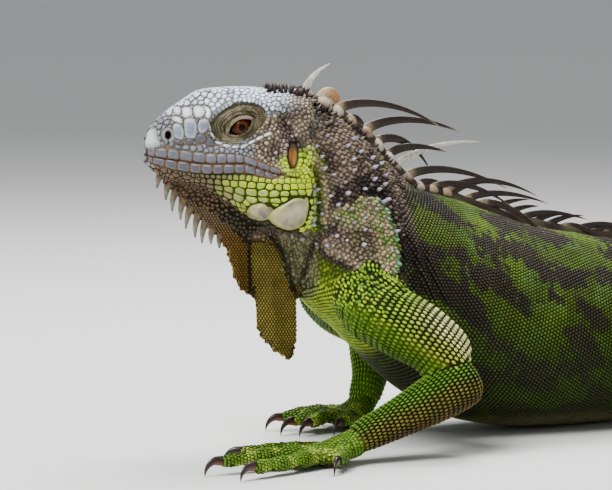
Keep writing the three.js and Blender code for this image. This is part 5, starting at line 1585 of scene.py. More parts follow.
def head_sites(skin):
    """Places, sizes and kinds of all the head's plates, from named rows and an even fill between them."""
    fixed, ghosts = [], []

    def put(x, z, size, kind, height=None):
        for sign in (1, -1):
            place, vertex = skin.from_side(x, z, sign)
            if place is not None:
                fixed.append((place, vertex, size, kind, height))

    def mask(x, z, size=0.4):
        for sign in (1, -1):
            place, vertex = skin.from_side(x, z, sign)
            if place is not None:
                ghosts.append((place, vertex, size))

    for number, (height, step, size, first, last) in enumerate(CHEEK_ROWS):
        x, k = first + 0.5 * step * (number % 2), 0
        while x < last:
            near = 0.62 + 0.38 * math.exp(-((x - 16) / 22) ** 2)
            put(x, float(height(x)) + 0.3 * (scatter(k + number * 31) - 0.5), size * near, "cheek")
            x += step * near * (0.9 + 0.2 * scatter(k + number * 17))
            k += 1
    for x, z, size in CHIN_PLATES:
        put(x, z, size, "chin")
    for _, outline in outlined_plates():
        for x, z in even(np.array(outline), max(6, int(len(outline) * 2.6)), closed=True):
            mask(x, z, 0.5)
    for x in np.arange(-4, 74, 0.9):
        mask(x, LIP_HIGH(x) - 0.1, 0.3)
    for x, z in even(curve(UNDER_EYE, np.linspace(0, 1, 200)), 36):
        mask(x, z, 0.75)
    for row, share in enumerate((0.15, 0.36, 0.45, 0.55, 0.66, 0.76, 0.86, 0.95)):
        angle = np.linspace(-np.pi, np.pi, 360)
        inner, outer = lid_reach(angle)
        reach = inner + (outer - inner) * (share + 0.05 * np.sin(angle * 5 + row))
        ring = LID_MIDDLE + np.column_stack([np.cos(angle), np.sin(angle)]) * reach[:, None]
        long = np.linalg.norm(np.diff(ring, axis=0), axis=1).sum()
        for k, (x, z) in enumerate(even(ring, int(long / 0.98))[:-1]):
            put(x + 0.3 * (scatter(k + 50 * row) - 0.5), z + 0.3 * (scatter(k + 70 * row) - 0.5),
                0.48, "lid", 0.3)
    for turn in np.arange(44) / 44 * 2 * np.pi:
        along = math.cos(turn) * (LID_HALF_LENGTH + 0.1)
        upper, lower = lid_edges(np.array([along * 0.985]))
        across = float((upper if math.sin(turn) > 0 else lower)[0])
        flat = LID_MIDDLE + LID_AXIS * along + LID_ACROSS * across
        out = unit(flat - LID_MIDDLE)
        put(*(flat + out * 0.65), 0.45, "lid_edge", 0.3)
        mask(*(flat - out * 0.5))
        mask(*(flat + out * 1.4))
    for turn in np.arange(30) / 30 * 2 * np.pi:
        c, s = math.cos(turn), math.sin(turn)
        mask(2.9 * c, 7.0 * s)
        mask(NOSTRIL_PLACE[0] + (NOSTRIL_RIM - 0.3) * c, NOSTRIL_PLACE[2] + (NOSTRIL_RIM - 0.1) * s)
    for outline in (SHIELD_OUTLINE, FRONT_SHIELD_OUTLINE):
        ring = smooth_ring(outline, 200, 44)
        for x, z in ring.mean(0) + (ring - ring.mean(0)) * 1.02:
            mask(x, z)

    local = in_head(skin.points)
    x, out, z = local[:, 0], np.abs(local[:, 1]), local[:, 2]
    along, across = lid_plane(local)
    upper, lower = lid_edges(along)
    in_slit = ((np.abs(along) < LID_HALF_LENGTH) & (across < upper + 0.3)
               & (across > lower - 0.3) & (out > 9))
    shut = in_slit | ((np.abs(z - LIP_HIGH(x)) < 0.6) & (x > -4) & (out > 2))
    shut |= (np.hypot(x / 3.0, z / 7.2) < 1) & (out > 15)
    shut |= (np.hypot(x - NOSTRIL_PLACE[0], z - NOSTRIL_PLACE[2]) < NOSTRIL_RIM) & (out > 5)
    shut |= orbit_share(local)[0] < 0.97
    flat = local[:, [0, 2]]
    for outline in [SHIELD_OUTLINE, FRONT_SHIELD_OUTLINE] + [outline for _, outline in outlined_plates()]:
        shut |= within(flat, np.array(outline)) & (out > 2.2)
    free = np.nonzero(skin.has["head"] & (past_nape(skin.points) > 0) & ~shut)[0]
    size = head_scale_size(local)
    fixed_places, fixed_vertices, fixed_sizes, fixed_kinds, raised = (list(values)
                                                                      for values in zip(*fixed))
    taken = {}

    def take(p, r):
        taken.setdefault(cell_of(p, 3.0), []).append((p, r))

    for vertex, r in zip(fixed_vertices, fixed_sizes):
        take(skin.apart[vertex], r * (1.22 if r > 1.5 else 1.0))
    chosen = []
    for vertex in shuffled(free):
        p, r = skin.apart[vertex], size[vertex]
        near = held_near(taken, cell_of(p, 3.0), 2)
        if all(gap_squared(p, q) >= (0.86 * (r + other)) ** 2 for q, other in near):
            take(p, r)
            chosen.append(int(vertex))
    places = skin.apart[fixed_vertices + chosen]
    held = len(fixed)
    for _ in range(3):
        nearest = nearest_index(places, skin.apart[free])
        count = np.bincount(nearest, minlength=len(places))
        mean = np.stack([np.bincount(nearest, skin.apart[free, k], len(places)) for k in range(3)], 1)
        move = count > 1
        move[:held] = False
        places[move] = mean[move] / count[move][:, None]
    vertices = np.concatenate([fixed_vertices, free[nearest_index(skin.apart[free], places[held:])]])
    places = skin.points[vertices]
    places[:held] = fixed_places
    radii = np.concatenate([fixed_sizes, size[vertices[held:]]])
    extra = len(chosen)
    return places, vertices, radii, fixed_kinds + ["fill"] * extra, raised + [None] * extra, ghosts


def head_scale_size(local):
    """Half size of the head's scales: large on the snout, small on crown and temples, tiny on the lids."""
    x, out, z = local[:, 0], np.abs(local[:, 1]), local[:, 2]
    top = smooth_step(17, 25, z)
    size = 1.2 + 0 * x
    size = size + (1.15 + 0.75 * smooth_step(34, 52, x) - 0.15 * smooth_step(10, -4, x) - size) * top
    size = np.where((x > 44) & (z < 18), 1.6, size)
    size = np.where((x < 20) & (z < 20) & (z > -9), 0.88, size)
    below = z < LIP_HIGH(x) - 4.2
    size = np.where(below, 1.2 + 0.6 * smooth_step(-9, -20, z) * smooth_step(44, 30, x), size)
    size = np.where(z < jaw_border(x), 0.85, size)
    ring = lid_distance(local)
    size = np.where((ring < 12) & (out > 9), 0.62 + 0.4 * smooth_step(9, 12, ring), size)
    size = np.where((x < -3) & (z > -8), 0.95, size)
    return np.where((x < 6) & (z < -3) & (z > -12.5), 0.78, size)


def lid_tints(local, points):
    """Dark and light tints of the lids: a pale band over the slit, painted shade in the creases and under
    the brow, a shaded hind corner; the dark tint is painted shade for the granules' rims.
    """
    share, across = orbit_share(local)
    above = smooth_step(-1.0, 1.5, across)
    n = noise(points, 2.6, 16)
    colour = mix(shade(146, 134, 106), shade(92, 84, 58), smooth_step(0.3, 0.7, n))
    colour = mix(colour, shade(176, 158, 130), bump(share, 0.13, 0.08) * above
                 * smooth_step(31, 26, local[:, 0]) * 0.85)
    colour = mix(colour, shade(84, 76, 50), smooth_step(21, 15, local[:, 0])
                 * smooth_step(0.2, 0.5, share) * 0.8)
    # Painted shade in the creases of the lids' folds.
    crease_shade = above * (bump(share, 0.27, 0.05) + 0.7 * bump(share, 0.47, 0.045)
                      + 0.6 * bump(share, 0.66, 0.045))
    crease_shade = crease_shade + (1 - above) * (0.7 * bump(share, 0.3, 0.06) + 0.6 * bump(share, 0.58, 0.06))
    colour = mix(colour, shade(46, 36, 26), 0.85 * np.clip(crease_shade, 0, 1))
    # Painted shadow under the brow.
    colour = mix(colour, shade(64, 56, 44), 0.7 * bump(share, 0.88, 0.1) * above)
    # A darker copy for the granules' rims, as painted shade, and a lighter one for their tops.
    return colour * 0.6, colour * 1.05


def head_plate_paint(places, radii, kinds):
    """Rim and middle colours, height and seam of every plate of the head, the colours with painted shade
    and highlight.
    """
    local = in_head(places)
    x, z = local[:, 0], local[:, 2]
    chance = chances(len(radii), 9.17, 431.7)
    base = head_colours(local, places)
    green = (base[:, 1] > 1.35 * base[:, 2]) & (base[:, 1] > 0.16)
    # Painted shade and highlight: a plate's rim takes a darker copy of the head's colour and its middle a
    # lighter one.
    rims, middles = base * 0.6, base * 1.16
    big = smooth_step(1.9, 2.9, radii)
    pearl = mix(shade(142, 140, 92), shade(156, 144, 130), smooth_step(-15, -21, z))
    rims = np.where(green[:, None], base * 1.05, rims)
    middles = np.where(green[:, None], mix(base * 1.1, pearl,
                                           big * (0.4 + 0.6 * smooth_step(-13, -20, z))), middles)
    kinds = np.array(kinds)
    temple = (x < 19) & (x > -2) & (z < 17) & (z > -8) & (kinds == "fill")
    pale = mix(tone.cream, tone.lavender, 0.4 * chance)
    middles = np.where((temple & (chance > 0.78))[:, None], pale * 0.62, middles)
    # Painted highlight from above: over half the crown's plates are lightened toward white, past their own
    # pale tone.
    top = smooth_step(19, 22, z) * smooth_step(-3, 12, x)
    middles = mix(middles, tone.pale_blue * 1.35, 0.6 * (chance > 0.4) * top)
    cheek = kinds == "cheek"
    plain = mix(shade(180, 188, 14), shade(132, 166, 10), chance)
    front = smooth_step(26, 42, x)
    fresh = mix(shade(184, 206, 14), shade(146, 186, 12), chance)
    drab = mix(fresh, shade(124, 118, 52), smooth_step(20, 30, x) * smooth_step(-12, -20, z))
    rims[cheek] = mix(drab, shade(104, 92, 50), front)[cheek]
    greyed = (smooth_step(1.2, 2.1, radii) * (0.6 + 0.4 * smooth_step(-15, -20, z))
              + 0.35 * smooth_step(-11.5, -9.5, z))
    deep = smooth_step(-15, -21, z) * smooth_step(4, 14, x)
    plain = mix(plain, shade(132, 126, 74), 0.5 * deep)
    first_row = smooth_step(-12.4, -10.8, z) * smooth_step(6, 16, x)
    plain = mix(plain, shade(118, 124, 62), 0.75 * first_row)
    rims = mix(rims, shade(78, 84, 34), first_row * cheek)
    middles[cheek] = mix(mix(plain, pearl * 0.7, 0.6 * greyed), shade(92, 78, 56), front)[cheek]
    # Painted shade under the jaw: the plates there are painted near black.
    under = (z < -30.5) & (x > -3.5) & ~np.isin(kinds, ("chin", "lid", "lid_edge"))
    rims[under], middles[under] = shade(40, 34, 20), shade(58, 50, 26)
    chin = kinds == "chin"
    rims[chin] = shade(100, 70, 40)
    middles[chin] = shade(72, 58, 50)
    lids = np.isin(kinds, ("lid", "lid_edge"))
    dark, light = lid_tints(local, places)
    rims[lids], middles[lids] = dark[lids], light[lids]
    heights = 0.30 + 0.20 * radii
    seams = 0.07 + 0.03 * radii + (0.10 + 0.04 * cheek) * (z < LIP_HIGH(x) - 4) * (kinds != "chin")
    return rims, middles, heights, seams


def head_coat(skin):
    """All the head's plates as one coat, the place of each, and the places with their skin points."""
    places, vertices, radii, kinds, raised, ghosts = head_sites(skin)
    ghost_places, ghost_vertices, ghost_sizes = (np.array(values) for values in zip(*ghosts))
    rims, middles, heights, seams = head_plate_paint(places, radii, kinds)
    heights = np.array([h if r is None else r for h, r in zip(heights, raised)])
    vary = 0.86 + 0.28 * chances(len(radii), 5.3, 713.3)[:, None]
    spare, blank = len(ghosts), np.zeros((len(ghosts), 3))
    local = in_head(places)
    stretch = np.where((local[:, 2] < LIP_HIGH(local[:, 0]) - 4) & (local[:, 0] > -9), 1.32, 1.0)
    cut = plates(skin, np.vstack([places, ghost_places]), np.concatenate([radii, ghost_sizes]),
                 np.concatenate([vertices, ghost_vertices]), np.concatenate([heights, np.zeros(spare)]),
                 np.vstack([rims * vary, blank]), np.vstack([middles * vary, blank]),
                 np.concatenate([seams, np.full(spare, NO_PLATE)]),
                 np.concatenate([stretch, np.ones(spare)]))
    shaped, roots = shaped_plates(skin)
    faces = cut.faces + [tuple(k + len(cut.points) for k in face) for face in shaped.faces]
    shaped = shaped._replace(owner=shaped.owner + len(places) + spare)
    coat = Coat(*(np.concatenate(pair) if pair[0] is not cut.faces else faces for pair in zip(cut, shaped)))
    rooted = list(zip(places, vertices)) + [(p, skin.near.find(Vector(p))[1]) for p in roots]
    return coat, np.vstack([places, ghost_places, roots]), rooted


# ---- crest, fringe, claws, shields, eyes -----------------------------------------------------------

def crest_line():
    """The line of the crest over the head, back and tail, with the distance along it."""
    frames = body_frames(1)
    tops = [on_head((1, 0, float(CROWN(1)) - 0.4))]
    tops += [frames["centre"][i] + frames["up"][i] * BODY[i, 4] for i in range(1, len(BODY))]
    tail = tail_frames(900)
    for distance in (80, 140, 220, 300, 380, 460, 540, 620):
        i = int(np.searchsorted(tail["at"], distance))
        tops.append(tail["centre"][i] + (0, 0, tail["top"][i]))
    dense = curve(tops, np.linspace(0, 1, 3000))
    along = np.concatenate([[0], np.cumsum(np.linalg.norm(np.diff(dense, axis=0), axis=1))])
    return dense, along


CREST_LINE, CREST_ALONG = crest_line()
CREST_SPANS = {"crest_neck": (5, 112), "crest_back": (112.5, 345), "crest_tail": (345.5, 700)}
BLADE_PITCH = {"crest_back": 9.2, "crest_tail": 20}
DROOPING_BEND = 96                 # degrees that a long drooping blade turns from root to tip
DROOPING_LEAN = 0.55               # how far such a blade falls to the left
CURL = 180                         # a blade that turns more than this is a curl
# Neck spikes: where each grows, length, angles at the root and at the tip, width at the root.
NECK_SPIKES = [
    (-7, 8, 70, 10, 3), (-1, 23, 106, 24, 4.6), (7, 20, 98, -150, 5.6), (14, 60, 34, -32, 4.8),
    (21, 16, 56, -80, 4.6),
    (30, 58, 40, -24, 5), (37, 49, 40, -54, 4.8), (44, 40, 42, -20, 5), (50, 70, 34, -6, 3.6),
    (57, 70, 27, -26, 4.6),
    (65, 34, 38, -44, 4.4), (74, 54, 32, -36, 4.2), (83, 66, 36, -26, 4.2),
]
back_spike_length = through((100, 42), (200, 34), (260, 28), (320, 20), (360, 14),
                            (450, 9), (600, 5), (700, 3))


def crest_place(distance):
    """A place on the crest's line and the way it runs there."""
    i = int(np.clip(np.searchsorted(CREST_ALONG, distance), 1, len(CREST_LINE) - 1))
    return CREST_LINE[i], unit(CREST_LINE[i] - CREST_LINE[i - 1])


def crest_spikes(span):
    """The blades of a span: distance along the crest, length, angles at root and tip, width at the root."""
    start, end = CREST_SPANS[span]
    if span == "crest_neck":
        half = CREST_ALONG < CREST_ALONG[-1] / 2
        return [(float(np.interp(x, CREST_LINE[half, 0], CREST_ALONG[half])), length, rise, fall, root)
                for x, length, rise, fall, root in NECK_SPIKES]
    pitch = BLADE_PITCH[span]
    spikes, at, i = [], start + pitch / 2, 0
    while at < end - 3:
        chance = scatter(i + 7)
        long = chance > 0.66
        length = float(back_spike_length(at)) * (1.05 + 0.35 * scatter(i + 31) if long
                                                 else 0.55 + 0.4 * chance)
        rise = (24 if long else 38) + 10 * scatter(i + 90)
        bend = 50 if long else 46
        if i % 6 == 2:
            length, rise, bend = float(back_spike_length(at)) * 1.5, 26, DROOPING_BEND
        spikes.append((at, length, rise, rise - bend, 4.2 - 1.2 * at / 700))
        at += pitch
        i += 1
    return spikes


def blade(base, level, length, rise, fall, root, thick, lean=0.0, points=10, steps=16, point=0.0):
    """Rings of a curved horn blade from root to tip. A blade that leans falls to its left."""
    across = unit(np.cross(level, HEAD_UP))
    rings, place = [], np.array(base, float)
    curls = rise - fall > CURL
    for t in np.linspace(0, 1, steps + 1):
        angle = math.radians(rise + (fall - rise) * (t if curls else math.sqrt(t)))
        forward = unit(level * math.cos(angle) + HEAD_UP * math.sin(angle) + across * lean * math.sqrt(t))
        face = unit(np.cross(forward, across))
        taper = (1 - (0.93 - point) * t ** (3 if curls else 1.25)) * (1 + 0.25 * max(0.0, 1 - t * 7))
        ring = [place + face * math.cos(a) * root / 2 * taper + across * math.sin(a) * thick / 2 * taper
                for a in np.arange(points) / points * 2 * math.pi]
        rings.append(ring)
        place = place + forward * length / steps
    return np.array(rings)


def bulb(base, ahead, up, half_long, half_wide, high):
    """A rounded fleshy scale at the root of a blade."""
    across = np.cross(up, ahead)
    rings = []
    for lift, size in ((-0.4, 1.0), (0.1, 1.06), (0.45, 0.9), (0.75, 0.62), (0.95, 0.3)):
        rings.append([base + up * high * lift + ahead * math.cos(a) * half_long * size
                      + across * math.sin(a) * half_wide * size for a in np.arange(9) / 9 * 2 * math.pi])
    return np.array(rings)


def painted_piece(name, parts, material, nodes=()):
    """Joins closed parts that each carry a colour for every point."""
    points, faces = joined([(verts, polys) for verts, polys, _ in parts])
    mesh = mesh_of(name, points, faces)
    paint(mesh, "tint", np.vstack([colour for _, _, colour in parts]))
    mark(mesh, "rise", np.ones(len(points)))
    fix_outward(mesh)
    return add_piece(name, mesh, material, nodes)


def fix_outward(mesh):
    """Turns all faces of closed shells outward."""
    work = bmesh.new()
    work.from_mesh(mesh)
    bmesh.ops.recalc_face_normals(work, faces=work.faces)
    work.to_mesh(mesh)
    work.free()


def ring_colours(rings, stops):
    """A colour for every point of a loft, by the share along it, with its two end points."""
    count, points = rings.shape[:2]
    share = np.linspace(0, 1, count)
    levels = np.array([s[0] for s in stops])
    table = np.array([s[1] for s in stops])
    colour = np.stack([np.interp(share, levels, table[:, k]) for k in range(3)], 1)
    return np.vstack([np.repeat(colour, points, axis=0), colour[:1], colour[-1:]])


RIDGE_SECTION = ((-1, -1.6), (-0.95, -0.4), (-0.7, 0.45), (-0.3, 0.9), (0.3, 0.9),
                 (0.7, 0.45), (0.95, -0.4), (1, -1.6))


def crest_ridge(span):
    """The low fleshy ridge that a span's blades stand on."""
    rings = []
    for at in np.arange(*CREST_SPANS[span], 2.5):
        place, ahead = crest_place(at)
        across = unit(np.cross(ahead, HEAD_UP))
        up = np.cross(across, ahead)
        half, rise = 3.4 - 1.8 * at / 1100, 3.6 - 2.6 * at / 1100
        rings.append([place + across * y * half + up * z * rise for y, z in RIDGE_SECTION])
    verts, faces = loft(np.array(rings))
    base = mix(tone.dark_brown, tone.earth, noise(verts, 4, 71))
    return verts, faces, mix(base, tone.olive, smooth_step(0.5, 0.8, noise(verts, 9, 72))) * 0.5


def blade_stops(span, i):
    """Colours along a blade: dark horn with a tan root and tip, but two pale blades and an orange curl."""
    brown, tan, pale = tone.horn, tone.horn_tip, shade(214, 206, 192)
    if span == "crest_tail":
        return [(0, brown), (0.5, brown), (1, tan)]
    if span == "crest_neck" and i in (1, 8):
        return [(0, pale * 0.8), (0.5, pale), (1, pale)]
    if span == "crest_neck" and i == 2:
        return [(0, pale * 0.8), (0.3, shade(196, 170, 138)), (0.6, shade(170, 118, 70)),
                (1, shade(196, 150, 104))]
    return [(0, tan * 0.8), (0.06, tan * 0.6), (0.13, brown), (0.7, brown * 0.75),
            (0.93, brown), (0.97, tan), (1, tan)]


def crest_parts(span):
    """A span's ridge, its blades, and the rounded scale at the root of each."""
    parts = [crest_ridge(span)]
    brown, tan, orange = tone.horn, tone.horn_tip, shade(170, 118, 70)
    on_neck = span == "crest_neck"
    for i, (at, length, rise, fall, root) in enumerate(crest_spikes(span)):
        place, ahead = crest_place(at)
        level = unit(ahead * (1, 1, 0))
        lean = (0.14 if i % 2 else -0.14) + 0.12 * (scatter(i + 200) - 0.5)
        if span == "crest_back" and rise - fall > 60:
            lean = DROOPING_LEAN
        rings = blade(place - ahead, level, length, rise, fall, root * 1.12, max(root * 0.36, 0.9), lean)
        verts, faces = loft(rings)
        chance = scatter(i + 300)
        colour = ring_colours(rings, blade_stops(span, i))
        front = np.concatenate([np.tile(np.arange(10) / 10 * 2 * np.pi, len(rings)), [0, 0]])
        # Painted highlight along each blade's front edge, tan to orange.
        edge = 0.3 if on_neck else 0.6
        colour = mix(colour, mix(tan, orange, chance), edge * smooth_step(0.8, 1.0, np.cos(front)))
        colour = colour * (0.75 + 0.5 * noise(verts * (0.35, 0.35, 1), 1.1, 61 + i % 5))[:, None]
        parts.append((verts, faces, np.clip(colour, 0, 1)))
        across = unit(np.cross(ahead, HEAD_UP))
        up = np.cross(across, ahead)
        long, wide, high = (root * share for share in ((0.95, 0.85, 0.8) if on_neck else (0.6, 0.55, 0.5)))
        knob = loft(bulb(place + up * 0.4, ahead, up, long, wide, high))
        light = mix(shade(204, 190, 166), shade(140, 114, 88), chance)
        if not on_neck:
            light = mix(light, brown, 0.8) * (1.0 if span == "crest_back" else 0.6)
        parts.append((*knob, np.tile(light, (len(knob[0]), 1))
                      * (0.7 + 0.5 * noise(knob[0], 1.5, 66))[:, None]))
    return parts


def claw_parts(line):
    """One claw rooted in its digit, hooking down to the floor, dark with a reddish underside."""
    _, knuckle, tip = (np.array(p, float) for p in line)
    level = unit((tip - knuckle) * (1, 1, 0))
    across = np.cross(level, HEAD_UP)
    start = tip + level * 0.55
    start[2] = tip[2] + 0.6
    stretch = (start[2] - 0.5) / 5.8
    steps, length, rise, bend, radius = 16, 11.0, 10.0, 98.0, 2.2
    place = start.copy()
    rings = []
    for extra in (-3.0, -1.5):
        rings.append((start + level * extra, level, radius * (1.0 if extra > -2 else 0.8)))
    for i in range(steps + 1):
        t = i / steps
        angle = math.radians(rise - bend * t)
        forward = unit(level * math.cos(angle) + HEAD_UP * math.sin(angle))
        rings.append((place.copy(), forward, radius * (1 - 0.92 * t ** 1.2)))
        mid = math.radians(rise - bend * (i + 0.5) / steps)
        place = place + level * (length / steps) * math.cos(mid)
        place[2] += (length / steps) * math.sin(mid) * stretch
    loops = []
    for centre, forward, size in rings:
        face = unit(np.cross(across, forward))
        loops.append([centre + across * math.cos(a) * size * 0.72 + face * math.sin(a) * size * 1.1
                      for a in np.arange(12) / 12 * 2 * math.pi])
    loops = np.array(loops)
    verts, faces = loft(loops)
    verts[:, 2] = np.maximum(verts[:, 2], 0.05)
    colour = np.tile(tone.claw, (len(verts), 1))
    middle_z = np.concatenate([np.repeat(loops.mean(1)[:, 2], 12),
                               [loops[0].mean(0)[2], loops[-1].mean(0)[2]]])
    colour = mix(colour, shade(120, 66, 44), smooth_step(-0.2, -1.6, verts[:, 2] - middle_z))
    return verts, faces, colour


def shield_parts(skin, outline, plate, sign, big):
    """A smooth domed jowl shield with a paler middle and a yellow-green edge, its rim down on the skin."""
    ring = smooth_ring(outline, 300, 56)
    middle = ring.mean(0)
    rim = []
    for x, z in ring:
        place, _ = skin.from_side(x, z, sign)
        rim.append(min(abs(in_head(place[None])[0, 1]) + 0.5 if place is not None else plate["y"],
                       plate["y"] + 0.6))
    rim = np.array(rim)
    top = plate["y"] + plate["deep"] * 0.86
    shares = (0.02, 0.2, 0.4, 0.58, 0.73, 0.85, 0.93, 0.98, 1.0, 1.0)
    rings = []
    for i, share in enumerate(shares):
        dome = math.sqrt(max(1 - min(share, 1.0) ** 2.2, 0.0))
        out = rim + (top - rim) * dome - (1.3 if i == len(shares) - 1 else 0)
        flat = middle + (ring - middle) * share
        rings.append(on_head(np.column_stack([flat[:, 0], sign * out, flat[:, 1]])))
    verts, faces = loft(np.array(rings))
    pearl, edge = (tone.pearl, shade(172, 180, 84)) if big else (tone.pearl * 0.9, shade(146, 142, 104))
    share = np.concatenate([np.repeat(shares, 56), [0.0, 1.0]])
    colour = mix(np.tile(pearl, (len(verts), 1)), edge,
                 smooth_step(0.70, 0.98, share + 0.1 * (noise(verts, 3, 82) - 0.5)))
    blush = noise(verts, 3.6, 81)
    colour = mix(colour, shade(170, 166, 98), 0.7 * smooth_step(0.30, 0.85,
                                                                share + 0.5 * (noise(verts, 5, 84) - 0.5)))
    colour = mix(colour, shade(100, 94, 100), 0.75 * smooth_step(0.42, 0.70, blush)
                 * smooth_step(0.9, 0.7, share))
    colour = mix(colour, shade(196, 188, 152), 0.5 * smooth_step(0.55, 0.8, noise(verts, 5.2, 83))
                 * (share < 0.9))
    return verts, faces, colour


def drum_parts(skin, sign):
    """An eardrum stretched across its opening, a little below the scales round it."""
    place, _ = skin.from_side(0, 0, sign)
    floor = abs(in_head(place[None])[0, 1])
    angle = np.arange(36) / 36 * 2 * np.pi
    rings = []
    for share, lift in ((0.02, 0.75), (0.3, 0.65), (0.55, 0.5), (0.75, 0.55), (0.9, 0.7),
                        (1.0, 0.75), (1.04, -0.5)):
        rings.append(on_head(np.column_stack([DRUM_HALF[0] * share * np.cos(angle),
                                              np.full(36, sign * (floor + lift)),
                                              DRUM_HALF[1] * share * np.sin(angle)])))
    verts, faces = loft(np.array(rings))
    local = in_head(verts)
    colour = mix(shade(176, 118, 48), shade(96, 50, 32), smooth_step(0.5, 4.8, local[:, 2]))
    colour = mix(colour, shade(92, 62, 34), 0.8 * bump(local[:, 0], 0.5 - 0.1 * local[:, 2], 0.9))
    streak = noise(verts * (1, 1, 0.3), 1.2, 91)
    colour = mix(colour, shade(104, 108, 44), 0.6 * smooth_step(0.4, 0.7, streak)
                 * smooth_step(1.0, -1.5, local[:, 0]))
    edge = np.hypot(local[:, 0] / DRUM_HALF[0], local[:, 2] / DRUM_HALF[1])
    return verts, faces, mix(colour, shade(44, 30, 22), smooth_step(0.55, 0.88, edge))


def nostril_parts(skin, sign):
    """The raised rim round a nostril and the hollow inside it, its depth painted near black as shade."""
    angle = np.arange(40) / 40 * 2 * np.pi
    surface = []
    for a in angle:
        x, z = NOSTRIL_PLACE[0] + NOSTRIL_RIM * math.cos(a), NOSTRIL_PLACE[2] + NOSTRIL_RIM * math.sin(a)
        place, _ = skin.from_side(x, z, sign)
        surface.append(abs(in_head(place[None])[0, 1]) if place is not None else 10.0)
    surface = np.array(surface)
    level = surface.mean()
    profile = ((1.0, -3.4, 0), (1.01, 0.0, 0), (0.93, 0.6, 0.25), (0.8, 0.95, 0.6),
               (0.66, 0.85, 0.9), (0.54, 0.35, 1),
               (0.47, -0.6, 1), (0.40, -1.6, 1), (0.2, -2.4, 1), (0.03, -2.6, 1))
    rings, shares = [], []
    for share, lift, toward in profile:
        wide, high = NOSTRIL_RIM * share * (1 - 0.22 * toward), NOSTRIL_RIM * share * (1 + 0.14 * toward)
        out = surface + (level - surface) * min(toward * 1.2, 1) + lift
        rings.append(on_head(np.column_stack([NOSTRIL_PLACE[0] + wide * np.cos(angle), sign * out,
                                              NOSTRIL_PLACE[2] + high * np.sin(angle)])))
        shares.append(np.full(40, share))
    verts, faces = loft(np.array(rings))
    share = np.concatenate([*shares, [1.0, 0.0]])
    colour = mix(np.tile(shade(92, 94, 96), (len(verts), 1)), shade(140, 144, 142), bump(share, 0.72, 0.2))
    colour = mix(colour, shade(80, 48, 34), smooth_step(0.58, 0.50, share))
    # Painted shade deep in the hollow.
    return verts, faces, mix(colour, shade(26, 16, 14), smooth_step(0.44, 0.36, share))


def eye_mesh(name, sign):
    """An eyeball in rings round the line of sight. Gaze is the angle from it as a share of a right angle,
    and spokes turn with the place round it, for streaks that run outward."""
    gaze = unit(np.array([-0.05, sign, 0.02]))
    first = unit(np.cross(gaze, (0.0, 0.0, 1.0)))
    second = np.cross(gaze, first)
    degrees = np.concatenate([np.linspace(1.5, 60, 40), np.linspace(65, 178, 16)])
    turn = np.arange(64) / 64 * 2 * np.pi
    upright = np.sqrt(np.cos(turn) ** 2 + (np.sin(turn) / 1.15) ** 2)
    rings, marks, spokes = [], [], []
    for d in degrees:
        a = math.radians(d)
        radius = EYE_RADIUS + 0.45 * float(smooth_step(46, 18, d))
        ring = math.cos(a) * gaze + math.sin(a) * (np.cos(turn)[:, None] * first
                                                   + np.sin(turn)[:, None] * second)
        rings.append(on_head(EYE_PLACE * (1, sign, 1) + ring * radius))
        marks.append(d / 90 * upright)
        spokes.append(np.column_stack([np.cos(turn) * 4, np.sin(turn) * 4, np.full(64, d / 90 * 1.5)]))
    verts, faces = loft(np.array(rings))
    mesh = mesh_of(name, verts, faces)
    fix_outward(mesh)
    mark(mesh, "gaze", np.concatenate([*marks, [0.0, 2.0]]))
    mark(mesh, "spokes", np.vstack([*spokes, [[0, 0, 0], [0, 0, 3]]]))
    return mesh


# ---- finishes ----------------------------------------------------------------------------------------

class Finish:
    """A material with short ways to add nodes. Patterns read Object coordinates or a piece's own marks."""

    def __init__(self, name, roughness, coat=0.0, specular=0.2):
        self.material = bpy.data.materials.new(name)
        self.material.use_nodes = True
        self.nodes = self.material.node_tree.nodes
        self.link = self.material.node_tree.links.new
        self.shader = self.nodes["Principled BSDF"]
        self.set("Roughness", roughness)
        self.set("Coat Weight", coat)
        self.set("Specular IOR Level", specular)
        self.place = self.nodes.new("ShaderNodeTexCoord").outputs["Object"]

    def set(self, socket, value):
        if isinstance(value, bpy.types.NodeSocket):
            self.link(value, self.shader.inputs[socket])
        else:
            self.shader.inputs[socket].default_value = value

    def mark(self, name, output="Fac"):
        node = self.nodes.new("ShaderNodeAttribute")
        node.attribute_name = name
        return node.outputs[output]

    def noise(self, size_mm, detail=3.0, rough=0.55, stretch=None, place=None):
        node = self.nodes.new("ShaderNodeTexNoise")
        node.inputs["Scale"].default_value = 1000 / size_mm if place is None else 1 / size_mm
        node.inputs["Detail"].default_value = detail
        node.inputs["Roughness"].default_value = rough
        source = self.place if place is None else place
        if stretch:
            mapping = self.nodes.new("ShaderNodeMapping")
            mapping.inputs["Scale"].default_value = stretch
            self.link(source, mapping.inputs["Vector"])
            source = mapping.outputs["Vector"]
        self.link(source, node.inputs["Vector"])
        return node.outputs["Fac"]

    def ramp(self, value, *stops):
        node = self.nodes.new("ShaderNodeValToRGB")
        elements = node.color_ramp.elements
        while len(elements) < len(stops):
            elements.new(0.5)
        for element, (at, colour) in zip(elements, stops):
            element.position = at
            rgb = (colour,) * 3 if np.isscalar(colour) else tuple(colour)
            element.color = (*rgb, 1)
        self.link(value, node.inputs["Fac"])
        return node.outputs["Color"]

    def blend(self, how, factor, a, b):
        node = self.nodes.new("ShaderNodeMix")
        node.data_type, node.blend_type = "RGBA", how
        for socket, value in ((node.inputs[0], factor), (node.inputs[6], a), (node.inputs[7], b)):
            if isinstance(value, bpy.types.NodeSocket):
                self.link(value, socket)
            else:
                socket.default_value = value if np.isscalar(value) else (*value, 1)
        return node.outputs[2]

    def bump(self, *layers):
        """Each layer is a height and its depth in millimetres."""
        normal = None
        for height, depth in layers:
            node = self.nodes.new("ShaderNodeBump")
            node.inputs["Strength"].default_value = 1.0
            node.inputs["Distance"].default_value = depth / 1000
            self.link(height, node.inputs["Height"])
            if normal is not None:
                self.link(normal, node.inputs["Normal"])
            normal = node.outputs["Normal"]
        self.set("Normal", normal)


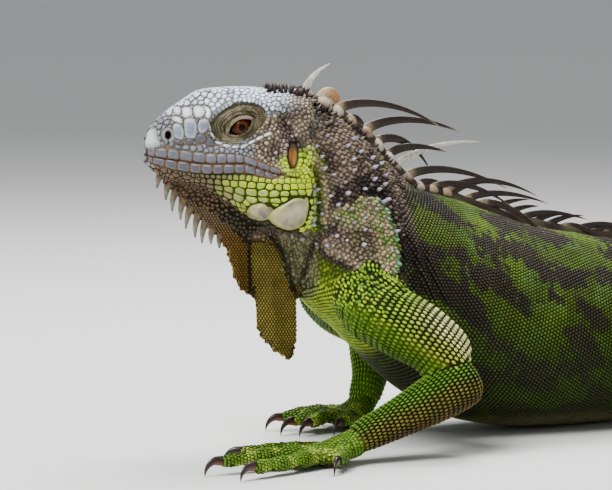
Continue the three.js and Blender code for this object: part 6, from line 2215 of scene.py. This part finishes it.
def scale_finish(name, roughness, gap=0.2, top=1.2, grain=0.05, coat=0.0, specular=0.16, middle=None):
    """Horny scales: painted shade at the foot of each scale, in the gaps, and a painted highlight on its
    top, with a fine grain and slight mottling.
    """
    f = Finish(name, roughness, coat, specular)
    # Painted shade and highlight by height: gap darkens the foot of each scale, top lightens its peak.
    levels = f.ramp(f.mark("rise"), (0, gap), middle or (0.5, 0.5 + gap * 0.5), (0.85, 1), (1, top))
    colour = f.blend("MULTIPLY", 1.0, f.mark("tint", "Color"), levels)
    colour = f.blend("MULTIPLY", 1.0, colour, f.ramp(f.noise(1.4), (0.3, 0.78), (0.7, 1.12)))
    colour = f.blend("MULTIPLY", 1.0, colour, f.ramp(f.noise(14, 4), (0.3, 0.86), (0.7, 1.1)))
    f.set("Base Color", colour)
    f.set("Roughness", f.ramp(f.noise(2.6), (0.3, roughness - 0.07), (0.7, roughness + 0.1)))
    f.bump((f.noise(0.55, 2), grain), (f.noise(2.2, 3), grain * 2))
    return f.material


def skin_finish():
    """The bare skin between scales: dull, with a fine grain."""
    f = Finish("skin", 0.6, specular=0.08)
    colour = f.blend("MULTIPLY", 1.0, f.mark("tint", "Color"),
                     f.ramp(f.noise(1.2), (0.3, 0.7), (0.7, 1.15)))
    f.set("Base Color", colour)
    f.bump((f.noise(0.6, 3), 0.06), (f.noise(1.9, 3), 0.16))
    return f.material


def horn_finish(name, roughness, coat, streak=(1, 1, 0.25), size=1.1):
    """Horn for the crest and claws: fine streaks along it and small pits."""
    f = Finish(name, roughness, coat)
    f.set("Coat Roughness", 0.25)
    streaks = f.noise(size, 5, 0.6, streak)
    colour = f.blend("MULTIPLY", 1.0, f.mark("tint", "Color"), f.ramp(streaks, (0.3, 0.66), (0.7, 1.25)))
    f.set("Base Color", colour)
    f.set("Roughness", f.ramp(f.noise(3), (0.3, roughness - 0.1), (0.7, roughness + 0.1)))
    f.bump((streaks, 0.1), (f.noise(0.5, 2), 0.03))
    return f.material


def shield_finish():
    """Jowl shields: pearly, with faint growth rings and darker clouds."""
    f = Finish("jowl_shield", 0.32, 0.25)
    f.set("Coat Roughness", 0.2)
    clouds = f.ramp(f.noise(5.5, 5, 0.6), (0.32, (0.70, 0.68, 0.78)), (0.66, 1.1))
    colour = f.blend("MULTIPLY", 1.0, f.mark("tint", "Color"), clouds)
    colour = f.blend("MULTIPLY", 0.6, colour, f.ramp(f.noise(0.8, 3), (0.35, 0.8), (0.65, 1.1)))
    f.set("Base Color", colour)
    f.bump((f.noise(1.2, 3), 0.03), (f.noise(6, 3), 0.3))
    return f.material


def drum_finish():
    """Eardrums: thin stretched skin, smooth, with faint streaks."""
    f = Finish("eardrum", 0.38, 0.2)
    streaks = f.noise(1.6, 4, 0.6, (1, 1, 0.4))
    colour = f.blend("MULTIPLY", 1.0, f.mark("tint", "Color"), f.ramp(streaks, (0.3, 0.75), (0.7, 1.15)))
    f.set("Base Color", colour)
    f.bump((streaks, 0.06), (f.noise(0.4, 2), 0.02))
    return f.material


def eye_finish():
    """Eye: black pupil, a thin gold ring, a streaked orange-brown iris and a dark rim, all wet."""
    f = Finish("eye", 0.35, 0.25, 0.0)
    f.set("Coat Roughness", 0.02)
    f.set("Coat IOR", 1.45)
    black = (0.004, 0.003, 0.003)
    gold, iris, rust, rim = shade(74, 52, 22), tone.iris, shade(46, 19, 11), shade(20, 11, 8)
    across = f.ramp(f.mark("gaze"), (0.0, black), (0.140, black), (0.150, gold),
                    (0.165, gold), (0.19, iris),
                    (0.34, rust), (0.46, rim), (1.0, shade(20, 12, 10)))
    streaks = f.noise(0.55, 4, 0.6, place=f.mark("spokes", "Vector"))
    colour = f.blend("MULTIPLY", f.ramp(f.mark("gaze"), (0.135, 0.0), (0.17, 1.0)), across,
                     f.ramp(streaks, (0.34, (0.45, 0.38, 0.34)), (0.62, (1.2, 1.2, 1.1))))
    f.set("Base Color", colour)
    return f.material


# ---- what the pieces share ---------------------------------------------------------------------------

class Bench:
    """The skin, the head's plates and the roots, kept between operators."""
    skin = None
    places = None
    groups = {}


def skin_tint(skin):
    """Colours of the bare skin that shows between scales: dark gaps, tan seams on the muzzle, painted shade
    in the nostrils.
    """
    points, has = skin.points, skin.has
    limbs = has["lower"] | has["upper"]
    bare = np.where(limbs, 0.05 + 0.6 * inner_side(points, has), 0.18)
    bare = np.where(has["digit"] | has["palm"], 0.4, bare)
    throat = has["head"] | (has["trunk"] & (chest_distance(points) < NECK_END))
    bare = np.where(throat & (points[:, 2] > 84) & (hanging_share(points) < 0.5), 0.5, bare)
    colour = colour_of(points, has) * bare[:, None]
    local = in_head(points)
    x, out, z = local[:, 0], np.abs(local[:, 1]), local[:, 2]
    lip = z - LIP_HIGH(x)
    on_it = has["head"] & (x > -12)
    muzzle = smooth_step(-6, -3, lip) * smooth_step(26, 34, x) * on_it
    colour = mix(colour, shade(112, 96, 80), muzzle * 0.85)
    colour = mix(colour, shade(120, 122, 118), smooth_step(21, 27, z) * on_it * 0.8)
    colour = mix(colour, shade(118, 90, 66), smooth_step(5.2, 4.2, np.abs(lip)) * (x > 4) * on_it)
    colour = mix(colour, shade(84, 56, 40), smooth_step(1.1, 0.4, np.abs(lip)) * (x > -2) * on_it)
    along, across = lid_plane(local)
    upper, lower = lid_edges(along)
    share, _ = orbit_share(local)
    near_eye = on_it & (out > 9)
    colour = mix(colour, lid_tints(local, points)[1] * 0.85, smooth_step(1.02, 0.96, share) * near_eye)
    colour = mix(colour, shade(60, 34, 26), 0.8 * smooth_step(0.05, 0.0, share) * near_eye)
    cheeks = smooth_step(-3.6, -5.0, lip) * on_it * smooth_step(52, 40, x)
    colour = mix(colour, shade(20, 20, 10), 0.85 * cheeks)
    inside = (np.abs(along) < LID_HALF_LENGTH) & (across < upper - 0.2) & (across > lower + 0.2) & near_eye
    colour = np.where(inside[:, None], shade(40, 26, 22), colour)
    # Painted shade in the nostril's hollow.
    nose = np.hypot(x - NOSTRIL_PLACE[0], (z - NOSTRIL_PLACE[2]) / 1.2)
    colour = np.where(((nose < 1.5) & (out > 4))[:, None], shade(22, 16, 15), colour)
    return colour


def sheet_roots(skin, pitch):
    """Roots in staggered rows on both faces of the dewlap."""
    roots = []
    hangs = (hanging_share(skin.points) > 0.5) & skin.has["trunk"]
    for sign in (1, -1):
        for row, z in enumerate(np.arange(-108, -2, pitch * 0.88)):
            for x in np.arange(-16, 68, pitch) + 0.5 * pitch * (row % 2):
                place, vertex = skin.from_side(x, z, sign, 11.0, 22)
                if place is None or not (skin.has["dewlap"][vertex] or hangs[vertex]):
                    continue
                uv = ((x + 18) / 90 * 0.5 + (0.5 if sign > 0 else 0), (z + 110) / 110)
                roots.append(Root(place, vertex, np.array([0.25, 0.05, -1.0]), pitch, pitch * 0.9, uv))
    return roots


def scattered(skin, vertices, step, room):
    """Points of the skin in mixed order, each kept only if it has room; room takes a point's number."""
    kept = []
    for vertex in shuffled(vertices, step):
        p = skin.points[vertex]
        if not kept or np.min(((np.array(kept) - p) ** 2).sum(1)) >= room(int(vertex)) ** 2:
            kept.append(p)
            yield p, int(vertex)


def cone_roots(skin, spacing):
    """Scattered cone scales on the sides of the neck and the nape."""
    local = in_head(skin.points)
    x, z = skin.points[:, 0], skin.points[:, 2]
    where = (skin.has["trunk"] | (skin.has["head"] & (local[:, 0] < -14))) & (x < 34) & (z > 104)
    where &= np.abs(skin.points[:, 1]) > 6
    where &= noise(skin.points, 14, 55) > 0.36
    roots = []
    for p, vertex in scattered(skin, np.nonzero(where)[0], 78.233,
                               lambda v: spacing * (0.72 + 0.55 * scatter(v % 977))):
        size = 2.1 + 1.2 * scatter(vertex % 613)
        uv = ((p[0] + 40) / 80, (p[2] - 100) / 90 * 0.5 + (0.5 if p[1] > 0 else 0))
        roots.append(Root(p, vertex, np.array([0.8, 0.1, 0.35]), size, size, uv))
    return roots


def nape_roots(skin):
    """Rough pointed scales crowded on the back of the crown and along the foot of the neck's crest."""
    local = in_head(skin.points)
    top = (local[:, 0] < 12) & (local[:, 0] > -14) & (np.abs(local[:, 1]) < 10) & (local[:, 2] > 25)
    line = np.abs(skin.points[:, 1] - np.interp(skin.points[:, 0], (-20, 0, 20, 60), (8, 0, 0, 0)))
    low = (skin.points[:, 0] < 60) & (local[:, 0] < -10) & (line < 10) & (skin.normals[:, 2] > 0.2)
    rows = np.nonzero((top | (low & skin.has["trunk"])) & (skin.points[:, 2] > 96))[0]
    roots = []
    for p, vertex in scattered(skin, rows, 45.164, lambda v: 1.5 + 1.3 * scatter(v % 331)):
        size = 1.8 + 2.0 * scatter(vertex % 719)
        uv = ((p[0] + 40) / 120, (p[2] - 90) / 110)
        roots.append(Root(p, vertex, np.array([0.9, 0.1, 0.2]), size * 1.2, size, uv))
    return roots


def nape_tint(points, _):
    """Nearly black, with a few pale scales."""
    chance = chances(len(points), 8.7, 517.9)
    return mix(mix(shade(40, 34, 32), tone.dark_brown, noise(points, 5, 54)), shade(150, 138, 124),
               0.7 * (chance > 0.84))


def neck_tint(points, has):
    """The neck's own colours with pinkish-brown crests on some scales."""
    chance = chances(len(points), 6.1, 613.1)
    colour = colour_of(points, has)
    plain = colour[:, 1] < colour[:, 0] * 1.05
    return mix(colour, shade(134, 118, 106), 0.5 * (chance > 0.82) * plain)


def cone_tint(points, _):
    """Lavender and cream, dark and olive toward the crown."""
    n = noise(points, 9, 53)
    dark = smooth_step(0.52, 0.66, n)
    high = smooth_step(150, 168, points[:, 2])
    colour = mix(tone.lavender * 0.72, mix(tone.cream, tone.olive, n) * 0.8, dark * 0.8)
    return mix(colour, mix(tone.dark_brown, tone.olive, n), high * 0.85)


def limb_groups(skin, name, limb, pitch, digit_pitch):
    """Roots of one limb's scales: upper part, lower part, palm and digits."""
    has = skin.has
    side = has[name.split("_")[1]] & has[name.split("_")[0]]
    on_digit = side & (has["digit"] | has["palm"])
    groups = []
    for i, line in enumerate(limb["digits"]):
        tile = (0.2 * i, 0.78, 0.18, 0.2)
        groups += rings_of_roots(skin, digit_frames(line, 60), digit_pitch, digit_pitch, on_digit, 9, tile)
    groups += rings_of_roots(skin, tube_frames(limb["palm"], 40), digit_pitch * 1.1,
                             digit_pitch * 1.1, on_digit, 20,
                             (0, 0.62, 1, 0.14))
    limbs = rings_of_roots(skin, tube_frames(limb["lower"], 90), pitch * 1.12, pitch * 0.86,
                           side & has["lower"], 26,
                           (0, 0.32, 1, 0.28))
    limbs += rings_of_roots(skin, tube_frames(limb["upper"], 90), pitch * 1.28, pitch,
                            side & has["upper"], 32,
                            (0, 0, 1, 0.30))
    return groups, limbs


def neck_roots(skin, on_neck, pitch):
    """Rough scales of the neck, their rows shaken out of line."""
    roots = []
    for i, root in enumerate(rings_of_roots(skin, body_frames(12), pitch * 0.92, pitch * 0.92, on_neck)):
        up = skin.normals[root.vertex]
        size = pitch * (0.72 + 0.55 * scatter(i + 3))
        across = unit(np.cross(up, (0.3, 0.2, 0.9)))
        aside = np.cross(up, across) * (scatter(i + 23) - 0.5) + across * (scatter(i + 37) - 0.5)
        lie = root.lie + np.array([0, 0, 0.5]) * (scatter(i + 11) - 0.5)
        roots.append(Root(root.place + aside * pitch * 0.6, root.vertex, lie, size, size, root.uv))
    return roots


def lay_out_roots(skin):
    """All the roots of the body, each group giving way to those before it, then a fill of bare places."""
    sizes, has, points = bpy.context.scene.iguana, skin.has, skin.points
    trunk, digit, limb_pitch = sizes.trunk_scale * MM, sizes.digit_scale * MM, sizes.limb_scale * MM
    tail = sizes.tail_scale * MM
    groups = {"head": [Root(p, v, HEAD_UP, 0.1, 0.1, (0, 0)) for p, v in Bench.places],
              "cones": cone_roots(skin, sizes.cone_spacing * MM)}
    for name, limb in LIMBS.items():
        pitch = limb_pitch * (1.08 if name.startswith("leg") else 1.0)
        groups[name + "_digits"], groups[name + "_limb"] = limb_groups(skin, name, limb, pitch, digit)
    tail_skin = has["tail"] & ~has["trunk"]
    groups["tail"] = rings_of_roots(skin, tail_frames(400), tail, tail * 0.76, tail_skin, 60)
    on_head_plates = has["head"] & (past_nape(points) > 0)
    on_trunk = has["trunk"] | (has["head"] & (past_nape(points) < 0))
    on_trunk &= hanging_share(points) <= 0.5
    on_neck = on_trunk & (chest_distance(points) < NECK_END) & (points[:, 2] > 84)
    groups["neck"] = neck_roots(skin, on_neck, sizes.neck_scale * MM)
    groups["trunk"] = rings_of_roots(skin, body_frames(12), trunk, trunk, on_trunk & ~on_neck)
    groups["dewlap"] = sheet_roots(skin, sizes.dewlap_scale * MM)
    kept = thin_out(skin, groups.values())
    size = np.where(has["digit"] | has["palm"], digit, sizes.trunk_scale * 1050)
    size = np.where(has["upper"] & has["arm"] & (arm_place(points)[1] > 2), sizes.limb_scale * 950, size)
    Bench.groups = dict(zip(groups, kept))
    Bench.groups["fill"] = fill_gaps(skin, kept, ~on_head_plates & (points[:, 2] > 0.5), size, 0.95)
    Bench.groups["nape"] = nape_roots(skin)


MOST_IN_PIECE = 10500              # scales of the trunk in one piece


def in_parts(roots, most):
    """Splits a list of roots into even parts along the body, none over a limit."""
    count = math.ceil(len(roots) / most)
    order = sorted(range(len(roots)), key=lambda i: roots[i][0][0])
    edges = [round(i * len(roots) / count) for i in range(count + 1)]
    return [[roots[k] for k in order[a:b]] for a, b in zip(edges[:-1], edges[1:])]


def add_head_half(name, coat, places, keep, finish):
    """The plates of one side of the head as a piece of their own."""
    number = np.cumsum(keep) - 1
    faces = [tuple(int(number[k]) for k in face) for face in coat.faces if keep[face[0]]]
    points, rise, colours, owner, patch = (values[keep] for values in (coat.points, *coat[2:]))
    mesh = mesh_of(name, points, faces)
    fix_outward(mesh)
    paint(mesh, "tint", np.clip(colours, 0, 1))
    mark(mesh, "rise", rise)
    root = in_head(places[owner])
    uv = np.column_stack([(root[:, 0] + 16) / 92, np.arctan2(root[:, 1], root[:, 2] + 2)
                          / (2 * np.pi) + 0.5])
    size = np.maximum(np.linalg.norm(patch, axis=1), 0.8)[:, None]
    uv = np.clip(uv, UNWRAP_EDGE, 1 - UNWRAP_EDGE)
    lay_patches(mesh, uv + patch / size * PATCH * (rise < 0.95)[:, None])
    add_piece(name, mesh, finish)


# ---- settings ----------------------------------------------------------------------------------------

def tone_property(name):
    """A colour of the panel, from the table of tones."""
    values, part = TONES[name]
    return bpy.props.FloatVectorProperty(name=name.replace("_", " ").capitalize(),
                                         description="Colour of the " + part,
                                         subtype="COLOR", size=3, min=0, max=1,
                                         default=tuple(shade(*values)))


class IguanaColours(bpy.types.PropertyGroup):
    """The animal's colours."""
    __annotations__ = {name: tone_property(name) for name in TONES}


def size_property(name, description, default):
    """A length of the panel, in metres."""
    return bpy.props.FloatProperty(name=name, description=description, default=default,
                                   min=0.0005, max=0.05,
                                   unit="LENGTH", precision=4)


class IguanaSettings(bpy.types.PropertyGroup):
    """Sizes of the scales and strengths of the lights."""
    trunk_scale: size_property("Trunk scale", "Distance between scale rows on the trunk", 0.00185)
    neck_scale: size_property("Neck scale", "Size of the rough keeled scales of the neck", 0.0021)
    tail_scale: size_property("Tail scale", "Length of the keeled scales of the tail", 0.0030)
    limb_scale: size_property("Limb scale", "Size of the scales of the arms and legs", 0.0023)
    digit_scale: size_property("Finger scale", "Size of the scales of the fingers and toes", 0.00180)
    dewlap_scale: size_property("Dewlap scale", "Size of the scales of the hanging throat skin", 0.0015)
    cone_spacing: size_property("Cone spacing", "Distance between the cone scales of the neck", 0.0068)
    key_power: bpy.props.FloatProperty(name="Key light", description="Power of the main light",
                                       default=56.0, min=0.0, unit="POWER")
    fill_power: bpy.props.FloatProperty(name="Fill light",
                                        description="Power of the light from the other side",
                                        default=3.0, min=0.0, unit="POWER")
    floor_colour: bpy.props.FloatVectorProperty(name="Floor colour", description="Colour of the floor",
                                                subtype="COLOR", size=3, min=0, max=1,
                                                default=(0.72, 0.72, 0.70))


# ---- operators ---------------------------------------------------------------------------------------

class PieceOperator(bpy.types.Operator):
    """What all the operators share."""
    bl_options = {"REGISTER", "UNDO"}


class IGUANA_OT_skin(PieceOperator):
    """Makes the one skin that covers all the flesh"""
    bl_idname = "iguana.skin"
    bl_label = "Skin"

    def execute(self, context):
        mesh, has = build_skin_mesh()
        Bench.skin = Skin(mesh, has)
        mesh.name = "skin"
        paint(mesh, "tint", skin_tint(Bench.skin))
        add_piece("skin", mesh, skin_finish(), FLESH)
        return {"FINISHED"}


class IGUANA_OT_head_scales(PieceOperator):
    """Makes the plates and granules of the head"""
    bl_idname = "iguana.head_scales"
    bl_label = "Head scales"

    def execute(self, context):
        coat, places, Bench.places = head_coat(Bench.skin)
        finish = scale_finish("head_plates", 0.40, gap=0.30, top=1.12, grain=0.035,
                              coat=0.10, specular=0.28)
        leftward = in_head(places[coat.owner])[:, 1] >= 0
        add_head_half("head_scales_left", coat, places, leftward, finish)
        add_head_half("head_scales_right", coat, places, ~leftward, finish)
        line = even(curve(UNDER_EYE, np.linspace(0, 1, 300)), 10)
        roots = []
        for i, ((x, z), step) in enumerate(zip(line, np.diff(line, axis=0))):
            lie = step[0] * HEAD_FORWARD + step[1] * HEAD_UP
            length, width = float(np.linalg.norm(step)) * 1.2, 1.3 + 0.12 * i
            for sign in (1, -1):
                place, vertex = Bench.skin.from_side(x, z, sign)
                roots.append(Root(place, vertex, -lie, length, width, ((x + 16) / 92, 0.5 + 0.18 * sign)))
        white = scale_finish("eye_row", 0.35, 0.5, 1.1, 0.02, 0.1)
        scales_on(Bench.skin, "eye_rows", roots, "keel", 0.95, white, 0.52, 0.5,
                  lambda points, _: np.tile(shade(222, 220, 212), (len(points), 1)))
        return {"FINISHED"}


class IGUANA_OT_trunk_scales(PieceOperator):
    """Lays the rows of small scales and the cone scales on the neck and trunk"""
    bl_idname = "iguana.trunk_scales"
    bl_label = "Trunk scales"

    def execute(self, context):
        skin = Bench.skin
        lay_out_roots(skin)
        finish = scale_finish("trunk_scales", 0.50)
        for i, part in enumerate(in_parts(Bench.groups["trunk"], MOST_IN_PIECE)):
            scales_on(skin, f"trunk_scales_{i + 1}", part, "plain", 0.62, finish, 0.52, 0.50)
        scales_on(skin, "small_scales", Bench.groups["fill"], "bead", 0.5, finish, 0.56, 0.56)
        rough = scale_finish("neck_scales", 0.5, 0.3, 1.35)
        scales_on(skin, "neck_scales", Bench.groups["neck"], "keel", 0.85, rough,
                  0.62, 0.56, neck_tint, 0.12)
        horn = scale_finish("cone_scales", 0.36, 0.12, 1.25, 0.03, 0.1)
        scales_on(skin, "neck_cones", Bench.groups["cones"], "cone", 2.2, horn,
                  0.62, 0.58, cone_tint)
        scales_on(skin, "nape_scales", Bench.groups["nape"], "cone", 3.0, rough,
                  0.56, 0.4, nape_tint, 0.2)
        return {"FINISHED"}


class IGUANA_OT_tail_scales(PieceOperator):
    """Lays the keeled scales of the tail"""
    bl_idname = "iguana.tail_scales"
    bl_label = "Tail scales"

    def execute(self, context):
        finish = scale_finish("tail_scales", 0.48)
        scales_on(Bench.skin, "tail_scales", Bench.groups["tail"], "keel", 0.8, finish,
                  0.62, 0.58)
        return {"FINISHED"}


class IGUANA_OT_limb_scales(PieceOperator):
    """Lays the scales of the arms, legs, fingers and toes"""
    bl_idname = "iguana.limb_scales"
    bl_label = "Limb scales"

    def execute(self, context):
        finish = scale_finish("limb_scales", 0.42, 0.03, 1.35, middle=(0.6, 0.14))
        for name in LIMBS:
            scales_on(Bench.skin, name + "_scales", Bench.groups[name + "_limb"],
                      "bead", 0.95, finish,
                      0.54, 0.42)
            scales_on(Bench.skin, name + "_toe_scales", Bench.groups[name + "_digits"],
                      "bead", 0.36, finish,
                      0.56, 0.54)
        return {"FINISHED"}


class IGUANA_OT_dewlap_scales(PieceOperator):
    """Lays the scales of the hanging throat skin"""
    bl_idname = "iguana.dewlap_scales"
    bl_label = "Dewlap scales"

    def execute(self, context):
        finish = scale_finish("dewlap_scales", 0.55, 0.1, 1.35)
        scales_on(Bench.skin, "dewlap_scales", Bench.groups["dewlap"], "plain", 0.3,
                  finish, 0.56, 0.54)
        return {"FINISHED"}


class IGUANA_OT_eyes(PieceOperator):
    """Makes both eyeballs"""
    bl_idname = "iguana.eyes"
    bl_label = "Eyes"

    def execute(self, context):
        finish = eye_finish()
        for side, sign in SIDES:
            add_piece(f"eyeball_{side}", eye_mesh(f"eyeball_{side}", sign), finish, [f"eye_{side}"])
        return {"FINISHED"}


class IGUANA_OT_eardrums(PieceOperator):
    """Makes both eardrums"""
    bl_idname = "iguana.eardrums"
    bl_label = "Eardrums"

    def execute(self, context):
        finish = drum_finish()
        for side, sign in SIDES:
            painted_piece(f"drum_{side}", [drum_parts(Bench.skin, sign)], finish,
                          [f"eardrum_{side}"])
        return {"FINISHED"}


class IGUANA_OT_nostrils(PieceOperator):
    """Makes the raised rims of both nostrils"""
    bl_idname = "iguana.nostrils"
    bl_label = "Nostrils"

    def execute(self, context):
        finish = horn_finish("nostril_rim", 0.42, 0.1)
        painted_piece("nostril_rims", [nostril_parts(Bench.skin, sign) for sign in (1, -1)],
                      finish)
        return {"FINISHED"}


class IGUANA_OT_jowl_shields(PieceOperator):
    """Makes the large smooth shields of the jowls"""
    bl_idname = "iguana.jowl_shields"
    bl_label = "Jowl shields"

    def execute(self, context):
        finish = shield_finish()
        for side, sign in SIDES:
            for label, outline, plate, big in (("", SHIELD_OUTLINE, JOWL_PLATE, True),
                                               ("_front", FRONT_SHIELD_OUTLINE, JOWL_PLATE_FRONT, False)):
                parts = [shield_parts(Bench.skin, outline, plate, sign, big)]
                painted_piece(f"jowl_shield{label}_{side}", parts, finish,
                              [f"jowl_plate{label}_{side}"])
        return {"FINISHED"}


class IGUANA_OT_crest(PieceOperator):
    """Makes the crest blades of the neck, back and tail"""
    bl_idname = "iguana.crest"
    bl_label = "Crest"

    def execute(self, context):
        finish = horn_finish("crest_horn", 0.42, 0.05)
        for span in CREST_SPANS:
            painted_piece(span.replace("crest", "blades"), crest_parts(span), finish, [span])
        return {"FINISHED"}


class IGUANA_OT_fringe(PieceOperator):
    """Makes the small soft spikes along the front edge of the dewlap"""
    bl_idname = "iguana.fringe"
    bl_label = "Throat fringe"

    def execute(self, context):
        parts = []
        for i in range(9):
            t = i / 8
            base = on_head((64 - 30 * t, 0, -11 - 32 * t ** 0.9))
            length = 5.5 + 6.5 * math.sin(math.pi * (0.08 + 0.82 * t)) + 3.5 * (scatter(i + 60) - 0.3)
            rings = blade(base + HEAD_UP * 1.5, HEAD_FORWARD, length, -48 - 10 * scatter(i),
                          -86 - 14 * scatter(i + 20),
                             4.4, 2.8, 0.25 * (scatter(i + 40) - 0.5), 10, 12, 0.12)
            verts, faces = loft(rings)
            pale = mix(shade(104, 112, 96), shade(134, 132, 112), scatter(i + 80))
            colour = ring_colours(rings, [(0, shade(92, 74, 52)), (0.4, shade(108, 96, 78)),
                                          (0.75, pale), (1, pale * 0.8)])
            colour = colour * (0.6 + 0.7 * noise(verts, 1.6, 67))[:, None]
            parts.append((verts, faces, np.clip(colour, 0, 1)))
        painted_piece("throat_fringe", parts, horn_finish("fringe_horn", 0.5, 0.0))
        return {"FINISHED"}


class IGUANA_OT_claws(PieceOperator):
    """Makes the claws of all four feet"""
    bl_idname = "iguana.claws"
    bl_label = "Claws"

    def execute(self, context):
        finish = horn_finish("claw_horn", 0.3, 0.3, (1, 1, 1), 1.6)
        for limb in LIMBS.values():
            nodes = [f"{limb['claws']}_{i + 1}" for i in range(5)]
            name = limb["claws"].replace("claw", "claws")
            painted_piece(name, [claw_parts(line) for line in limb["digits"]], finish, nodes)
        return {"FINISHED"}


CAMERA_TURN = math.radians(-30)    # from straight at the left side toward the head
CAMERA_RISE = math.radians(5)
CAMERA_DISTANCE = 1600             # millimetres, as all of the stage's places
LENS, SENSOR = 188.2, 36
FLOOR_REACH = 40                   # metres
FAR_FLOOR = 1.32                   # how much paler the floor is far away


def looking(right, up, back, place):
    """The placing of a thing that looks against `back`."""
    rows = np.eye(4)
    rows[:3, 0], rows[:3, 1], rows[:3, 2], rows[:3, 3] = right, up, back, place
    return Matrix(rows.tolist())


def add_light(name, place, target, power, size):
    """A square lamp that faces a place."""
    lamp = bpy.data.lights.new(name, "AREA")
    lamp.energy, lamp.size = power, size
    back = unit(place - target)
    right = unit(np.cross((0, 0, 1), back))
    in_scene(name, lamp).matrix_world = looking(right, np.cross(back, right), back, place)


def floor_finish(pale):
    """Plaster that grows paler far from the animal."""
    plaster = Finish("floor", 0.8)
    far = plaster.nodes.new("ShaderNodeVectorMath")
    far.operation = "LENGTH"
    plaster.link(plaster.place, far.inputs[0])
    reach = plaster.nodes.new("ShaderNodeMath")
    reach.operation = "DIVIDE"
    reach.inputs[1].default_value = 5.0
    plaster.link(far.outputs["Value"], reach.inputs[0])
    plaster.set("Base Color", plaster.ramp(reach.outputs[0], (0.2, pale),
                                           (1.0, np.minimum(pale * FAR_FLOOR, 0.95))))
    return plaster.material


class IGUANA_OT_stage(PieceOperator):
    """Makes the floor, the lights and the camera"""
    bl_idname = "iguana.stage"
    bl_label = "Stage"

    def execute(self, context):
        right = np.array([math.cos(CAMERA_TURN), math.sin(CAMERA_TURN), 0])
        level = math.cos(CAMERA_RISE)
        back = np.array([math.sin(CAMERA_TURN) * level, -math.cos(CAMERA_TURN) * level,
                         math.sin(CAMERA_RISE)])
        up = np.cross(back, right)
        target = np.array([0, -38, 78]) - 19.5 * right + 27.5 * up
        camera = bpy.data.cameras.new("camera")
        camera.lens, camera.sensor_width = LENS, SENSOR
        camera.clip_end = 200
        holder = in_scene("camera", camera)
        holder.matrix_world = looking(right, up, back, placed(target + CAMERA_DISTANCE * back))
        context.scene.camera = holder
        work = bmesh.new()
        bmesh.ops.create_circle(work, cap_ends=True, segments=96, radius=FLOOR_REACH)
        disc = bpy.data.meshes.new("floor")
        work.to_mesh(disc)
        work.free()
        floor = in_scene("floor", disc)
        values = context.scene.iguana
        disc.materials.append(floor_finish(np.array(values.floor_colour)))
        floor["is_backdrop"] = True
        middle = placed(target)
        add_light("key", middle + 0.9 * back - 0.7 * right + 1.35 * up, middle, values.key_power, 0.9)
        add_light("fill", middle + 0.5 * back + 1.7 * right + 0.6 * up, middle, values.fill_power, 1.6)
        add_light("rim", middle - 0.6 * back + 0.2 * right + 1.3 * up, middle, values.key_power * 0.7, 0.8)
        world = bpy.data.worlds.new("soft_room")
        world.use_nodes = True
        sky = world.node_tree.nodes["Background"]
        sky.inputs["Color"].default_value = (0.80, 0.83, 0.86, 1)
        sky.inputs["Strength"].default_value = 0.42
        context.scene.world = world
        return {"FINISHED"}


OPERATORS = [
    IGUANA_OT_stage, IGUANA_OT_skin, IGUANA_OT_head_scales, IGUANA_OT_trunk_scales, IGUANA_OT_tail_scales,
    IGUANA_OT_limb_scales, IGUANA_OT_dewlap_scales, IGUANA_OT_eyes, IGUANA_OT_eardrums, IGUANA_OT_nostrils,
    IGUANA_OT_jowl_shields, IGUANA_OT_crest, IGUANA_OT_fringe, IGUANA_OT_claws,
]


class IGUANA_PT_panel(bpy.types.Panel):
    """Lists the iguana's settings and pieces"""
    bl_idname = "IGUANA_PT_panel"
    bl_label = "Green iguana"
    bl_space_type = "VIEW_3D"
    bl_region_type = "UI"
    bl_category = "Iguana"

    def draw(self, context):
        column = self.layout.column()
        for name in IguanaSettings.__annotations__:
            column.prop(context.scene.iguana, name)
        for name in TONES:
            column.prop(context.scene.iguana_colours, name)
        for operator in OPERATORS:
            column.operator(operator.bl_idname)


CLASSES = [IguanaColours, IguanaSettings, *OPERATORS, IGUANA_PT_panel]


def register():
    for item in CLASSES:
        bpy.utils.register_class(item)
    bpy.types.Scene.iguana = bpy.props.PointerProperty(type=IguanaSettings)
    bpy.types.Scene.iguana_colours = bpy.props.PointerProperty(type=IguanaColours)


def unregister():
    del bpy.types.Scene.iguana_colours
    del bpy.types.Scene.iguana
    for item in reversed(CLASSES):
        bpy.utils.unregister_class(item)


def main():
    """Builds everything in order, then measures the frame and the finished model."""
    register()
    for operator in OPERATORS:
        group, name = operator.bl_idname.split(".")
        getattr(getattr(bpy.ops, group), name)()
    boxes = {"cad": CAD_BOX, "visual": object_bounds()}
    {key: [[round(v, 6) for v in corner] for corner in box] for key, box in boxes.items()}


if __name__ == "__main__":
    main()
